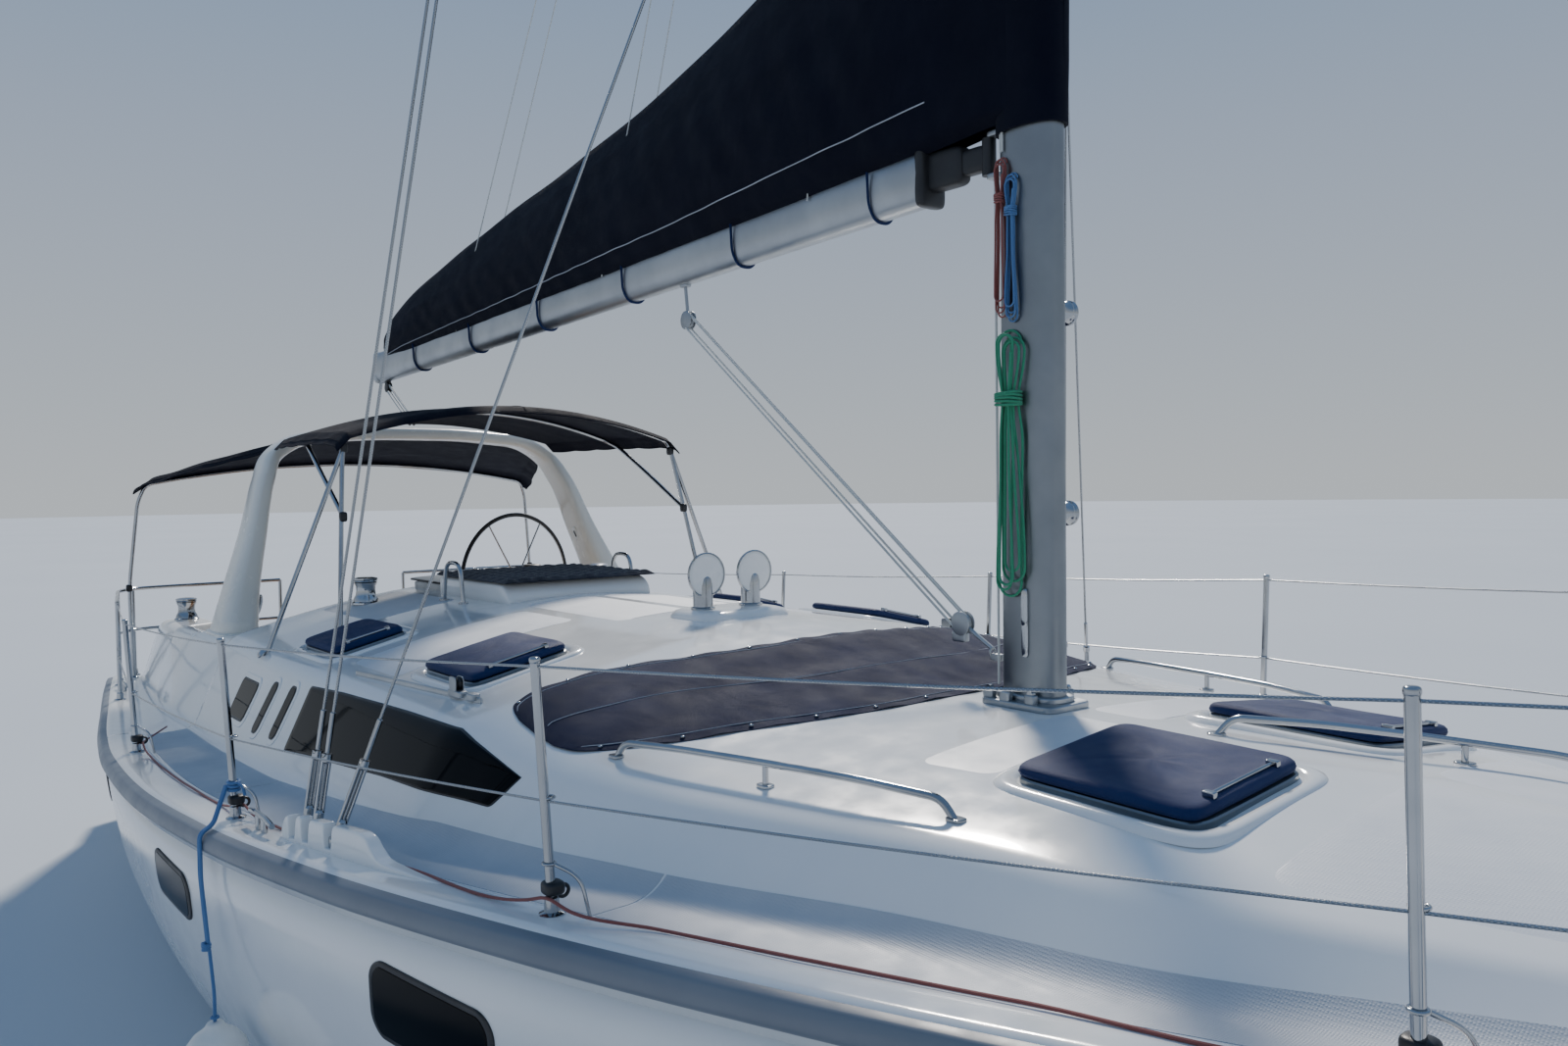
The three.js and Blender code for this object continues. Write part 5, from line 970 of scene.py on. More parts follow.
class YACHT_OT_nonslip(bpy.types.Operator):
    """Make the non-slip panels of the side decks, the coachroof, the seats and the soles"""
    bl_idname = "yacht.nonslip"
    bl_label = "Non-slip panels"

    def execute(self, context):
        panels = []
        for x0, x1 in ((-2900, -1050), (-1040, 1440), (1450, 3900)):
            x = np.linspace(x0, x1, 80)
            line = deck_half(x)
            # from the gunwale's foot (point 18 of the section) into the fillet at the coachroof's foot
            last = 20.4 + 3.6 * np.clip((x + 1100) / 1500, 0, 1)
            at = np.concatenate([np.linspace(18, 19, 8)[:-1] + 0 * x[:, None],
                                 19 + (last - 19)[:, None] * np.linspace(0, 1, 8)], 1)
            k = np.minimum(at.astype(int), 29)
            rows = np.arange(len(x))[:, None]
            p = line[rows, k] * (1 - (at - k))[..., None] + line[rows, k + 1] * (at - k)[..., None]
            d = np.gradient(p, axis=1)
            n = np.stack([d[..., 1], -d[..., 0]], -1)
            n /= np.linalg.norm(n, axis=-1, keepdims=True)
            for s in (-1, 1):
                face = lambda up: lean_back(x[:, None], s * (p + n * up)[..., 0], (p + n * up)[..., 1])
                panels.append(slab(face(-2.5), face(1.6)))
        put("side_deck_covering", panels, "grey_deck_covering")
        # the coachroof's panels reach to a share of its shoulder's distance
        line = lambda share: lambda x: share * col(TRUNK, 2, x)
        roofs = patch(2760, 4650, 40, line(0.86), roof, 60, 1.2, cols=20)
        roofs += patch(1720, 1960, 60, line(0.62), roof, 50, 1.2, cols=16)
        roofs += patch(-1200, -680, 480, line(0.9), roof, 50, 1.2, cols=16)
        roofs += patch(-2840, -2000, 480, 940, roof, 50, 1.2, cols=16)
        roofs += patch(-1340, -420, 30, 400, roof, 50, 1.2, cols=12)
        put("coachroof_nonslip", roofs, "white_nonslip")
        seat = lambda x, y: SEAT + 0 * x
        seats = patch(-3560, -2980, 540, 1040, seat, 50, 10)
        seats += patch(-5280, -4480, 760, 1020, seat, 50, 10)
        sole = lambda x, y: SOLE + 0 * x
        soles = patch(-5300, -3660, 16, 640, sole, 50, 8)
        soles += patch(-3640, -2960, 16, 430, sole, 40, 8)
        put("cockpit_planks", seats + soles, "teak_planks")
        return {"FINISHED"}


class YACHT_OT_cockpit(bpy.types.Operator):
    """Make the cockpit moulding with its coamings, seats, footwell and transom wall"""
    bl_idname = "yacht.cockpit"
    bl_label = "Cockpit"

    def execute(self, context):
        x = np.unique(np.concatenate([np.linspace(COCKPIT_END, TRUNK_END - 0.3, 90), COCKPIT[:, 0]]))
        b, low = beam(x), sheer(x)
        top = low + RAIL
        foot, out, high = (col(COCKPIT, i, x) for i in (1, 2, 4))
        inn, well = (np.interp(x, COCKPIT[:, 0], COCKPIT[:, i]) for i in (3, 5))
        corners = [(b, low + 0.3), (b, top), (b - CAP, top), (b - GUTTER, top - OUTER_FALL),
                   (foot, top - INNER_FALL), (out, high), (inn, high), (inn - 25, SEAT), (well, SEAT - 8),
                   (well - 25, SOLE), (0 * x, SOLE)]
        corners = np.stack([np.stack(np.broadcast_arrays(*c), -1) for c in corners], 1)
        half = soften(corners, [42, 34, 26, 60, 60, 40, 40, 25, 30], 6)
        half = np.concatenate([half[:, :-1], np.linspace(half[:, -2], half[:, -1], 6, axis=1)[:, 1:]], 1)
        shell = put("cockpit_shell", [sheet(mirrored(half, x))], "white_gelcoat", facing=upwards)
        thicken(shell, 24)
        y = np.array([1400, 1290, 1200, 1060, 1020, GATE + 1, GATE, 0])
        y = np.concatenate([y, -y[-2::-1]])
        z1 = np.interp(np.abs(y), [0, GATE, GATE + 1, 1020, 1060, 1290, 1400],
                       [SOLE, SOLE, 1360, SEAT, 1500, 1500, 1130])
        edge = [grid(x, y, z) for x, z in ((-5400, 960 + 0 * y), (-5400, z1 - 6), (-5394, z1), (-5376, z1),
                                           (-5370, z1 - 6), (-5370, 960 + 0 * y))]
        wall = slab(np.stack(edge[:3], 1), np.stack(edge[:2:-1], 1))
        wall = put("transom_wall", [wall], "white_gelcoat", sharp=25)
        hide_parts("cockpit")
        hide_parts("cockpit")
        return {"FINISHED"}


class YACHT_OT_band(bpy.types.Operator):
    """Make the rubbing band round the gunwale, just above the joint of hull and deck"""
    bl_idname = "yacht.band"
    bl_label = "Rubbing band"

    def execute(self, context):
        x = hull_stations()
        side = lean_back(x, beam(x), sheer(x)) / MM
        path = np.concatenate([side * (1, -1, 1), side[-2::-1]])
        rows = np.concatenate([x, x[-2::-1]])
        t = np.gradient(path[:, :2], axis=0)
        t /= np.linalg.norm(t, axis=1, keepdims=True)
        normal = np.stack([t[:, 1], -t[:, 0]], -1)
        profile = np.array([[(1, 27), (23, 31), (33, 44), (33, 68), (19, 95), (-9, 100.5)]], float)
        profile = soften(profile, [5, 8, 12, 8], 4)[0]
        outs = np.where(profile[:, 0] < 0, profile[:, 0] * narrow(beam(rows))[:, None], profile[:, 0])
        # it dips by 50 mm towards the stem
        ups = profile[:, 1] - 50 * np.maximum(0, (rows[:, None] - 5000) / 1200)
        lean = col(HULL, 5, rows)

        def lay(outs):
            """The profile's points all along the joint, moved out from it and up."""
            p = np.repeat(path[:, None], len(profile), 1)
            p[..., :2] += normal[:, None] * outs[..., None]
            p[..., 0] += lean[:, None] * ups
            p[..., 2] += ups
            return p * MM
        band = put("rubbing_band", [slab(lay(np.minimum(-3, outs - 6)), lay(outs))], "grey_vinyl", sharp=50)
        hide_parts("rub_band")
        return {"FINISHED"}


SIDE_HIGH = 420                    # height of the coachroof's side, for shares of it


class YACHT_OT_glass(bpy.types.Operator):
    """Make the smoked side windows and slots, in their seals and moulded borders"""
    bl_idname = "yacht.glass"
    bl_label = "Side windows"

    def execute(self, context):
        u, v = eased(90)[:, None], eased(40)[None]
        for side, s in SIDES:
            panes, seals, borders = [], [], []
            for grow, out, into in ((0, 5.0, panes), (7, 2.6, seals)):
                right = np.interp(v, [0, 0.24, 0.60, 1], [628, 660, 700, 268])
                low = np.interp(u, [0, 0.6, 1], [0.25, 0.40, 0.45])
                high = np.interp(u, [0, 0.25, 0.7, 1], [0.87, 0.915, 0.965, 0.985])
                self.pane(into, s, u, v, -1240 + 0 * v - grow, right + grow * 1.3, low - grow / SIDE_HIGH,
                          high + grow / SIDE_HIGH, 10 + grow, out)
            for a, b, c, d, lo, hi in SLOTS:
                for grow, out, into, corner in ((0, 6.5, panes, 32), (7, 5.2, seals, 36),
                                                (30, 3.6, borders, 62)):
                    self.pane(into, s, u[::2], v, a + (c - a) * v - grow, b + (d - b) * v + grow,
                              lo - grow / SIDE_HIGH, hi + grow / SIDE_HIGH, corner, out)
            piece = put(f"side_windows_{side}", panes, "cast_acrylic", sharp=60)
            put(f"window_seals_{side}", seals, "black_nylon", sharp=60)
            put(f"slot_borders_{side}", borders, "white_gelcoat", sharp=60)
            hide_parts(f"cabin_glazing_{side}")
        return {"FINISHED"}

    @staticmethod
    def pane(into, s, u, v, left, right, low, high, corner, out):
        """Pane between slanting ends, its corners pulled in along quarter circles and its edge rounded."""
        share = low + (high - low) * v
        d = np.clip(np.minimum(share - low, high - share) * SIDE_HIGH, 0, corner)
        pull = pulled(corner, d)
        x = (left + pull) * (1 - u) + (right - pull) * u
        face = side_point(x, share, s, out - 1.6 * (1 - from_edge(u, v)))
        into.append(slab(side_point(x, share, s, -6), face))


# Slots behind the side window: x of the foot's and the head's two ends, from share, to share
SLOTS = [(-1516, -1432, -1480, -1396, 0.29, 0.81), (-1812, -1728, -1754, -1670, 0.27, 0.78),
         (-2322, -2026, -2288, -1974, 0.31, 0.70)]


class YACHT_OT_hatches(bpy.types.Operator):
    """Make the hatch lids under their fitted canvas, the locker lid and the companionway slide"""
    bl_idname = "yacht.hatches"
    bl_label = "Hatches and slide"

    def execute(self, context):
        for k, (name, (hx, hy, length, width)) in enumerate(HATCHES.items()):
            for side, s in SIDES:
                at, axes = roof_plane(hx, s * hy)
                # the canvas reaches 6 mm over the lid's edges, but stops 1 mm short of the hinge
                at = at - 3.5 * axes[0]
                half = (length / 2 + 2.5, width / 2 + 6)
                inner = np.linspace(0.97, 0, 18)
                section = [(0, 0, 15), (1, -10, 15), (1, 0, 17), (1, 2, 26), (1, 0, 36), (1, -6, 43),
                           (1, -14, 46)]
                section += [(c, -14 * c, 46.5 + 4 * (1 - c)) for c in inner]

                def drape(p, seed=k * 2 + s):
                    """Wrinkles on top of the canvas, and slighter ones round its edge."""
                    p = p.copy()
                    x, y = p[..., 0], p[..., 1]
                    wrinkle = waves(x, y, seed + 5, 95) + 0.6 * waves(x, y, seed + 9, 40)
                    p[..., 2] += np.where(p[..., 2] > 40, 1.6 * wrinkle, 0)
                    p[..., :2] *= 1 + 0.004 * np.where(p[..., 2:] < 40, wrinkle[..., None], 0)
                    return p
                cover = put(f"{name}_cover_{side}", [rim(at, axes, half, section, 0.16, 120, drape)],
                            "fitted_canvas", f"{name}_{side}", sharp=70)
                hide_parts(f"{name}_{side}")
                hem = [rim(at, axes, half, [(1, 1 + 1.8 * math.cos(a), 26 + 1.8 * math.sin(a))
                                            for a in np.linspace(0, 2 * math.pi, 8)], 0.16, 120)]
                put(f"{name}_hem_{side}", hem, "fitted_canvas", f"{name}_{side}")
                bar = [(length / 2 - 20, e) for e in (-0.3 * width, 0.3 * width)]
                spot = [(np.array([a, b, 52.0]) @ axes + at) for a, b in bar]
                hinge = [rod(spot[0], spot[1], 5), *(pad(p, (16, 9, 8), axes=axes) for p in spot)]
                put(f"{name}_hinge_{side}", hinge, "polished_stainless", f"{name}_{side}")

        at, axes = roof_plane(*LOCKER[:2])
        section = [(0, 0, 15), (1, -6, 15), (1, 0, 19), (1, 0, 36), (1, -8, 44)] + [
            (c, -8 * c, 44 + 3 * (1 - c * c)) for c in np.linspace(0.96, 0, 10)]
        lid = put("anchor_locker_cover", [rim(at, axes, (LOCKER[2] / 2, LOCKER[3] / 2), section)],
                  "white_gelcoat", "anchor_locker_lid")
        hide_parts("anchor_locker_lid")
        latch = [lathe([(0, 0), (17, 0), (17, 3), (12, 5), (0, 5)], np.array([-180, 0, 47]) @ axes + at,
                       axes[2])]
        put("anchor_locker_latch", latch, "polished_stainless", "anchor_locker_lid")

        half = 375
        x, y = np.linspace(-2950, -2300, 40)[:, None], swept(half, 40)[None]
        slide = put("slide_panel", [slab(grid(x, y, 1914.6), grid(x, y, 1934 - 8 * (y / half) ** 6))],
                    "cast_acrylic", "slide", sharp=30)
        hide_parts("companionway_slide")
        grip = [(-2930, y, z) for y, z in ((-90, 1934), (-90, 1955), (90, 1955), (90, 1934))]
        put("slide_handle", [tube(bend(grip, 20), 6 * MM)], "polished_stainless", "slide")
        dress("companionway_bulkhead", "warm_gelcoat")
        return {"FINISHED"}


def dress(name, material):
    """Gives a CAD node that stays as it is a finer material."""
    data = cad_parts[name].data
    data.materials.clear()
    data.materials.append(finish(material))


def press_studs(points, up):
    """Small domed studs at points in millimetres."""
    r = sizes().stud / MM
    return [lathe([(r, 0), (r, 1.2), (r * 0.7, 3.2), (0, 4)], p, up, 12) for p in points]


# Windscreen cover: distance from the centreline, its aft edge and its fore edge there
SCREEN = np.array([
    [0, 562, 1290], [300, 540, 1268], [600, 450, 1192], [860, 305, 1096], [1000, 250, 1042], [1150, 235, 950],
    [1240, 280, 868], [1296, 430, 800], [1318, 600, 720]], float)


class YACHT_OT_canvas(bpy.types.Operator):
    """Make the windscreen cover with its seams and studs, and the quilted hood cover"""
    bl_idname = "yacht.canvas"
    bl_label = "Deck canvas"

    def execute(self, context):
        back, front = (lambda y, i=i: col(SCREEN, i, np.abs(y)) for i in (1, 2))
        wide = SCREEN[-1, 0]
        y = swept(wide, 190)
        v = eased(60)[None]
        x = back(y)[:, None] * (1 - v) + front(y)[:, None] * v
        yy = y[:, None] + 0 * v
        hem = np.clip(np.minimum(np.minimum(v, 1 - v) * 700, (wide - np.abs(yy)) * 1.2) / 60, 0, 1)
        stretch = 3.2 * waves(x, yy * 0.35, 3, 70) + 2.0 * waves(x * 0.5, yy, 8, 130)
        tug = 2.5 * np.cos(yy * 2 * np.pi / 185) * (1 - hem)
        lift = 5 + 5 * hem + hem * stretch + tug
        point = lambda up: grid(x, yy, roof(x, yy) + up)
        # its canvas is lighter and bluer than the rest of the canvas: painted sheen and sunlight
        cover = put("windscreen_canvas", [slab(point(lift - 2.2), point(lift))], "canvas_with_painted_sheen", sharp=80)
        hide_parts("windscreen_cover")
        area = float(np.trapz(front(y) - back(y), y)) * MM * MM
        seams = []
        for share in (0.06, 0.5, 0.94):
            sy = np.linspace(-1270, 1270, 120)
            sx = back(sy) * (1 - share) + front(sy) * share
            seams.append(tube(grid(sx, sy, roof(sx, sy) + 9 + 3 * (share == 0.5)), 1.6 * MM, 6))
        put("windscreen_seams", seams, "pale_piping")
        sy = np.linspace(-1230, 1230, 13)
        spots = [on_roof(float(edge(b)) + inward, b, 9) for edge, inward in ((front, -22), (back, 22))
                 for b in sy]
        put("windscreen_studs", press_studs(spots, (0.1, 0, 1)), "polished_stainless")

        # cover over the hood, quilted in squares of 92 mm and thin at its edge
        aft, fore, half = -2368, -1462, 446
        x = np.linspace(aft, fore, 120)[:, None]
        y = swept(half, 90)[None]
        edge = np.clip(np.minimum(np.minimum(x - aft, fore - x), half - np.abs(y)) / 34, 0, 1)
        quilt = np.abs(np.sin(x * np.pi / 92) * np.sin(y * np.pi / 92)) ** 0.5
        top = 1981 + (9 + 15 * quilt + 3 * waves(x, y, 4, 120)) * np.sqrt(edge)
        quilted = put("hood_quilt", [slab(grid(x, y, 1980.5), grid(x, y, top))], "quilted_canvas", sharp=80)
        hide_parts("hood_cover")
        return {"FINISHED"}


class YACHT_OT_arch(bpy.types.Operator):
    """Make the moulded cockpit arch with its speakers"""
    bl_idname = "yacht.arch"
    bl_label = "Arch"

    def execute(self, context):
        path = spline(across(ARCH), 180)
        tangent = np.gradient(path[:, :3], axis=0)
        tangent /= np.linalg.norm(tangent, axis=1, keepdims=True)
        ahead = np.array([1.0, 0, 0]) - tangent * tangent[:, :1]
        ahead /= np.linalg.norm(ahead, axis=1, keepdims=True)
        out = np.cross(tangent, ahead)
        a = full_turn(48)[None, :, None]
        p = path[:, None, :3] + (ahead[:, None] * path[:, 3, None, None] * power(np.cos(a), 0.55)
                                 + out[:, None] * path[:, 4, None, None] * power(np.sin(a), 0.6))
        # the feet run down into the coamings
        foot = lambda q, z: np.concatenate([q[..., :2], np.full_like(q[..., :1], z)], -1)
        p = np.concatenate([foot(p[:1], 1.60), p, foot(p[-1:], 1.60)])
        arch = put("arch_moulding", [sheet(p)], "warm_gelcoat", sharp=60)
        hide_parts("arch")
        gasket = [pad((-3370, s * 1290, 1640), (214, 124, 12), (0.3, 0.45)) for s in (-1, 1)]
        put("arch_feet", gasket, "warm_gelcoat")
        rings, cones, panels = [], [], []
        for s in (-1, 1):
            up, way = np.array([-0.3, -s * 0.286, 0.914]), np.array([0, -s * 0.958, -0.286])
            up /= np.linalg.norm(up)
            way -= up * (way @ up)
            way /= np.linalg.norm(way)
            axes = np.stack([np.cross(way, up), way, up])
            at = np.array([-3376, s * 1153, 1774.0])
            rings.append(lathe([(48, -6), (78, -6), (80, 2), (73, 7), (56, 5), (50, 0)], at, way))
            cones.append(lathe([(0, -2), (16, -1), (51, 4), (52, -4)], at, way))
            at = np.array([-3528, s * 1074, 2131.0])
            panels.append(pad(at, (24, 5, 50), (0.3, 0.3), axes))
            cones.append(pad(at + 3 * way, (9, 5, 24), (0.3, 0.3), axes))
        put("speaker_rings", rings, "white_plastic")
        put("speaker_grilles", cones, "black_nylon")
        put("arch_access_panels", panels, "white_plastic")
        return {"FINISHED"}


# Arch from its port foot to the middle: x, y, z and the half sizes of its section
ARCH = [(-3370, 1290, 1630, 200, 110), (-3455, 1222, 1880, 168, 84), (-3560, 1122, 2200, 142, 62),
        (-3670, 1024, 2530, 122, 50), (-3755, 950, 2680, 115, 45), (-3785, 820, 2775, 115, 45),
        (-3800, 520, 2825, 115, 42), (-3805, 0, 2845, 115, 42)]
# Bimini cloths: x, half width, crown height, drop to the edge
FORE_CLOTH = np.array([(-3632, 930, 2900, 130), (-3250, 990, 2945, 170), (-2850, 1010, 2955, 180),
                       (-2400, 1020, 2945, 180), (-2180, 1025, 2925, 175), (-2125, 1025, 2890, 170)], float)
AFT_CLOTH = np.array([(-5165, 1450, 2650, 145), (-5120, 1450, 2680, 150), (-4850, 1350, 2740, 150),
                      (-4400, 1180, 2820, 150), (-3925, 930, 2880, 130)], float)
# Flange that a bimini's leg stands in: radius, height
FLANGE = [(0, 0), (30, 0), (30, 6), (18, 16), (0, 18)]


def cloth_height(rows, x, share, bows):
    """Crown less the drop as the square of the share, a valance at the edge, and a sag between the bows."""
    crown, drop = col(rows, 2, x), col(rows, 3, x)
    gap = np.min([np.abs(x - b) for b in bows], axis=0)
    sag = 16 * np.clip(gap / 350, 0, 1) ** 2 * np.maximum(0, 1 - np.abs(share)) ** 0.3
    return crown - drop * share ** 2 - 700 * np.maximum(0, np.abs(share) - 0.97) - sag


class YACHT_OT_biminis(bpy.types.Operator):
    """Make the two biminis, each one sagged sheet with piping, on stainless bows and legs"""
    bl_idname = "yacht.biminis"
    bl_label = "Biminis"

    def execute(self, context):
        r = sizes().rail
        for name, rows, bows in (("fore_bimini", FORE_CLOTH, (-3632, -2900, -2180)),
                                 ("aft_bimini", AFT_CLOTH, (-5130, -3925))):
            x = np.linspace(rows[0, 0], rows[-1, 0], 90)[:, None]
            share = swept(1.03, 90)[None]
            y = share * col(rows, 1, x)
            z = cloth_height(rows, x, share, bows) + 2.2 * waves(x, y, 11, 160) + 7
            z = z - 6 * np.abs(np.sin(x * np.pi / 260)) * (np.abs(share) > 0.97)
            face = lambda up: grid(x, y, z + up)
            # the cloth's nearly black canvas is navy with painted shade for its underside
            cloth = put(f"{name}_cloth", [slab(face(-1.5), face(1.5))], "canvas_with_painted_shade", sharp=70)
            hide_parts(name)
            g = face(0)
            edges = [tube(e, sizes().piping, 8) for e in (g[0], g[-1], g[:, 0], g[:, -1])]
            edges += [tube(g[:, k] + (0, 0, 0.0028), 1.4 * MM, 6) for k in (6, 45, -7)]
            put(f"{name}_piping", edges, "canvas_with_painted_shade")

        def bow(rows, x, leg):
            """Path of a tube up its leg, along 9 mm under the cloth and down on the other side."""
            over = [(x, c * float(col(rows, 1, x)), float(cloth_height(rows, x, c, (x,))) - 9)
                    for c in (0.96, 0.88, 0.8, 0.68, 0.55, 0.42, 0.28, 0.14, 0)]
            return bend(across(leg + over), 110)

        fore = [tube(bow(FORE_CLOTH, -2180, [(-1950, 1120, 1740), (-2075, 1062, 2280), (-2150, 1025, 2620),
                                             (-2168, 1010, 2715)]), r),
                tube(bow(FORE_CLOTH, -2900, [(-2078, 1050, 2330), (-2500, 1030, 2570), (-2800, 1010, 2735)]),
                     r)]
        knots = []
        for s in (-1, 1):
            fore.append(rod((-2160, s * 1012, 2690), (-2150, s * 1440, 1600), r / MM))
            base = float(roof(-1950, 1120))
            fore.append(lathe([(0, base - 4), (30, base - 4), (30, base + 4), (18, base + 14), (16, 1770),
                               (0, 1776)], (-1950, s * 1120, 0)))
            fore.append(lathe(FLANGE, (-2150, s * 1440, 1655), (0, s * 0.7, 0.7)))
            for spot in ((-2078, s * 1050, 2330), (-2164, s * 1012, 2688)):
                knots.append(pad(spot, (20, 19, 26), (0.5, 0.5)))
        fore = put("fore_bimini_tubes", fore, "polished_stainless")
        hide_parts("fore_bimini_frame")
        aft = [tube(bow(AFT_CLOTH, -5130, [(-5215, 1515, 1160), (-5205, 1530, 1800), (-5160, 1470, 2400),
                                           (-5140, 1430, 2500)]), r)]
        for s in (-1, 1):
            aft.append(lathe(FLANGE, (-5215, s * 1515, 1164)))
            knots.append(pad((-5205, s * 1530, 1800), (20, 19, 26), (0.5, 0.5)))
        aft = put("aft_bimini_tubes", aft, "polished_stainless")
        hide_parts("aft_bimini_frame")
        put("bimini_knuckles", knots, "black_nylon")
        return {"FINISHED"}


def rail_base(at, up=(0, 0, 1)):
    """Round stainless foot that a rail tube stands in."""
    return lathe([(0, -2), (34, -2), (34, 4), (20, 9), (18, 42), (14, 46), (0, 46)], at, up)


def handrail_feet(spots, high):
    """Flat feet under a handrail on the coachroof, with a post at the middle one."""
    feet = [pad(on_roof(x, y, 2), (26, 20, 5), (0.3, 0.7)) for x, y in spots]
    x, y = spots[1]
    return feet[:2] + [rod(on_roof(x, y), on_roof(x, y, high), 9)] + feet[2:]


# Stanchions of the guard rails along x, their height and lean over the gunwale, and the upper wire's height
STANCHIONS = [3210, 1410, -410, -2290]
POST_HIGH, POST_LEAN, WIRE_HIGH = 635, 35, 620


class YACHT_OT_rails(bpy.types.Operator):
    """Make the pulpit, guard rails with stanchions and wires, stern rails and handrails"""
    bl_idname = "yacht.rails"
    bl_label = "Rails"

    def execute(self, context):
        r = sizes().rail
        parts = []
        for up, tube_r in ((610, r), (305, r * 0.84)):
            half = [(x, y, 1600 + up) for x, y in ((4880, 470), (5400, 300), (5800, 190), (6060, 105),
                                                   (6130, 0))]
            parts.append(tube(bend(across(half), 120), tube_r))
        for s in (-1, 1):
            for x, inset, top_y in ((4900, 110, 466), (5750, 80, 205)):
                y, z = gunwale(x, inset)
                parts += [rod((x, s * y, 1585), (x, s * top_y, 2210), r / MM), rail_base((x, s * y, z))]
        pulpit = put("bow_rail", parts, "polished_stainless")
        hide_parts("pulpit")

        for side, s in SIDES:
            parts, wires, black, posts = [], [], [], []
            for x in STANCHIONS:
                y, z = gunwale(x, 110)
                top = np.array([x, s * (y + POST_LEAN), z + POST_HIGH])
                foot = np.array([x, s * y, z])
                posts.append((x, y, z))
                parts += [rod(foot, top, r / MM), rail_base(foot, top - foot),
                          pad(top, (14, 14, 9), (0.6, 1)),
                          tube(bend([foot + (6, s * 4, 130), foot + (60, -s * 48, 96),
                                     foot + (78, -s * 62, -4)], 60), 5 * MM)]
                parts += [ring(foot + (0, s * 5, 292), 15, 3.4), ring(foot + (0, s * 7, 128), 15, 4)]
                black += [pad(foot + (0, -s * 2, 66), (30, 27, 17), (0.5, 0.7)),
                          ring(foot + (0, -s * 30, 52), 15, 5, (1, 0, 0), 20, 8)]
            for share in (1, 0.46):
                line = [(4855, s * 480, 1600 + 600 * share)]
                line += [(x, s * (y + POST_LEAN * share), z + WIRE_HIGH * share) for x, y, z in posts]
                line.append((-4215, s * 1757, 1165 + 615 * share))
                line = np.array(line)
                for a, b in zip(line[:-1], line[1:]):
                    t = np.linspace(0, 1, 24)[:, None]
                    span = a + (b - a) * t
                    span[:, 2] -= 9 * np.sin(np.pi * t[:, 0])
                    wires.append(tube(span * MM, sizes().guard, 8))
                for spot in (line[0], line[-1]):
                    step = (line[1] - line[0]) if spot is line[0] else (line[-2] - line[-1])
                    step = step / np.linalg.norm(step)
                    wires.append(rod(spot, spot + 150 * step, 7))
            path = [(-4200, 1760), (-5150, 1610), (-5340, 1480), (-5375, 1200), (-5375, 480)]
            for up, tube_r in ((620, r), (330, r * 0.84)):
                parts.append(tube(bend([(x, s * y, 1165 + up) for x, y in path], 120), tube_r))
            for x, y in ((-4215, 1757), (-4900, 1649), (-5325, 1490)):
                parts += [rod((x, s * y, 1150), (x, s * y, 1785), r / MM),
                          rail_base((x, s * y, gunwale(x, 0)[1]))]
            parts.append(rod((-5375, s * 480, 1340), (-5375, s * 480, 1785), r / MM))
            piece = put(f"side_rail_{side}", parts, "polished_stainless")
            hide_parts(f"guard_rail_{side}")
            put(f"guard_wires_{side}", wires, "stranded_wire")
            put(f"stanchion_fairleads_{side}", black, "black_nylon")

            # coachroof handrail with flattened ends on its feet
            rows = [(950, 1228, -6), (985, 1218, 48), (1210, 1160, 62), (1510, 1090, 64), (1800, 1020, 62),
                    (2040, 958, 48), (2080, 948, -6)]
            hand = [tube(bend([on_roof(x, s * y, up) for x, y, up in rows], 55), 11 * MM)]
            hand += handrail_feet([(950, s * 1228), (1510, s * 1090), (2080, s * 948)], 62)
            piece = put(f"roof_rail_{side}", hand, "polished_stainless")
            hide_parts(f"handrail_{side}")
        rows = [(2190, 20, -4), (2226, 44, 52), (2440, 118, 60), (2640, 186, 62), (2930, 420, 62),
                (3290, 614, 52), (3330, 640, -4)]
        rail = [tube(bend([on_roof(*row) for row in rows], 50), 11 * MM)]
        rail += handrail_feet([(2190, 20), (2750, 275), (3330, 640)], 60)
        put("foredeck_rail", rail, "polished_stainless")
        loops = []
        for x, y, z in (on_roof(-1950, -520), on_roof(-1950, 520)):
            path = [(x + d, y, z + up) for d, up in ((-130, -4), (-90, 210), (90, 210), (130, -4))]
            loops.append(tube(bend(path, 70), r * 0.9))
            loops += [pad((x + d, y, z + 2), (30, 24, 5), (0.3, 0.8)) for d in (-130, 130)]
        put("hood_grab_loops", loops, "polished_stainless")
        return {"FINISHED"}


def turnbuckle(start, end, length, width=16):
    """Rigging screw: fork and pin, open body of two bars, and swage, along the wire's own line."""
    start, end = np.asarray(start, float), np.asarray(end, float)
    way = (end - start) / np.linalg.norm(end - start)
    side = frame_of(way)[0]
    at = lambda d: start + way * d
    parts = [lathe([(0, 0), (9, 0), (9, 40), (0, 42)], at(0), way, 16), pad(at(8), (12, 20, 12), (0.5, 0.6)),
             rod(at(10) - side * 18, at(10) + side * 18, 6)]
    parts += [rod(at(60) + side * s * width * 0.7, at(length * 0.62) + side * s * width * 0.7, 5.6, 10)
              for s in (-1, 1)]
    parts += [lathe([(0, 0), (width, 0), (width, 26), (9, 34), (0, 34)], at(44), way, 16),
              lathe([(0, 0), (9, 0), (width, 8), (width, 32), (0, 32)], at(length * 0.6), way, 16),
              lathe([(0, 0), (7.5, 0), (8.5, 60), (8.5, 130), (0, 136)], at(length * 0.62 + 26), way, 16)]
    return parts


def spreader_tip(level, s):
    """End of a spreader, which sweeps aft by 32 degrees and rises a little."""
    z, length = level
    a = math.radians(32)
    return np.array([MAST_X - length * math.sin(a), s * length * math.cos(a), z + 0.06 * length])


# Spreaders: height, length
LOWER, UPPER = (7200, 1330), (12500, 1010)


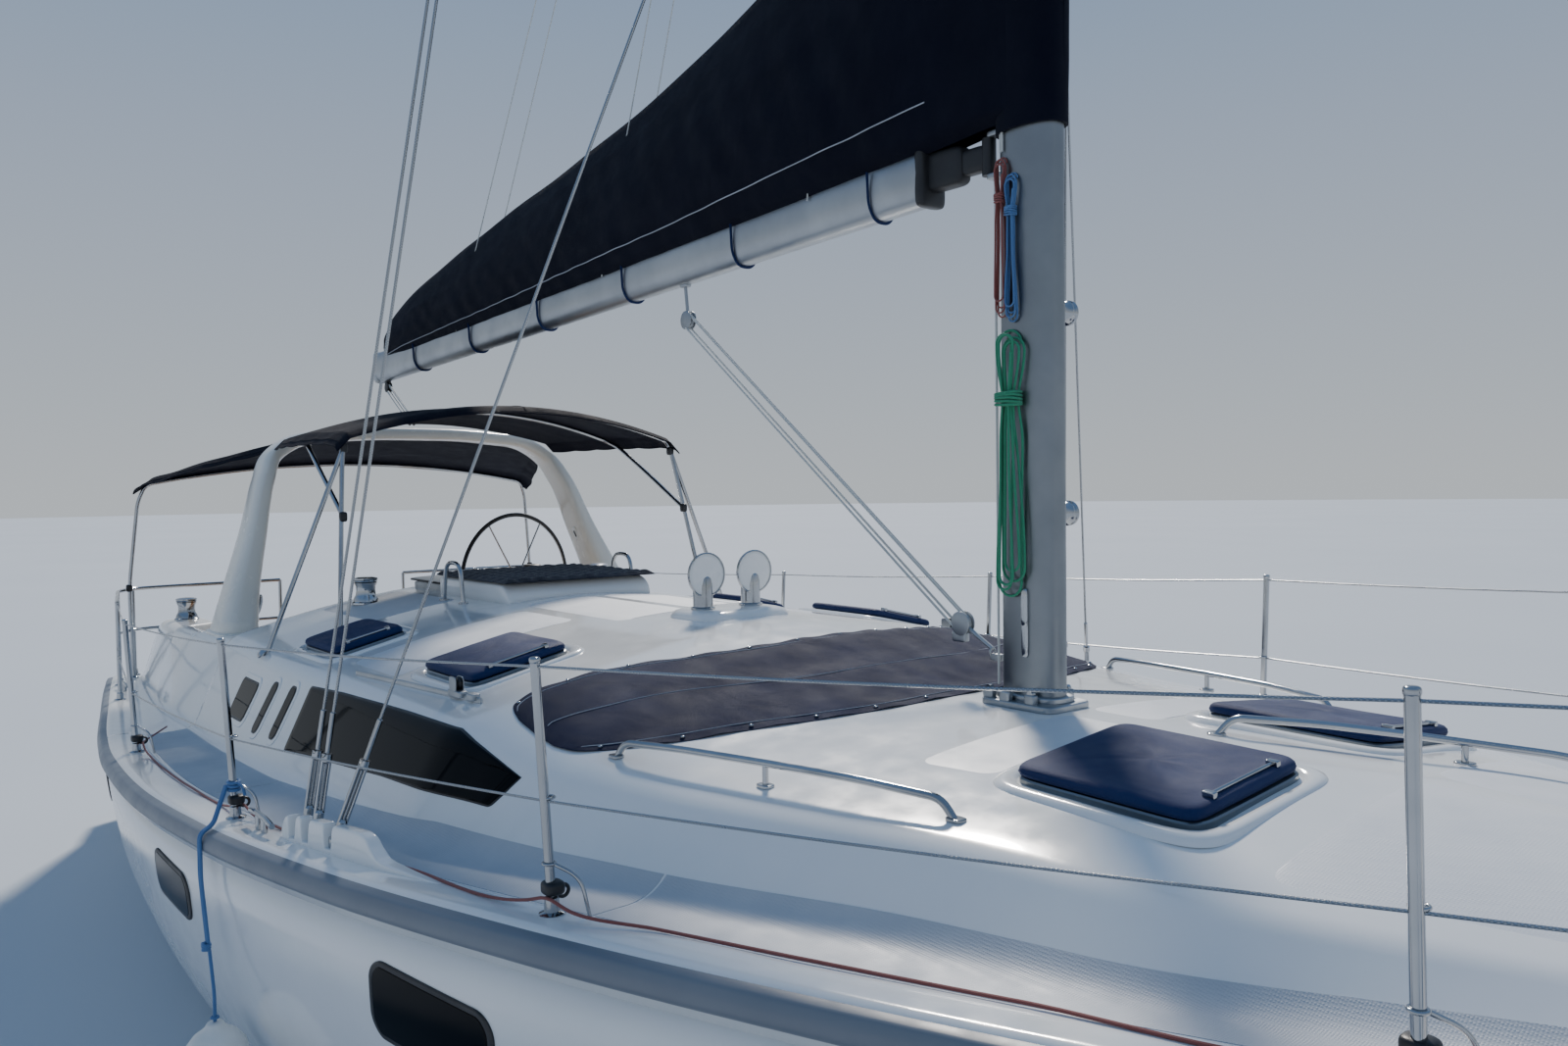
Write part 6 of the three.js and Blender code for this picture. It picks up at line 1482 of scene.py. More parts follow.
class YACHT_OT_rigging(bpy.types.Operator):
    """Make the shrouds with their rigging screws and chainplates, the spreaders and the furled headsail"""
    bl_idname = "yacht.rigging"
    bl_label = "Standing rigging"

    def execute(self, context):
        r = sizes().wire / MM
        for side, s in SIDES:
            start = np.array([110.0, s * 1895, 1372])
            low = spreader_tip(LOWER, s) + (0, s * 7.8, 0)
            high = spreader_tip(UPPER, s) + (0, s * 7.8, 0)
            wire = [rod(start, low, r), rod(low, high, r), rod(high, (1530, s * 72, 17300), r)]
            screws = turnbuckle(start, low, 380)
            piece = put(f"cap_wire_{side}", wire, "stranded_wire")
            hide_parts(f"cap_shroud_{side}")
            start2 = np.array([205.0, s * 1893, 1376])
            inner = [rod(start2, low + (6, -s * 16, -10), r)]
            screws += turnbuckle(start2, low, 380)
            start3 = np.array([360.0, s * 1883, 1380])
            end3 = np.array([1520.0, s * 71, 7020])
            inner.append(rod(start3, end3, r))
            screws += turnbuckle(start3, end3, 400)
            piece = put(f"lower_wires_{side}", inner, "stranded_wire")
            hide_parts(f"lower_shroud_{side}")
            for a, b in ((start, low), (start2, low), (start3, end3)):
                way = (b - a) / np.linalg.norm(b - a)
                screws.append(pad(a - way * 26, (22, 6, 44), (0.4, 0.4)))
            put(f"rigging_screws_{side}", screws, "polished_stainless")

        for name, level in (("lower_spreaders", LOWER), ("upper_spreaders", UPPER)):
            blades = []
            for s in (-1, 1):
                tip, root = spreader_tip(level, s), np.array([MAST_X, s * 62, level[0]], float)
                t = np.linspace(0, 1, 14)[:, None, None]
                a = full_turn(24)[None, :, None]
                chord, thick = 55 - 24 * t, 18 - 8 * t
                ahead, upwards = np.array([1, 0, 0]), np.array([0, 0, 1])
                p = root + (tip - root) * t + np.cos(a) * chord * ahead + np.sin(a) * thick * upwards
                mid = np.repeat(p.mean(1, keepdims=True), 25, 1)
                blades.append(sheet(np.concatenate([mid[:1], p, mid[-1:]]) * MM))
                blades.append(pad(root, (70, 12, 34), (0.4, 0.4)))
                blades.append(pad(tip, (34, 9, 13), (0.5, 0.6)))
            piece = put(name + "_blades", blades, "cast_alloy")
            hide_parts(name)

        foot = STAY_FOOT
        length = float(np.linalg.norm(STAY_HEAD - foot))
        h = np.concatenate([np.linspace(300, 2600, 60), np.linspace(2700, length - 900, 150)])
        radius = np.interp(h, [300, 420, 2600, 6500, 11000, length - 900], [24, 62, 84, 78, 58, 30])
        side, up, way = frame_of(STAY_HEAD - foot)
        a = full_turn(40)[None]
        # the sail's edge winds up the roll, one turn in 2600 mm
        spiral = 1 + 0.045 * np.abs(np.sin(a / 2 - h[:, None] * 2 * np.pi / 2600)) ** 0.5
        spiral = spiral + 0.012 * waves(a * 90, h[:, None], 2, 200)
        reach = (radius[:, None] * spiral * 0.97)[..., None]
        p = foot + h[:, None, None] * way + reach * (np.cos(a)[..., None] * side + np.sin(a)[..., None] * up)
        mid = foot + way * h[[0, -1], None]
        p = np.concatenate([np.repeat(mid[:1, None], 41, 1), p, np.repeat(mid[1:, None], 41, 1)])
        sail = put("headsail_roll", [sheet(p * MM)], "white_sailcloth", "furler", sharp=60)
        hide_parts("furled_headsail")
        drum = lathe([(0, 40), (95, 40), (97, 48), (95, 56), (60, 62), (58, 90), (60, 118), (95, 124),
                      (97, 132), (95, 140), (24, 146), (22, 302)], foot, way, 36)
        put("furling_drum", [drum], "black_nylon", "furler")
        put("forestay",
            [rod(foot + way * (length - 910), STAY_HEAD, 5),
             lathe([(0, -30), (40, -30), (42, 0), (30, 60), (14, 90), (0, 95)], foot + way * (length - 760),
                   way)], "polished_stainless", "furler")
        return {"FINISHED"}


def boom_z(x):
    """Height of the boom's middle, which rises forward."""
    return 3350 + (np.asarray(x, float) - BOOM_AFT) / (BOOM_FORE - BOOM_AFT) * (PIVOT_Z - 3350)


# Tackles: upper and lower block at x and z, their radius, half spread of the falls, x of the eye on the boom
TACKLES = [("vang", (-440, 3225), (1235, 1975), 42, 14, -460),
           ("mainsheet", (-4280, 3200), (-3850, 2941), 36, 12, -4290)]


class YACHT_OT_spars(bpy.types.Operator):
    """Make the mast with its foot plate and fittings, and the boom with its gooseneck"""
    bl_idname = "yacht.spars"
    bl_label = "Mast and boom"

    def execute(self, context):
        a = full_turn(60)[None]
        z = np.concatenate([np.linspace(1745, 5000, 30), np.linspace(5200, MASTHEAD, 40)])[:, None]
        x = MAST_X + 115 * power(np.cos(a), 0.85)
        y = 65 * power(np.sin(a), 0.85)
        cap = gathered(MAST_X, MASTHEAD, 61)
        parts = [sheet(np.concatenate([grid(x, y, z), cap])),
                 pad((MAST_X - 116, 0, 11200), (7, 13, 7200), (0.1, 0.4))]
        mast = put("mast_tube", parts, "anodised_aluminium", sharp=60)
        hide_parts("mast")
        foot = [pad((MAST_X, 0, 1744), (152, 112, 13), (0.25, 0.3)),
                pad((MAST_X, 0, 1764), (130, 80, 12), (0.3, 0.6))]
        steel = []
        for x, y in ((-120, -84), (-40, -96), (60, -92), (-120, 84), (-40, 96), (60, 92)):
            foot.append(pad((MAST_X + x, y, 1768), (22, 14, 18), (0.4, 0.5)))
            steel.append(lathe([(0, -8), (11, -8), (11, 8), (0, 8)], (MAST_X + x, y, 1786), (0, 1, 0), 16))
        foot += [pad((1390, 0, 1873), (24, 10, 12)), pad((MAST_X + 150, 0, 17290), (40, 8, 50), (0.4, 0.4)),
                 pad((1410, 0, PIVOT_Z + 70), (36, 24, 10), (0.3, 0.4)),
                 pad((1410, 0, PIVOT_Z - 70), (36, 24, 10), (0.3, 0.4))]
        put("mast_foot", foot, "cast_alloy")
        for zc in (2360, 3020):
            steel.append(lathe([(0, -6), (46, -6), (46, 12), (36, 20), (32, 50), (38, 66), (42, 70), (42, 80),
                                (26, 84), (0, 84)], (MAST_X + 30, 66, zc), (0, 1, 0)))
        for zc, yc in ((2060, -68), (1960, -66), (2100, 68), (3300, 68)):
            steel.append(pad((MAST_X + 18, yc, zc), (13, 9, 62), (0.4, 0.5)))
        steel += [rod((MAST_X, s * 66, z0), (MAST_X, s * 74, z0), 16) for z0 in (LOWER[0], UPPER[0])
                  for s in (-1, 1)]
        steel.append(pad((1667, 0, 9300), (14, 30, 46), (0.5, 0.6)))
        put("mast_fittings", steel, "polished_stainless")
        ropes = [rod((x0, y0, 3540), (x1, y0, 18300), 4.5, 8)
                 for x0, y0, x1 in ((1462, -50, 1470), (1478, -62, 1482), (1470, 56, 1474))]
        ropes += [rod((1424, y0, 1790), (1424, y0 * 1.1, 3480), 4.5, 8) for y0 in (-30, 34)]
        put("halyards", ropes, "white_rope")

        x = np.linspace(BOOM_AFT, BOOM_FORE, 50)[:, None]
        p = grid(x, 65 * power(np.cos(a), 0.8), boom_z(x) + 110 * power(np.sin(a), 0.8))
        ends = [gathered(e, float(boom_z(e)), 61) for e in (BOOM_AFT, BOOM_FORE)]
        body = [sheet(np.concatenate([ends[0], p, ends[1]]))]
        boom = put("boom_tube", body, "anodised_boom", "boom", sharp=60)
        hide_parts("boom")
        black = [pad((1175, 0, PIVOT_Z), (95, 34, 66), (0.3, 0.4)),
                 pad((1095, 0, PIVOT_Z - 4), (26, 66, 112), (0.25, 0.7)),
                 lathe([(0, -62), (24, -62), (24, 62), (0, 62)], (1370, 0, PIVOT_Z)),
                 pad((1310, 0, PIVOT_Z), (60, 22, 44), (0.4, 0.4))]
        put("gooseneck", black, "black_nylon", "boom")
        caps = [pad((BOOM_AFT - 2, 0, float(boom_z(BOOM_AFT))), (22, 67, 113), (0.35, 0.75))]
        put("boom_end", caps, "white_plastic", "boom")
        lines = [rod((x0, s * 70, float(boom_z(x0)) + 40), (1370, s * 18, 9700), 3.2, 8)
                 for s in (-1, 1) for x0 in (-2900, -1100, 500)]
        put("lazy_jacks", lines, "white_rope", "boom")

        for name, (xa, za), (xb, zb), wide, apart, eye in TACKLES:
            cheeks, ropes = [], []
            for x, z in ((xa, za), (xb, zb)):
                cheek = [(0, 0), (wide * 0.6, 0), (wide, 4), (wide, 7), (wide * 0.8, 10), (0, 12)]
                cheeks += [lathe(cheek, (x, s * 9, z), (0, s, 0)) for s in (-1, 1)]
                sheave = [(0, -9), (wide - 8, -9), (wide - 12, 0), (wide - 8, 9), (0, 9)]
                cheeks.append(lathe(sheave, (x, 0, z), (0, 1, 0)))
            top = float(boom_z(eye)) - 110
            cheeks += [rod((eye, 0, top), (xa, 0, za), 8), pad((eye, 0, top - 2), (30, 18, 8), (0.4, 0.6))]
            if name == "vang":
                cheeks += [rod((xb, 0, zb), (1370, 0, 1900), 8), ring((1370, 0, 1890), 12, 4, (1, 0, 0)),
                           pad((xb - 10, 0, zb - 46), (34, 15, 20), (0.4, 0.5))]
            d = np.array([xb - xa, 0, zb - za], float)
            d /= np.linalg.norm(d)
            for off, high in ((-1.0, 1), (1.0, 1), (-0.35, -1), (0.35, -1)):
                square = np.array([d[2], 0, -d[0]]) * high * (wide - 14)
                ropes.append(rod(*(np.array([x, off * apart, z]) + square for x, z in ((xa, za), (xb, zb))),
                                 5, 10))
            piece = put(f"{name}_blocks", cheeks, "cast_alloy" if name == "vang" else "black_nylon", "boom")
            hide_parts(name)
            put(f"{name}_falls", ropes, "white_rope", "boom")
        return {"FINISHED"}


# Stowed sail under its cover: x, top, half width, bottom
STOW = np.array([
    (-4232, 3590, 40, 3380), (-4170, 3660, 66, 3372), (-4100, 3700, 80, 3376), (-2530, 4010, 125, 3440),
    (-770, 4270, 155, 3520), (150, 4500, 165, 3560), (900, 4720, 150, 3600), (1240, 4850, 104, 3625),
    (1430, 4885, 82, 3640), (1540, 4890, 78, 3640)], float)


class YACHT_OT_sail_cover(bpy.types.Operator):
    """Make the canvas over the stowed mainsail, in one piece from the boom's end round the mast"""
    bl_idname = "yacht.sail_cover"
    bl_label = "Sail cover"

    def execute(self, context):
        x = np.concatenate([np.linspace(-4232, 1200, 190), np.linspace(1215, 1540, 40)])[:, None]
        top, half, low = (col(STOW, i, x) for i in (1, 2, 3))
        a = full_turn(96)[None]
        h = (1 - np.cos(a)) / 2
        sail = np.interp(h, [0, 0.04, 0.16, 0.34, 0.55, 0.78, 0.93, 1],
                         [0.25, 0.6, 0.88, 1, 0.93, 0.6, 0.26, 0.06])
        mast = np.clip((x - 700) / 700, 0, 1) ** 1.5
        side = sail * (1 - mast) + np.interp(h, [0, 0.02, 0.98, 1], [0.4, 1, 1, 0.3]) * mast
        loose = np.clip((1300 - x) / 500, 0, 1)
        lump = 1 + loose * (0.08 * waves(x * 0.5, h * 900, 21, 210)
                            + 0.05 * waves(x * 1.3 + h * 800, h * 500, 5, 80))
        y = np.where(np.sin(a) >= 0, 1, -1) * side * half * lump
        z = low + (top - low) * h + loose * 10 * waves(x, 2 * y, 6, 330) * (h > 0.6)
        p = np.stack([x + 0 * y, y, z], -1)
        ends = [np.repeat(q.mean(0)[None, None], 97, 1) for q in (p[0], p[-1])]
        # collar round the mast: an ellipse at each height, creased on the slant where it is laced up
        u = full_turn(80)[None]
        zc = np.linspace(3600, 4897, 60)[:, None]
        fold = 1 + 0.018 * waves(u * 70, zc, 12, 130) + 0.012 * waves(u * 40 + zc * 0.3, zc, 13, 60)
        oval = lambda wall: grid(MAST_X + (118 + wall) * fold * power(np.cos(u), 0.85),
                                 (68 + wall) * fold * power(np.sin(u), 0.85), zc)
        # the cover's nearly black canvas is navy with painted shade for its shaded side
        cover = put("sail_cover", [sheet(np.concatenate([ends[0], p, ends[1]]) * MM),
                                   slab(oval(2), oval(12))], "canvas_with_painted_shade", None, sharp=75)
        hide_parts("boom_cover", "mast_cover")
        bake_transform(cover)
        k = np.searchsorted(x[:, 0], 1180)
        seams = [tube(p[2:k, row] * (1, 1.012, 1) * MM, 2.4 * MM, 6) for row in (11, -12)]
        put("sail_cover_piping", seams, "pale_piping", "boom")
        ties = []
        for at in (-3600, -2700, -1800, -900, 0, 850):
            r = [(at, s * w, float(boom_z(at)) + dz) for s, w, dz in
                 ((-1, 76, 60), (-1, 70, -60), (-1, 36, -114), (1, 36, -114), (1, 70, -60), (1, 76, 60))]
            ties.append(tube(bend(r, 40), 7 * MM, 8, 0.25))
        put("sail_cover_ties", ties, "fitted_canvas", "boom")
        return {"FINISHED"}


# Winch, from its foot to its jaws: radius, height
WINCH = [(0, -4), (78, -4), (78, 6), (70, 12), (66, 30), (58, 44), (55, 50), (52, 75), (54, 98), (61, 112),
         (64, 118), (52, 124), (52, 130), (66, 134), (67, 143), (46, 149), (30, 150), (0, 150)]


class YACHT_OT_helm(bpy.types.Operator):
    """Make the wheel with its leather rim, the pedestal with its compass, and the deck winches"""
    bl_idname = "yacht.helm"
    bl_label = "Helm and winches"

    def execute(self, context):
        turn = math.radians(13)
        ahead = np.array([math.cos(turn), math.sin(turn), 0])
        beside = np.array([-math.sin(turn), math.cos(turn), 0])
        c, up = np.array([-3950.0, 800, 1790]), np.array([0, 0, 1.0])
        leather = put("wheel_rim", [ring(c, 480, 14, ahead, 96, 14)], "wheel_leather", "wheel")
        spokes = []
        for k in range(6):
            a = 2 * math.pi * k / 6
            way = beside * math.cos(a) + up * math.sin(a)
            path = bend([c + ahead * 14, c + way * 60 + ahead * 6, c + way * 470], 60)
            spokes.append(tube(path, 6 * MM, 10))
        hub = [(0, -25), (30, -25), (46, -14), (46, 8), (34, 24), (16, 30), (16, 84), (0, 84)]
        spokes += [lathe(hub, c, ahead), ring(c, 466, 4, ahead, 96, 8)]
        steel = put("wheel_spokes", spokes, "polished_stainless", "wheel")
        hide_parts("wheel")
        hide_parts("wheel")
        base = c + ahead * 185
        at = (base[0], base[1], 0)
        body = [lathe([(0, 975), (134, 978), (134, 990), (112, 1010), (92, 1050), (82, 1250), (78, 1500),
                       (84, 1740), (100, 1820), (104, 1860), (96, 1885), (0, 1890)], at, sides=40),
                rod(c + ahead * 86, base, 32)]
        pedestal = put("pedestal_moulding", body, "warm_gelcoat", sharp=50)
        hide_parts("pedestal")
        put("compass", [lathe([(0, 1886), (66, 1886), (68, 1898), (60, 1906), (44, 1909), (0, 1911)], at)],
            "black_nylon")

        for kind, (x, y, z) in (("cabin_winch", on_roof(-2650, 750)),
                                ("cockpit_winch", (-4850, 1240, float(col(COCKPIT, 4, -4850))))):
            for side, s in SIDES:
                winch = put(f"{kind}_drum_{side}",
                            [lathe(WINCH, (x, s * y, z), sides=48),
                             ring((x, s * y, z + 127), 60, 5, (0, 0, 1), 48, 8)], "polished_stainless",
                            sharp=30)
                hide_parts(f"{kind}_{side}")
        return {"FINISHED"}


class YACHT_OT_deck_gear(bpy.types.Operator):
    """Make the vents, the headsail tracks, the bow fitting, the anchor, the furling line and the cleats"""
    bl_idname = "yacht.deck_gear"
    bl_label = "Deck gear"

    def execute(self, context):
        cowls, discs = [], []
        section = [(1, 24, -30), (1, 20, 6), (1, 4, 26), (0.9, 0, 34), (0.5, 0, 36), (0, 0, 36)]
        plinth = [rim(np.array([-150.0, 0, 1894]), np.eye(3), (160, 215), section, 0.4)]
        put("vent_plinth", plinth, "white_gelcoat", sharp=60)
        for y in (-130, 130):
            cowls.append(lathe([(0, 1925), (52, 1926), (54, 1936), (44, 1940), (43, 2030), (40, 2062),
                                (30, 2086), (0, 2096)], (-168, y, 0), sides=36))
            cowls.append(lathe([(0, -40), (34, -38), (60, -22), (88, -2), (97, 8), (97, 15), (92, 17),
                                (90, 12)], (-150, y, 2080), (1, 0, 0), 44))
            discs.append(lathe([(90, 6), (90, 12), (84, 15), (70, 14), (30, 17), (0, 18)], (-150, y, 2080),
                               (1, 0, 0), 44))
        vents = put("vent_cowls", cowls, "polished_stainless", sharp=50)
        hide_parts("vents")
        put("vent_discs", discs, "white_plastic", sharp=50)

        track, cars, sheaves = [], [], []
        for s in (-1, 1):
            side = lambda x: s * np.interp(x, [-960, 120], [1368, 1290])
            x = np.linspace(-960, 120, 40)
            track.append(tube(grid(x, side(x), roof(x, side(x)) + 7), 14 * MM, 10, 0.4))
            x, y, z = on_roof(-60, float(side(-60)))
            cars.append(pad((x, y, z + 18), (56, 20, 13), (0.3, 0.5)))
            cars += [pad((x - 6, y + d, z + 52), (30, 4, 28), (0.4, 0.8)) for d in (-15, 15)]
            sheaves.append(lathe([(0, -9), (26, -9), (20, 0), (26, 9), (0, 9)], (x - 6, y, z + 54),
                                 (0, 1, 0)))
            cars.append(pad(on_roof(60, float(side(60)), 18), (26, 20, 13), (0.3, 0.5)))
        put("headsail_tracks", track, "anodised_boom")
        put("headsail_cars", cars, "cast_alloy")
        put("headsail_sheaves", sheaves, "black_nylon")

        foot, way = STAY_FOOT, STAY_HEAD - STAY_FOOT
        way /= np.linalg.norm(way)
        cheeks = []
        for y in (-1, 1):
            x = np.linspace(5780, 6330, 40)
            z0 = np.interp(x, [5780, 6234, 6260, 6330], [1626, 1640, 1606, 1594])
            z1 = np.interp(x, [5780, 5820, 6250, 6300, 6330], [1664, 1673, 1673, 1660, 1640])
            cheeks.append(slab(*(np.stack([grid(x, y * w, z) for w in (50, 60)], 1) for z in (z0, z1))))
        cheeks += [pad((6000, 0, 1634), (220, 56, 7), (0.2, 0.2)), rod(foot - way * 140, foot + way * 39, 10),
                   pad(foot - way * 130, (26, 16, 30), (0.4, 0.5)),
                   rod((6290, -58, 1628), (6290, 58, 1628), 8)]
        bow = put("bow_fitting", cheeks, "polished_stainless", sharp=30)
        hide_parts("bow_roller")
        put("bow_wheel",
            [lathe([(0, -44), (34, -44), (24, 0), (34, 44), (0, 44)], (6290, 0, 1637), (0, 1, 0))],
            "black_nylon")
        shank = [pad((6210, 0, 1694), (206, 11, 21), (0.2, 0.3))]
        # the fluke is a plate 9 mm thick along its spine, bent back at both edges and pointed below
        t = np.linspace(0, 1, 30)[:, None]
        v = np.linspace(-1, 1, 17)[None]
        spine = [(6405, 1705), (6470, 1640), (6478, 1500), (6430, 1380), (6345, 1305)]
        line = spline([(x, 0, z) for x, z in spine], 30) / MM
        x, z = line[:, :1] - 34 * np.abs(v) ** 1.5 * np.sin(np.pi * t), line[:, 2:]
        y = 40 * np.sin(np.pi * (0.12 + 0.88 * t)) ** 0.6 * v
        shank.append(slab(grid(x, y, z), grid(x + 9, y, z)))
        anchor = put("plough_anchor", shank, "polished_stainless", sharp=50)
        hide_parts("anchor")

        # furling line, led through the stanchion feet and lying on the gunwale's inner edge between them
        route = [(-2750, 1770, 1240)]
        for x in STANCHIONS[::-1]:
            inner = 134 if x < 0 else 90
            lead = lambda d, inset, up: (x + d, gunwale(x + d, inset)[0], gunwale(x + d, inset)[1] + up)
            route += [lead(-60, inner, 30), lead(0, inner, 44), lead(90, inner, 24), lead(300, 142, 6),
                      lead(700, 146, 6), lead(1150 if x < 3000 else 900, 146, 6)]
        route += [(4700, 420, 1618), (5300, 250, 1640), (5700, 120, 1740), (5935, 60, 1872)]
        path = spline([(x, -y, z) for x, y, z in route], 520)
        put("furling_line", [tube(path, 4.5 * MM, 8)], "red_rope")
        cleats = []
        for x in (4450, -120, -4600):
            inner, z = gunwale(x, 95 * float(narrow(beam(x))))
            for y in (-inner, inner):
                horn = [(x + d, y, z + up) for d, up in ((-130, 44), (-60, 52), (60, 52), (130, 44))]
                cleats.append(tube(bend(horn, 40), 10 * MM))
                cleats += [rod((x + d, y, z), (x + d, y, z + 50), 11) for d in (-34, 34)]
        put("mooring_cleats", cleats, "polished_stainless")
        return {"FINISHED"}


class YACHT_OT_underwater(bpy.types.Operator):
    """Give the keel, rudder, propeller, engine and cabin sole their finishes"""
    bl_idname = "yacht.underwater"
    bl_label = "Underwater gear"

    def execute(self, context):
        for name, material in (("keel", "antifouling"), ("rudder", "antifouling"),
                               ("propeller", "aged_bronze"), ("prop_strut", "aged_bronze"),
                               ("engine", "black_nylon"), ("cabin_sole", "teak_planks")):
            dress(name, material)
        return {"FINISHED"}


# Rope tails hung in turns on the mast: node, x, top, bottom, width, depth, inner face, diameter, finish
HANKS = [("halyard_hank", 1525, 2960, 2090, 124, 56, -65.3, 9, "green_rope"),
         ("lift_hank", 1530, 3460, 2980, 44, 33.7, -65.3, 6, "blue_rope"),
         ("reefing_hank", 1482, 3520, 3000, 44, 33.7, -59.9, 6, "red_rope")]
# Each turn of a hank: share of the width, side it hangs to, how much its foot and its head hang short
TURNS = [(0.82, -1, 0, 0), (0.79, 1, 0.058, 0.03), (0.52, -0.75, 0.025, 0.014), (0.52, 0.75, 0.097, 0.046),
         (0.49, 0.1, 0.046, 0.02)]
TIED = 0.26                        # share of a hank's height from its head down to the tie


def hank_path(x, top, bottom, width, depth, face, rope, seed):
    """Long turns in layers out from the mast: half circles at the head and the foot, and falls that wander
    inwards by sin^2 along their length and draw together by a Gaussian at the tie."""
    rng = np.random.default_rng(seed)
    full, step, tall = (width - rope) / 2, rope * 1.03, top - bottom
    count = min(len(TURNS), int((depth - rope) / step))
    a, s = np.linspace(0, np.pi, 14), np.linspace(0, 1, 26)[1:-1]
    ease = (1 - np.cos(np.pi * s)) / 2
    radius = [max(3.1 * rope, full * turn[0]) for turn in TURNS]
    middle = [x + turn[1] * (full - r) for turn, r in zip(TURNS, radius)]
    heads = [top - r - rope / 2 - turn[3] * tall for turn, r in zip(TURNS, radius)]
    out = []
    for k in range(count):
        r, c, head, after = radius[k], middle[k], heads[k], min(k + 1, count - 1)
        foot = bottom + r + rope / 2 + TURNS[k][2] * tall
        left, right = rng.uniform(0.05, 0.75, 2) * min(1, 16 / r)
        down = x + (c - r - x) * (1 - left * np.sin(np.pi * s) ** 2)
        rise = (c + r) * (1 - ease) + (middle[after] + radius[after]) * ease
        rise = x + (rise - x) * (1 - right * np.sin(np.pi * s) ** 2)
        xs = np.concatenate([c + r * np.cos(a), down, c - r * np.cos(a), rise])
        zs = np.concatenate([head + r * np.sin(a), head + (foot - head) * s, foot - r * np.sin(a),
                             foot + (heads[after] - foot) * s])
        ys = face - rope / 2 - 0.3 - step * (k + np.linspace(0, 1, len(xs), endpoint=False))
        out.append(np.stack([xs, ys, zs], 1))
    p = np.concatenate(out)
    tie = np.exp(-((p[:, 2] - top + TIED * tall) / (0.1 * tall)) ** 2)
    p[:, 0] = x + (p[:, 0] - x) * (1 - 0.42 * tie)
    p[:, 1] = face - depth / 2 + (p[:, 1] - face + depth / 2) * (1 - 0.2 * tie)
    return p * MM


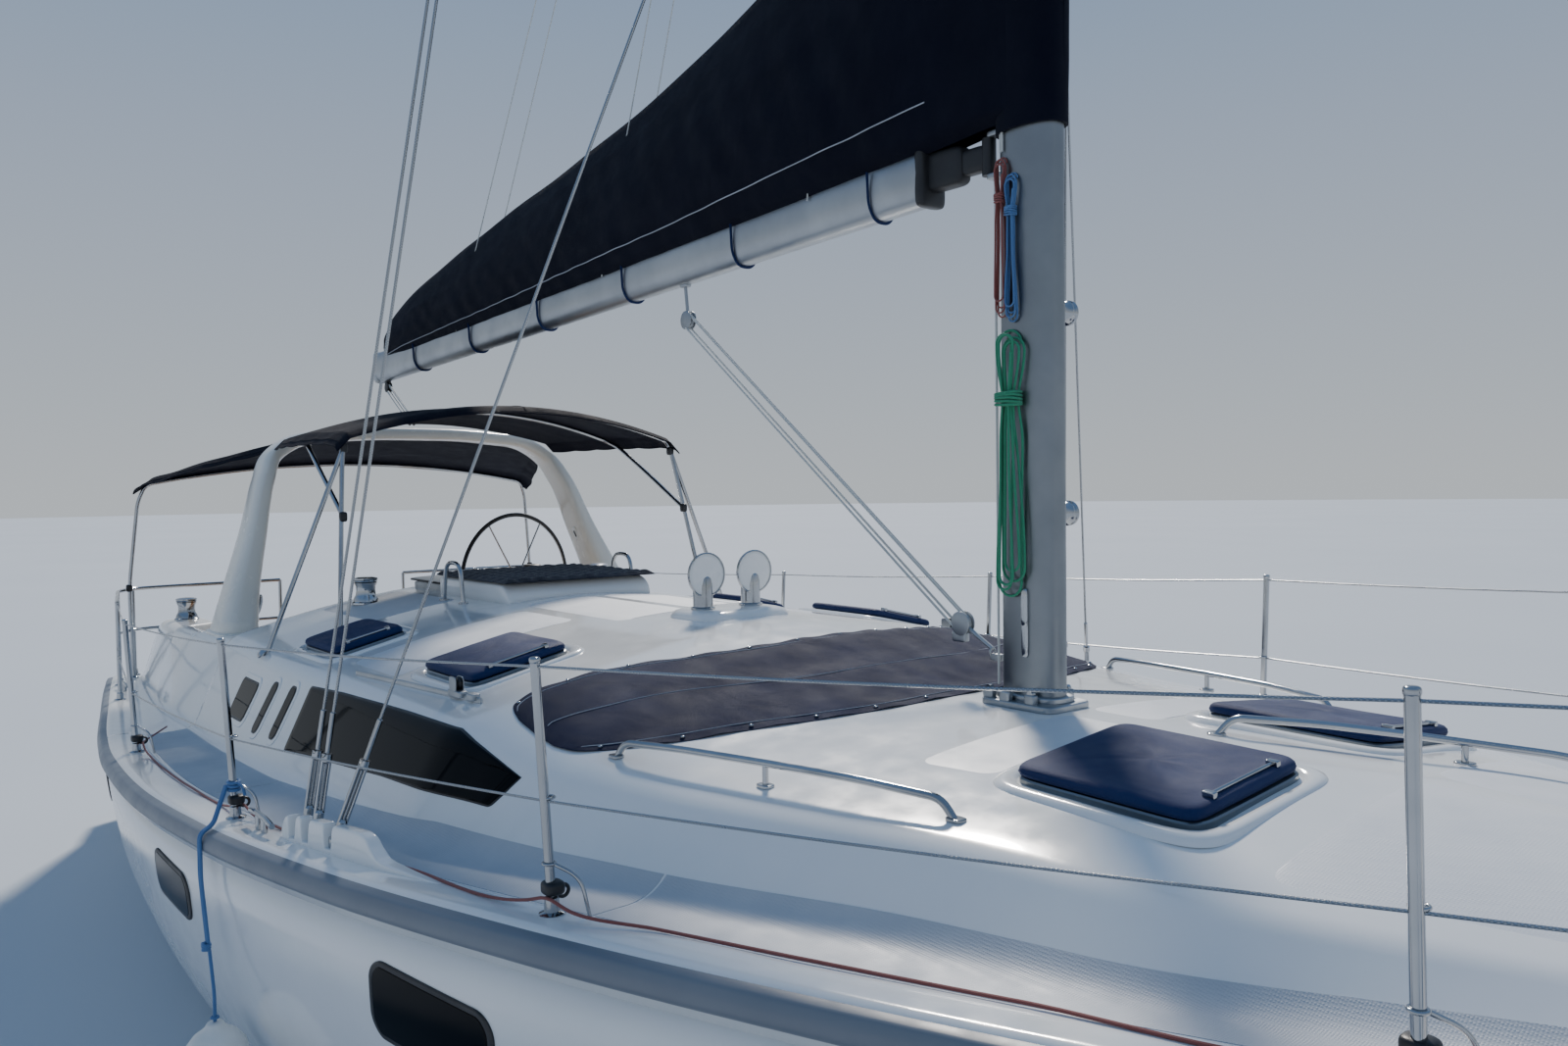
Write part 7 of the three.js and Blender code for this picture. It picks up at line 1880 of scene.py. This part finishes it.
class YACHT_OT_ropes(bpy.types.Operator):
    """Make the fender with its line and the rope tails on the mast, at their real lengths"""
    bl_idname = "yacht.ropes"
    bl_label = "Fender and free ropes"

    def execute(self, context):
        x, y, post = -300, -2096.0, -410
        (edge, rail), (foot, deck) = gunwale(x, -38.9), gunwale(post, 110)
        edge, foot = -edge, -foot
        body = [(0, -40), (26, -39), (30, -32), (34, -24), (52, -10), (72, 6), (98, 40), (109, 85),
                (110, 130)]
        body += [(110, 390), (109, 435), (98, 480), (72, 514), (52, 528), (34, 542), (30, 550), (26, 557),
                 (0, 558)]
        fender = put("fender_body", [lathe(body, (x, y, 90), sides=48)], "fender_vinyl", sharp=60)
        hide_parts("fender")
        over = [(x, edge, rail - 12), (x - 8, edge + 45, rail + 10), (post, foot - 28.5, deck + 117)]
        path = bend([(x, y, 650.3), (x, y, 750), (x, edge, rail - 170), *over], 30, 8)
        line = put("fender_rope", [tube(path, 6 * MM, 12)], "blue_rope")
        # the doubled part above its knot, the knot, and the turns round the stanchion
        second = bend([(x - 9, y - 14, 905), (x - 10, edge - 3, rail - 150),
                       *((a - 12, b - 1, c) for a, b, c in over)], 30, 8)
        knot = [ring((x - 2, y - 20 + d, 912 + 9 * d), 10, 6, (0.3 * d, 0.2, 1), 20, 8) for d in (-1, 0, 1)]
        knot += [tube(bend([(x - 4, y - 22, 912), (x - 34, y - 26, 920), (x - 40, y - 24, 902)], 8), 5 * MM,
                      8), ring((x, y, 664), 10, 5, (0, 0, 1), 20, 8), tube(second, 6 * MM, 12)]
        hitch = [ring((post, foot - 5, deck + d), 19, 6, (0.1, 0, 1), 24, 8) for d in (104, 117, 130)]
        hitch.append(tube(bend([(post + 16, foot, deck + 130), (post + 30, foot + 18, deck + 116),
                                (post + 36, foot + 22, deck + 84)], 12), 5.5 * MM, 8))
        tie = put("fender_knots", knot + hitch, "blue_rope")
        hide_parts("fender_line")
        a = np.linspace(0, 2 * np.pi, 48, endpoint=False)
        for k, (name, hx, high, low, width, depth, face, rope, look) in enumerate(HANKS):
            path = hank_path(hx, high, low, width, depth, face, rope, k)
            piece = put(f"{name}_rope", [tube(path, rope / 2 * MM, 10)], look)
            wrap = []
            for d in range(5):
                zc = high - TIED * (high - low) + (2 - d) * rope + 0.35 * rope * np.cos(a + d)
                turn = grid(hx + (0.31 * width + rope * 0.4) * power(np.cos(a), 0.6),
                            face - depth / 2 + depth / 2 * power(np.sin(a), 0.6), zc)
                wrap.append(tube(turn, rope / 2 * MM, 8, closed=True))
            tie = put(f"{name}_tie", wrap, look)
            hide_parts(name)
        return {"FINISHED"}


# The order that the pieces are made in
MAKERS = [YACHT_OT_stage, YACHT_OT_ropes, YACHT_OT_hull, YACHT_OT_deck, YACHT_OT_nonslip, YACHT_OT_cockpit,
          YACHT_OT_band, YACHT_OT_glass, YACHT_OT_hatches, YACHT_OT_canvas, YACHT_OT_arch, YACHT_OT_biminis,
          YACHT_OT_rails, YACHT_OT_rigging, YACHT_OT_spars, YACHT_OT_sail_cover, YACHT_OT_helm,
          YACHT_OT_deck_gear, YACHT_OT_underwater]


class YACHT_PT_pieces(bpy.types.Panel):
    """Lists the operators that make the yacht, in order"""
    bl_idname = "YACHT_PT_pieces"
    bl_label = "Yacht"
    bl_space_type = "VIEW_3D"
    bl_region_type = "UI"
    bl_category = "Yacht"

    def draw(self, context):
        for group in (context.scene.yacht_sizes, context.scene.yacht_colours):
            for name in group.bl_rna.properties.keys():
                if name not in ("rna_type", "name"):
                    self.layout.prop(group, name)
        for maker in MAKERS:
            self.layout.operator(maker.bl_idname)


CLASSES = (YachtColours, YachtSizes, *MAKERS, YACHT_PT_pieces)


def register():
    for each in CLASSES:
        bpy.utils.register_class(each)
    bpy.types.Scene.yacht_colours = bpy.props.PointerProperty(type=YachtColours)
    bpy.types.Scene.yacht_sizes = bpy.props.PointerProperty(type=YachtSizes)


def unregister():
    del bpy.types.Scene.yacht_sizes
    del bpy.types.Scene.yacht_colours
    for each in reversed(CLASSES):
        bpy.utils.unregister_class(each)


def main():
    """Makes every piece in order."""
    register()
    for maker in MAKERS:
        group, action = maker.bl_idname.split(".")
        getattr(getattr(bpy.ops, group), action)()


if __name__ == "__main__":
    main()
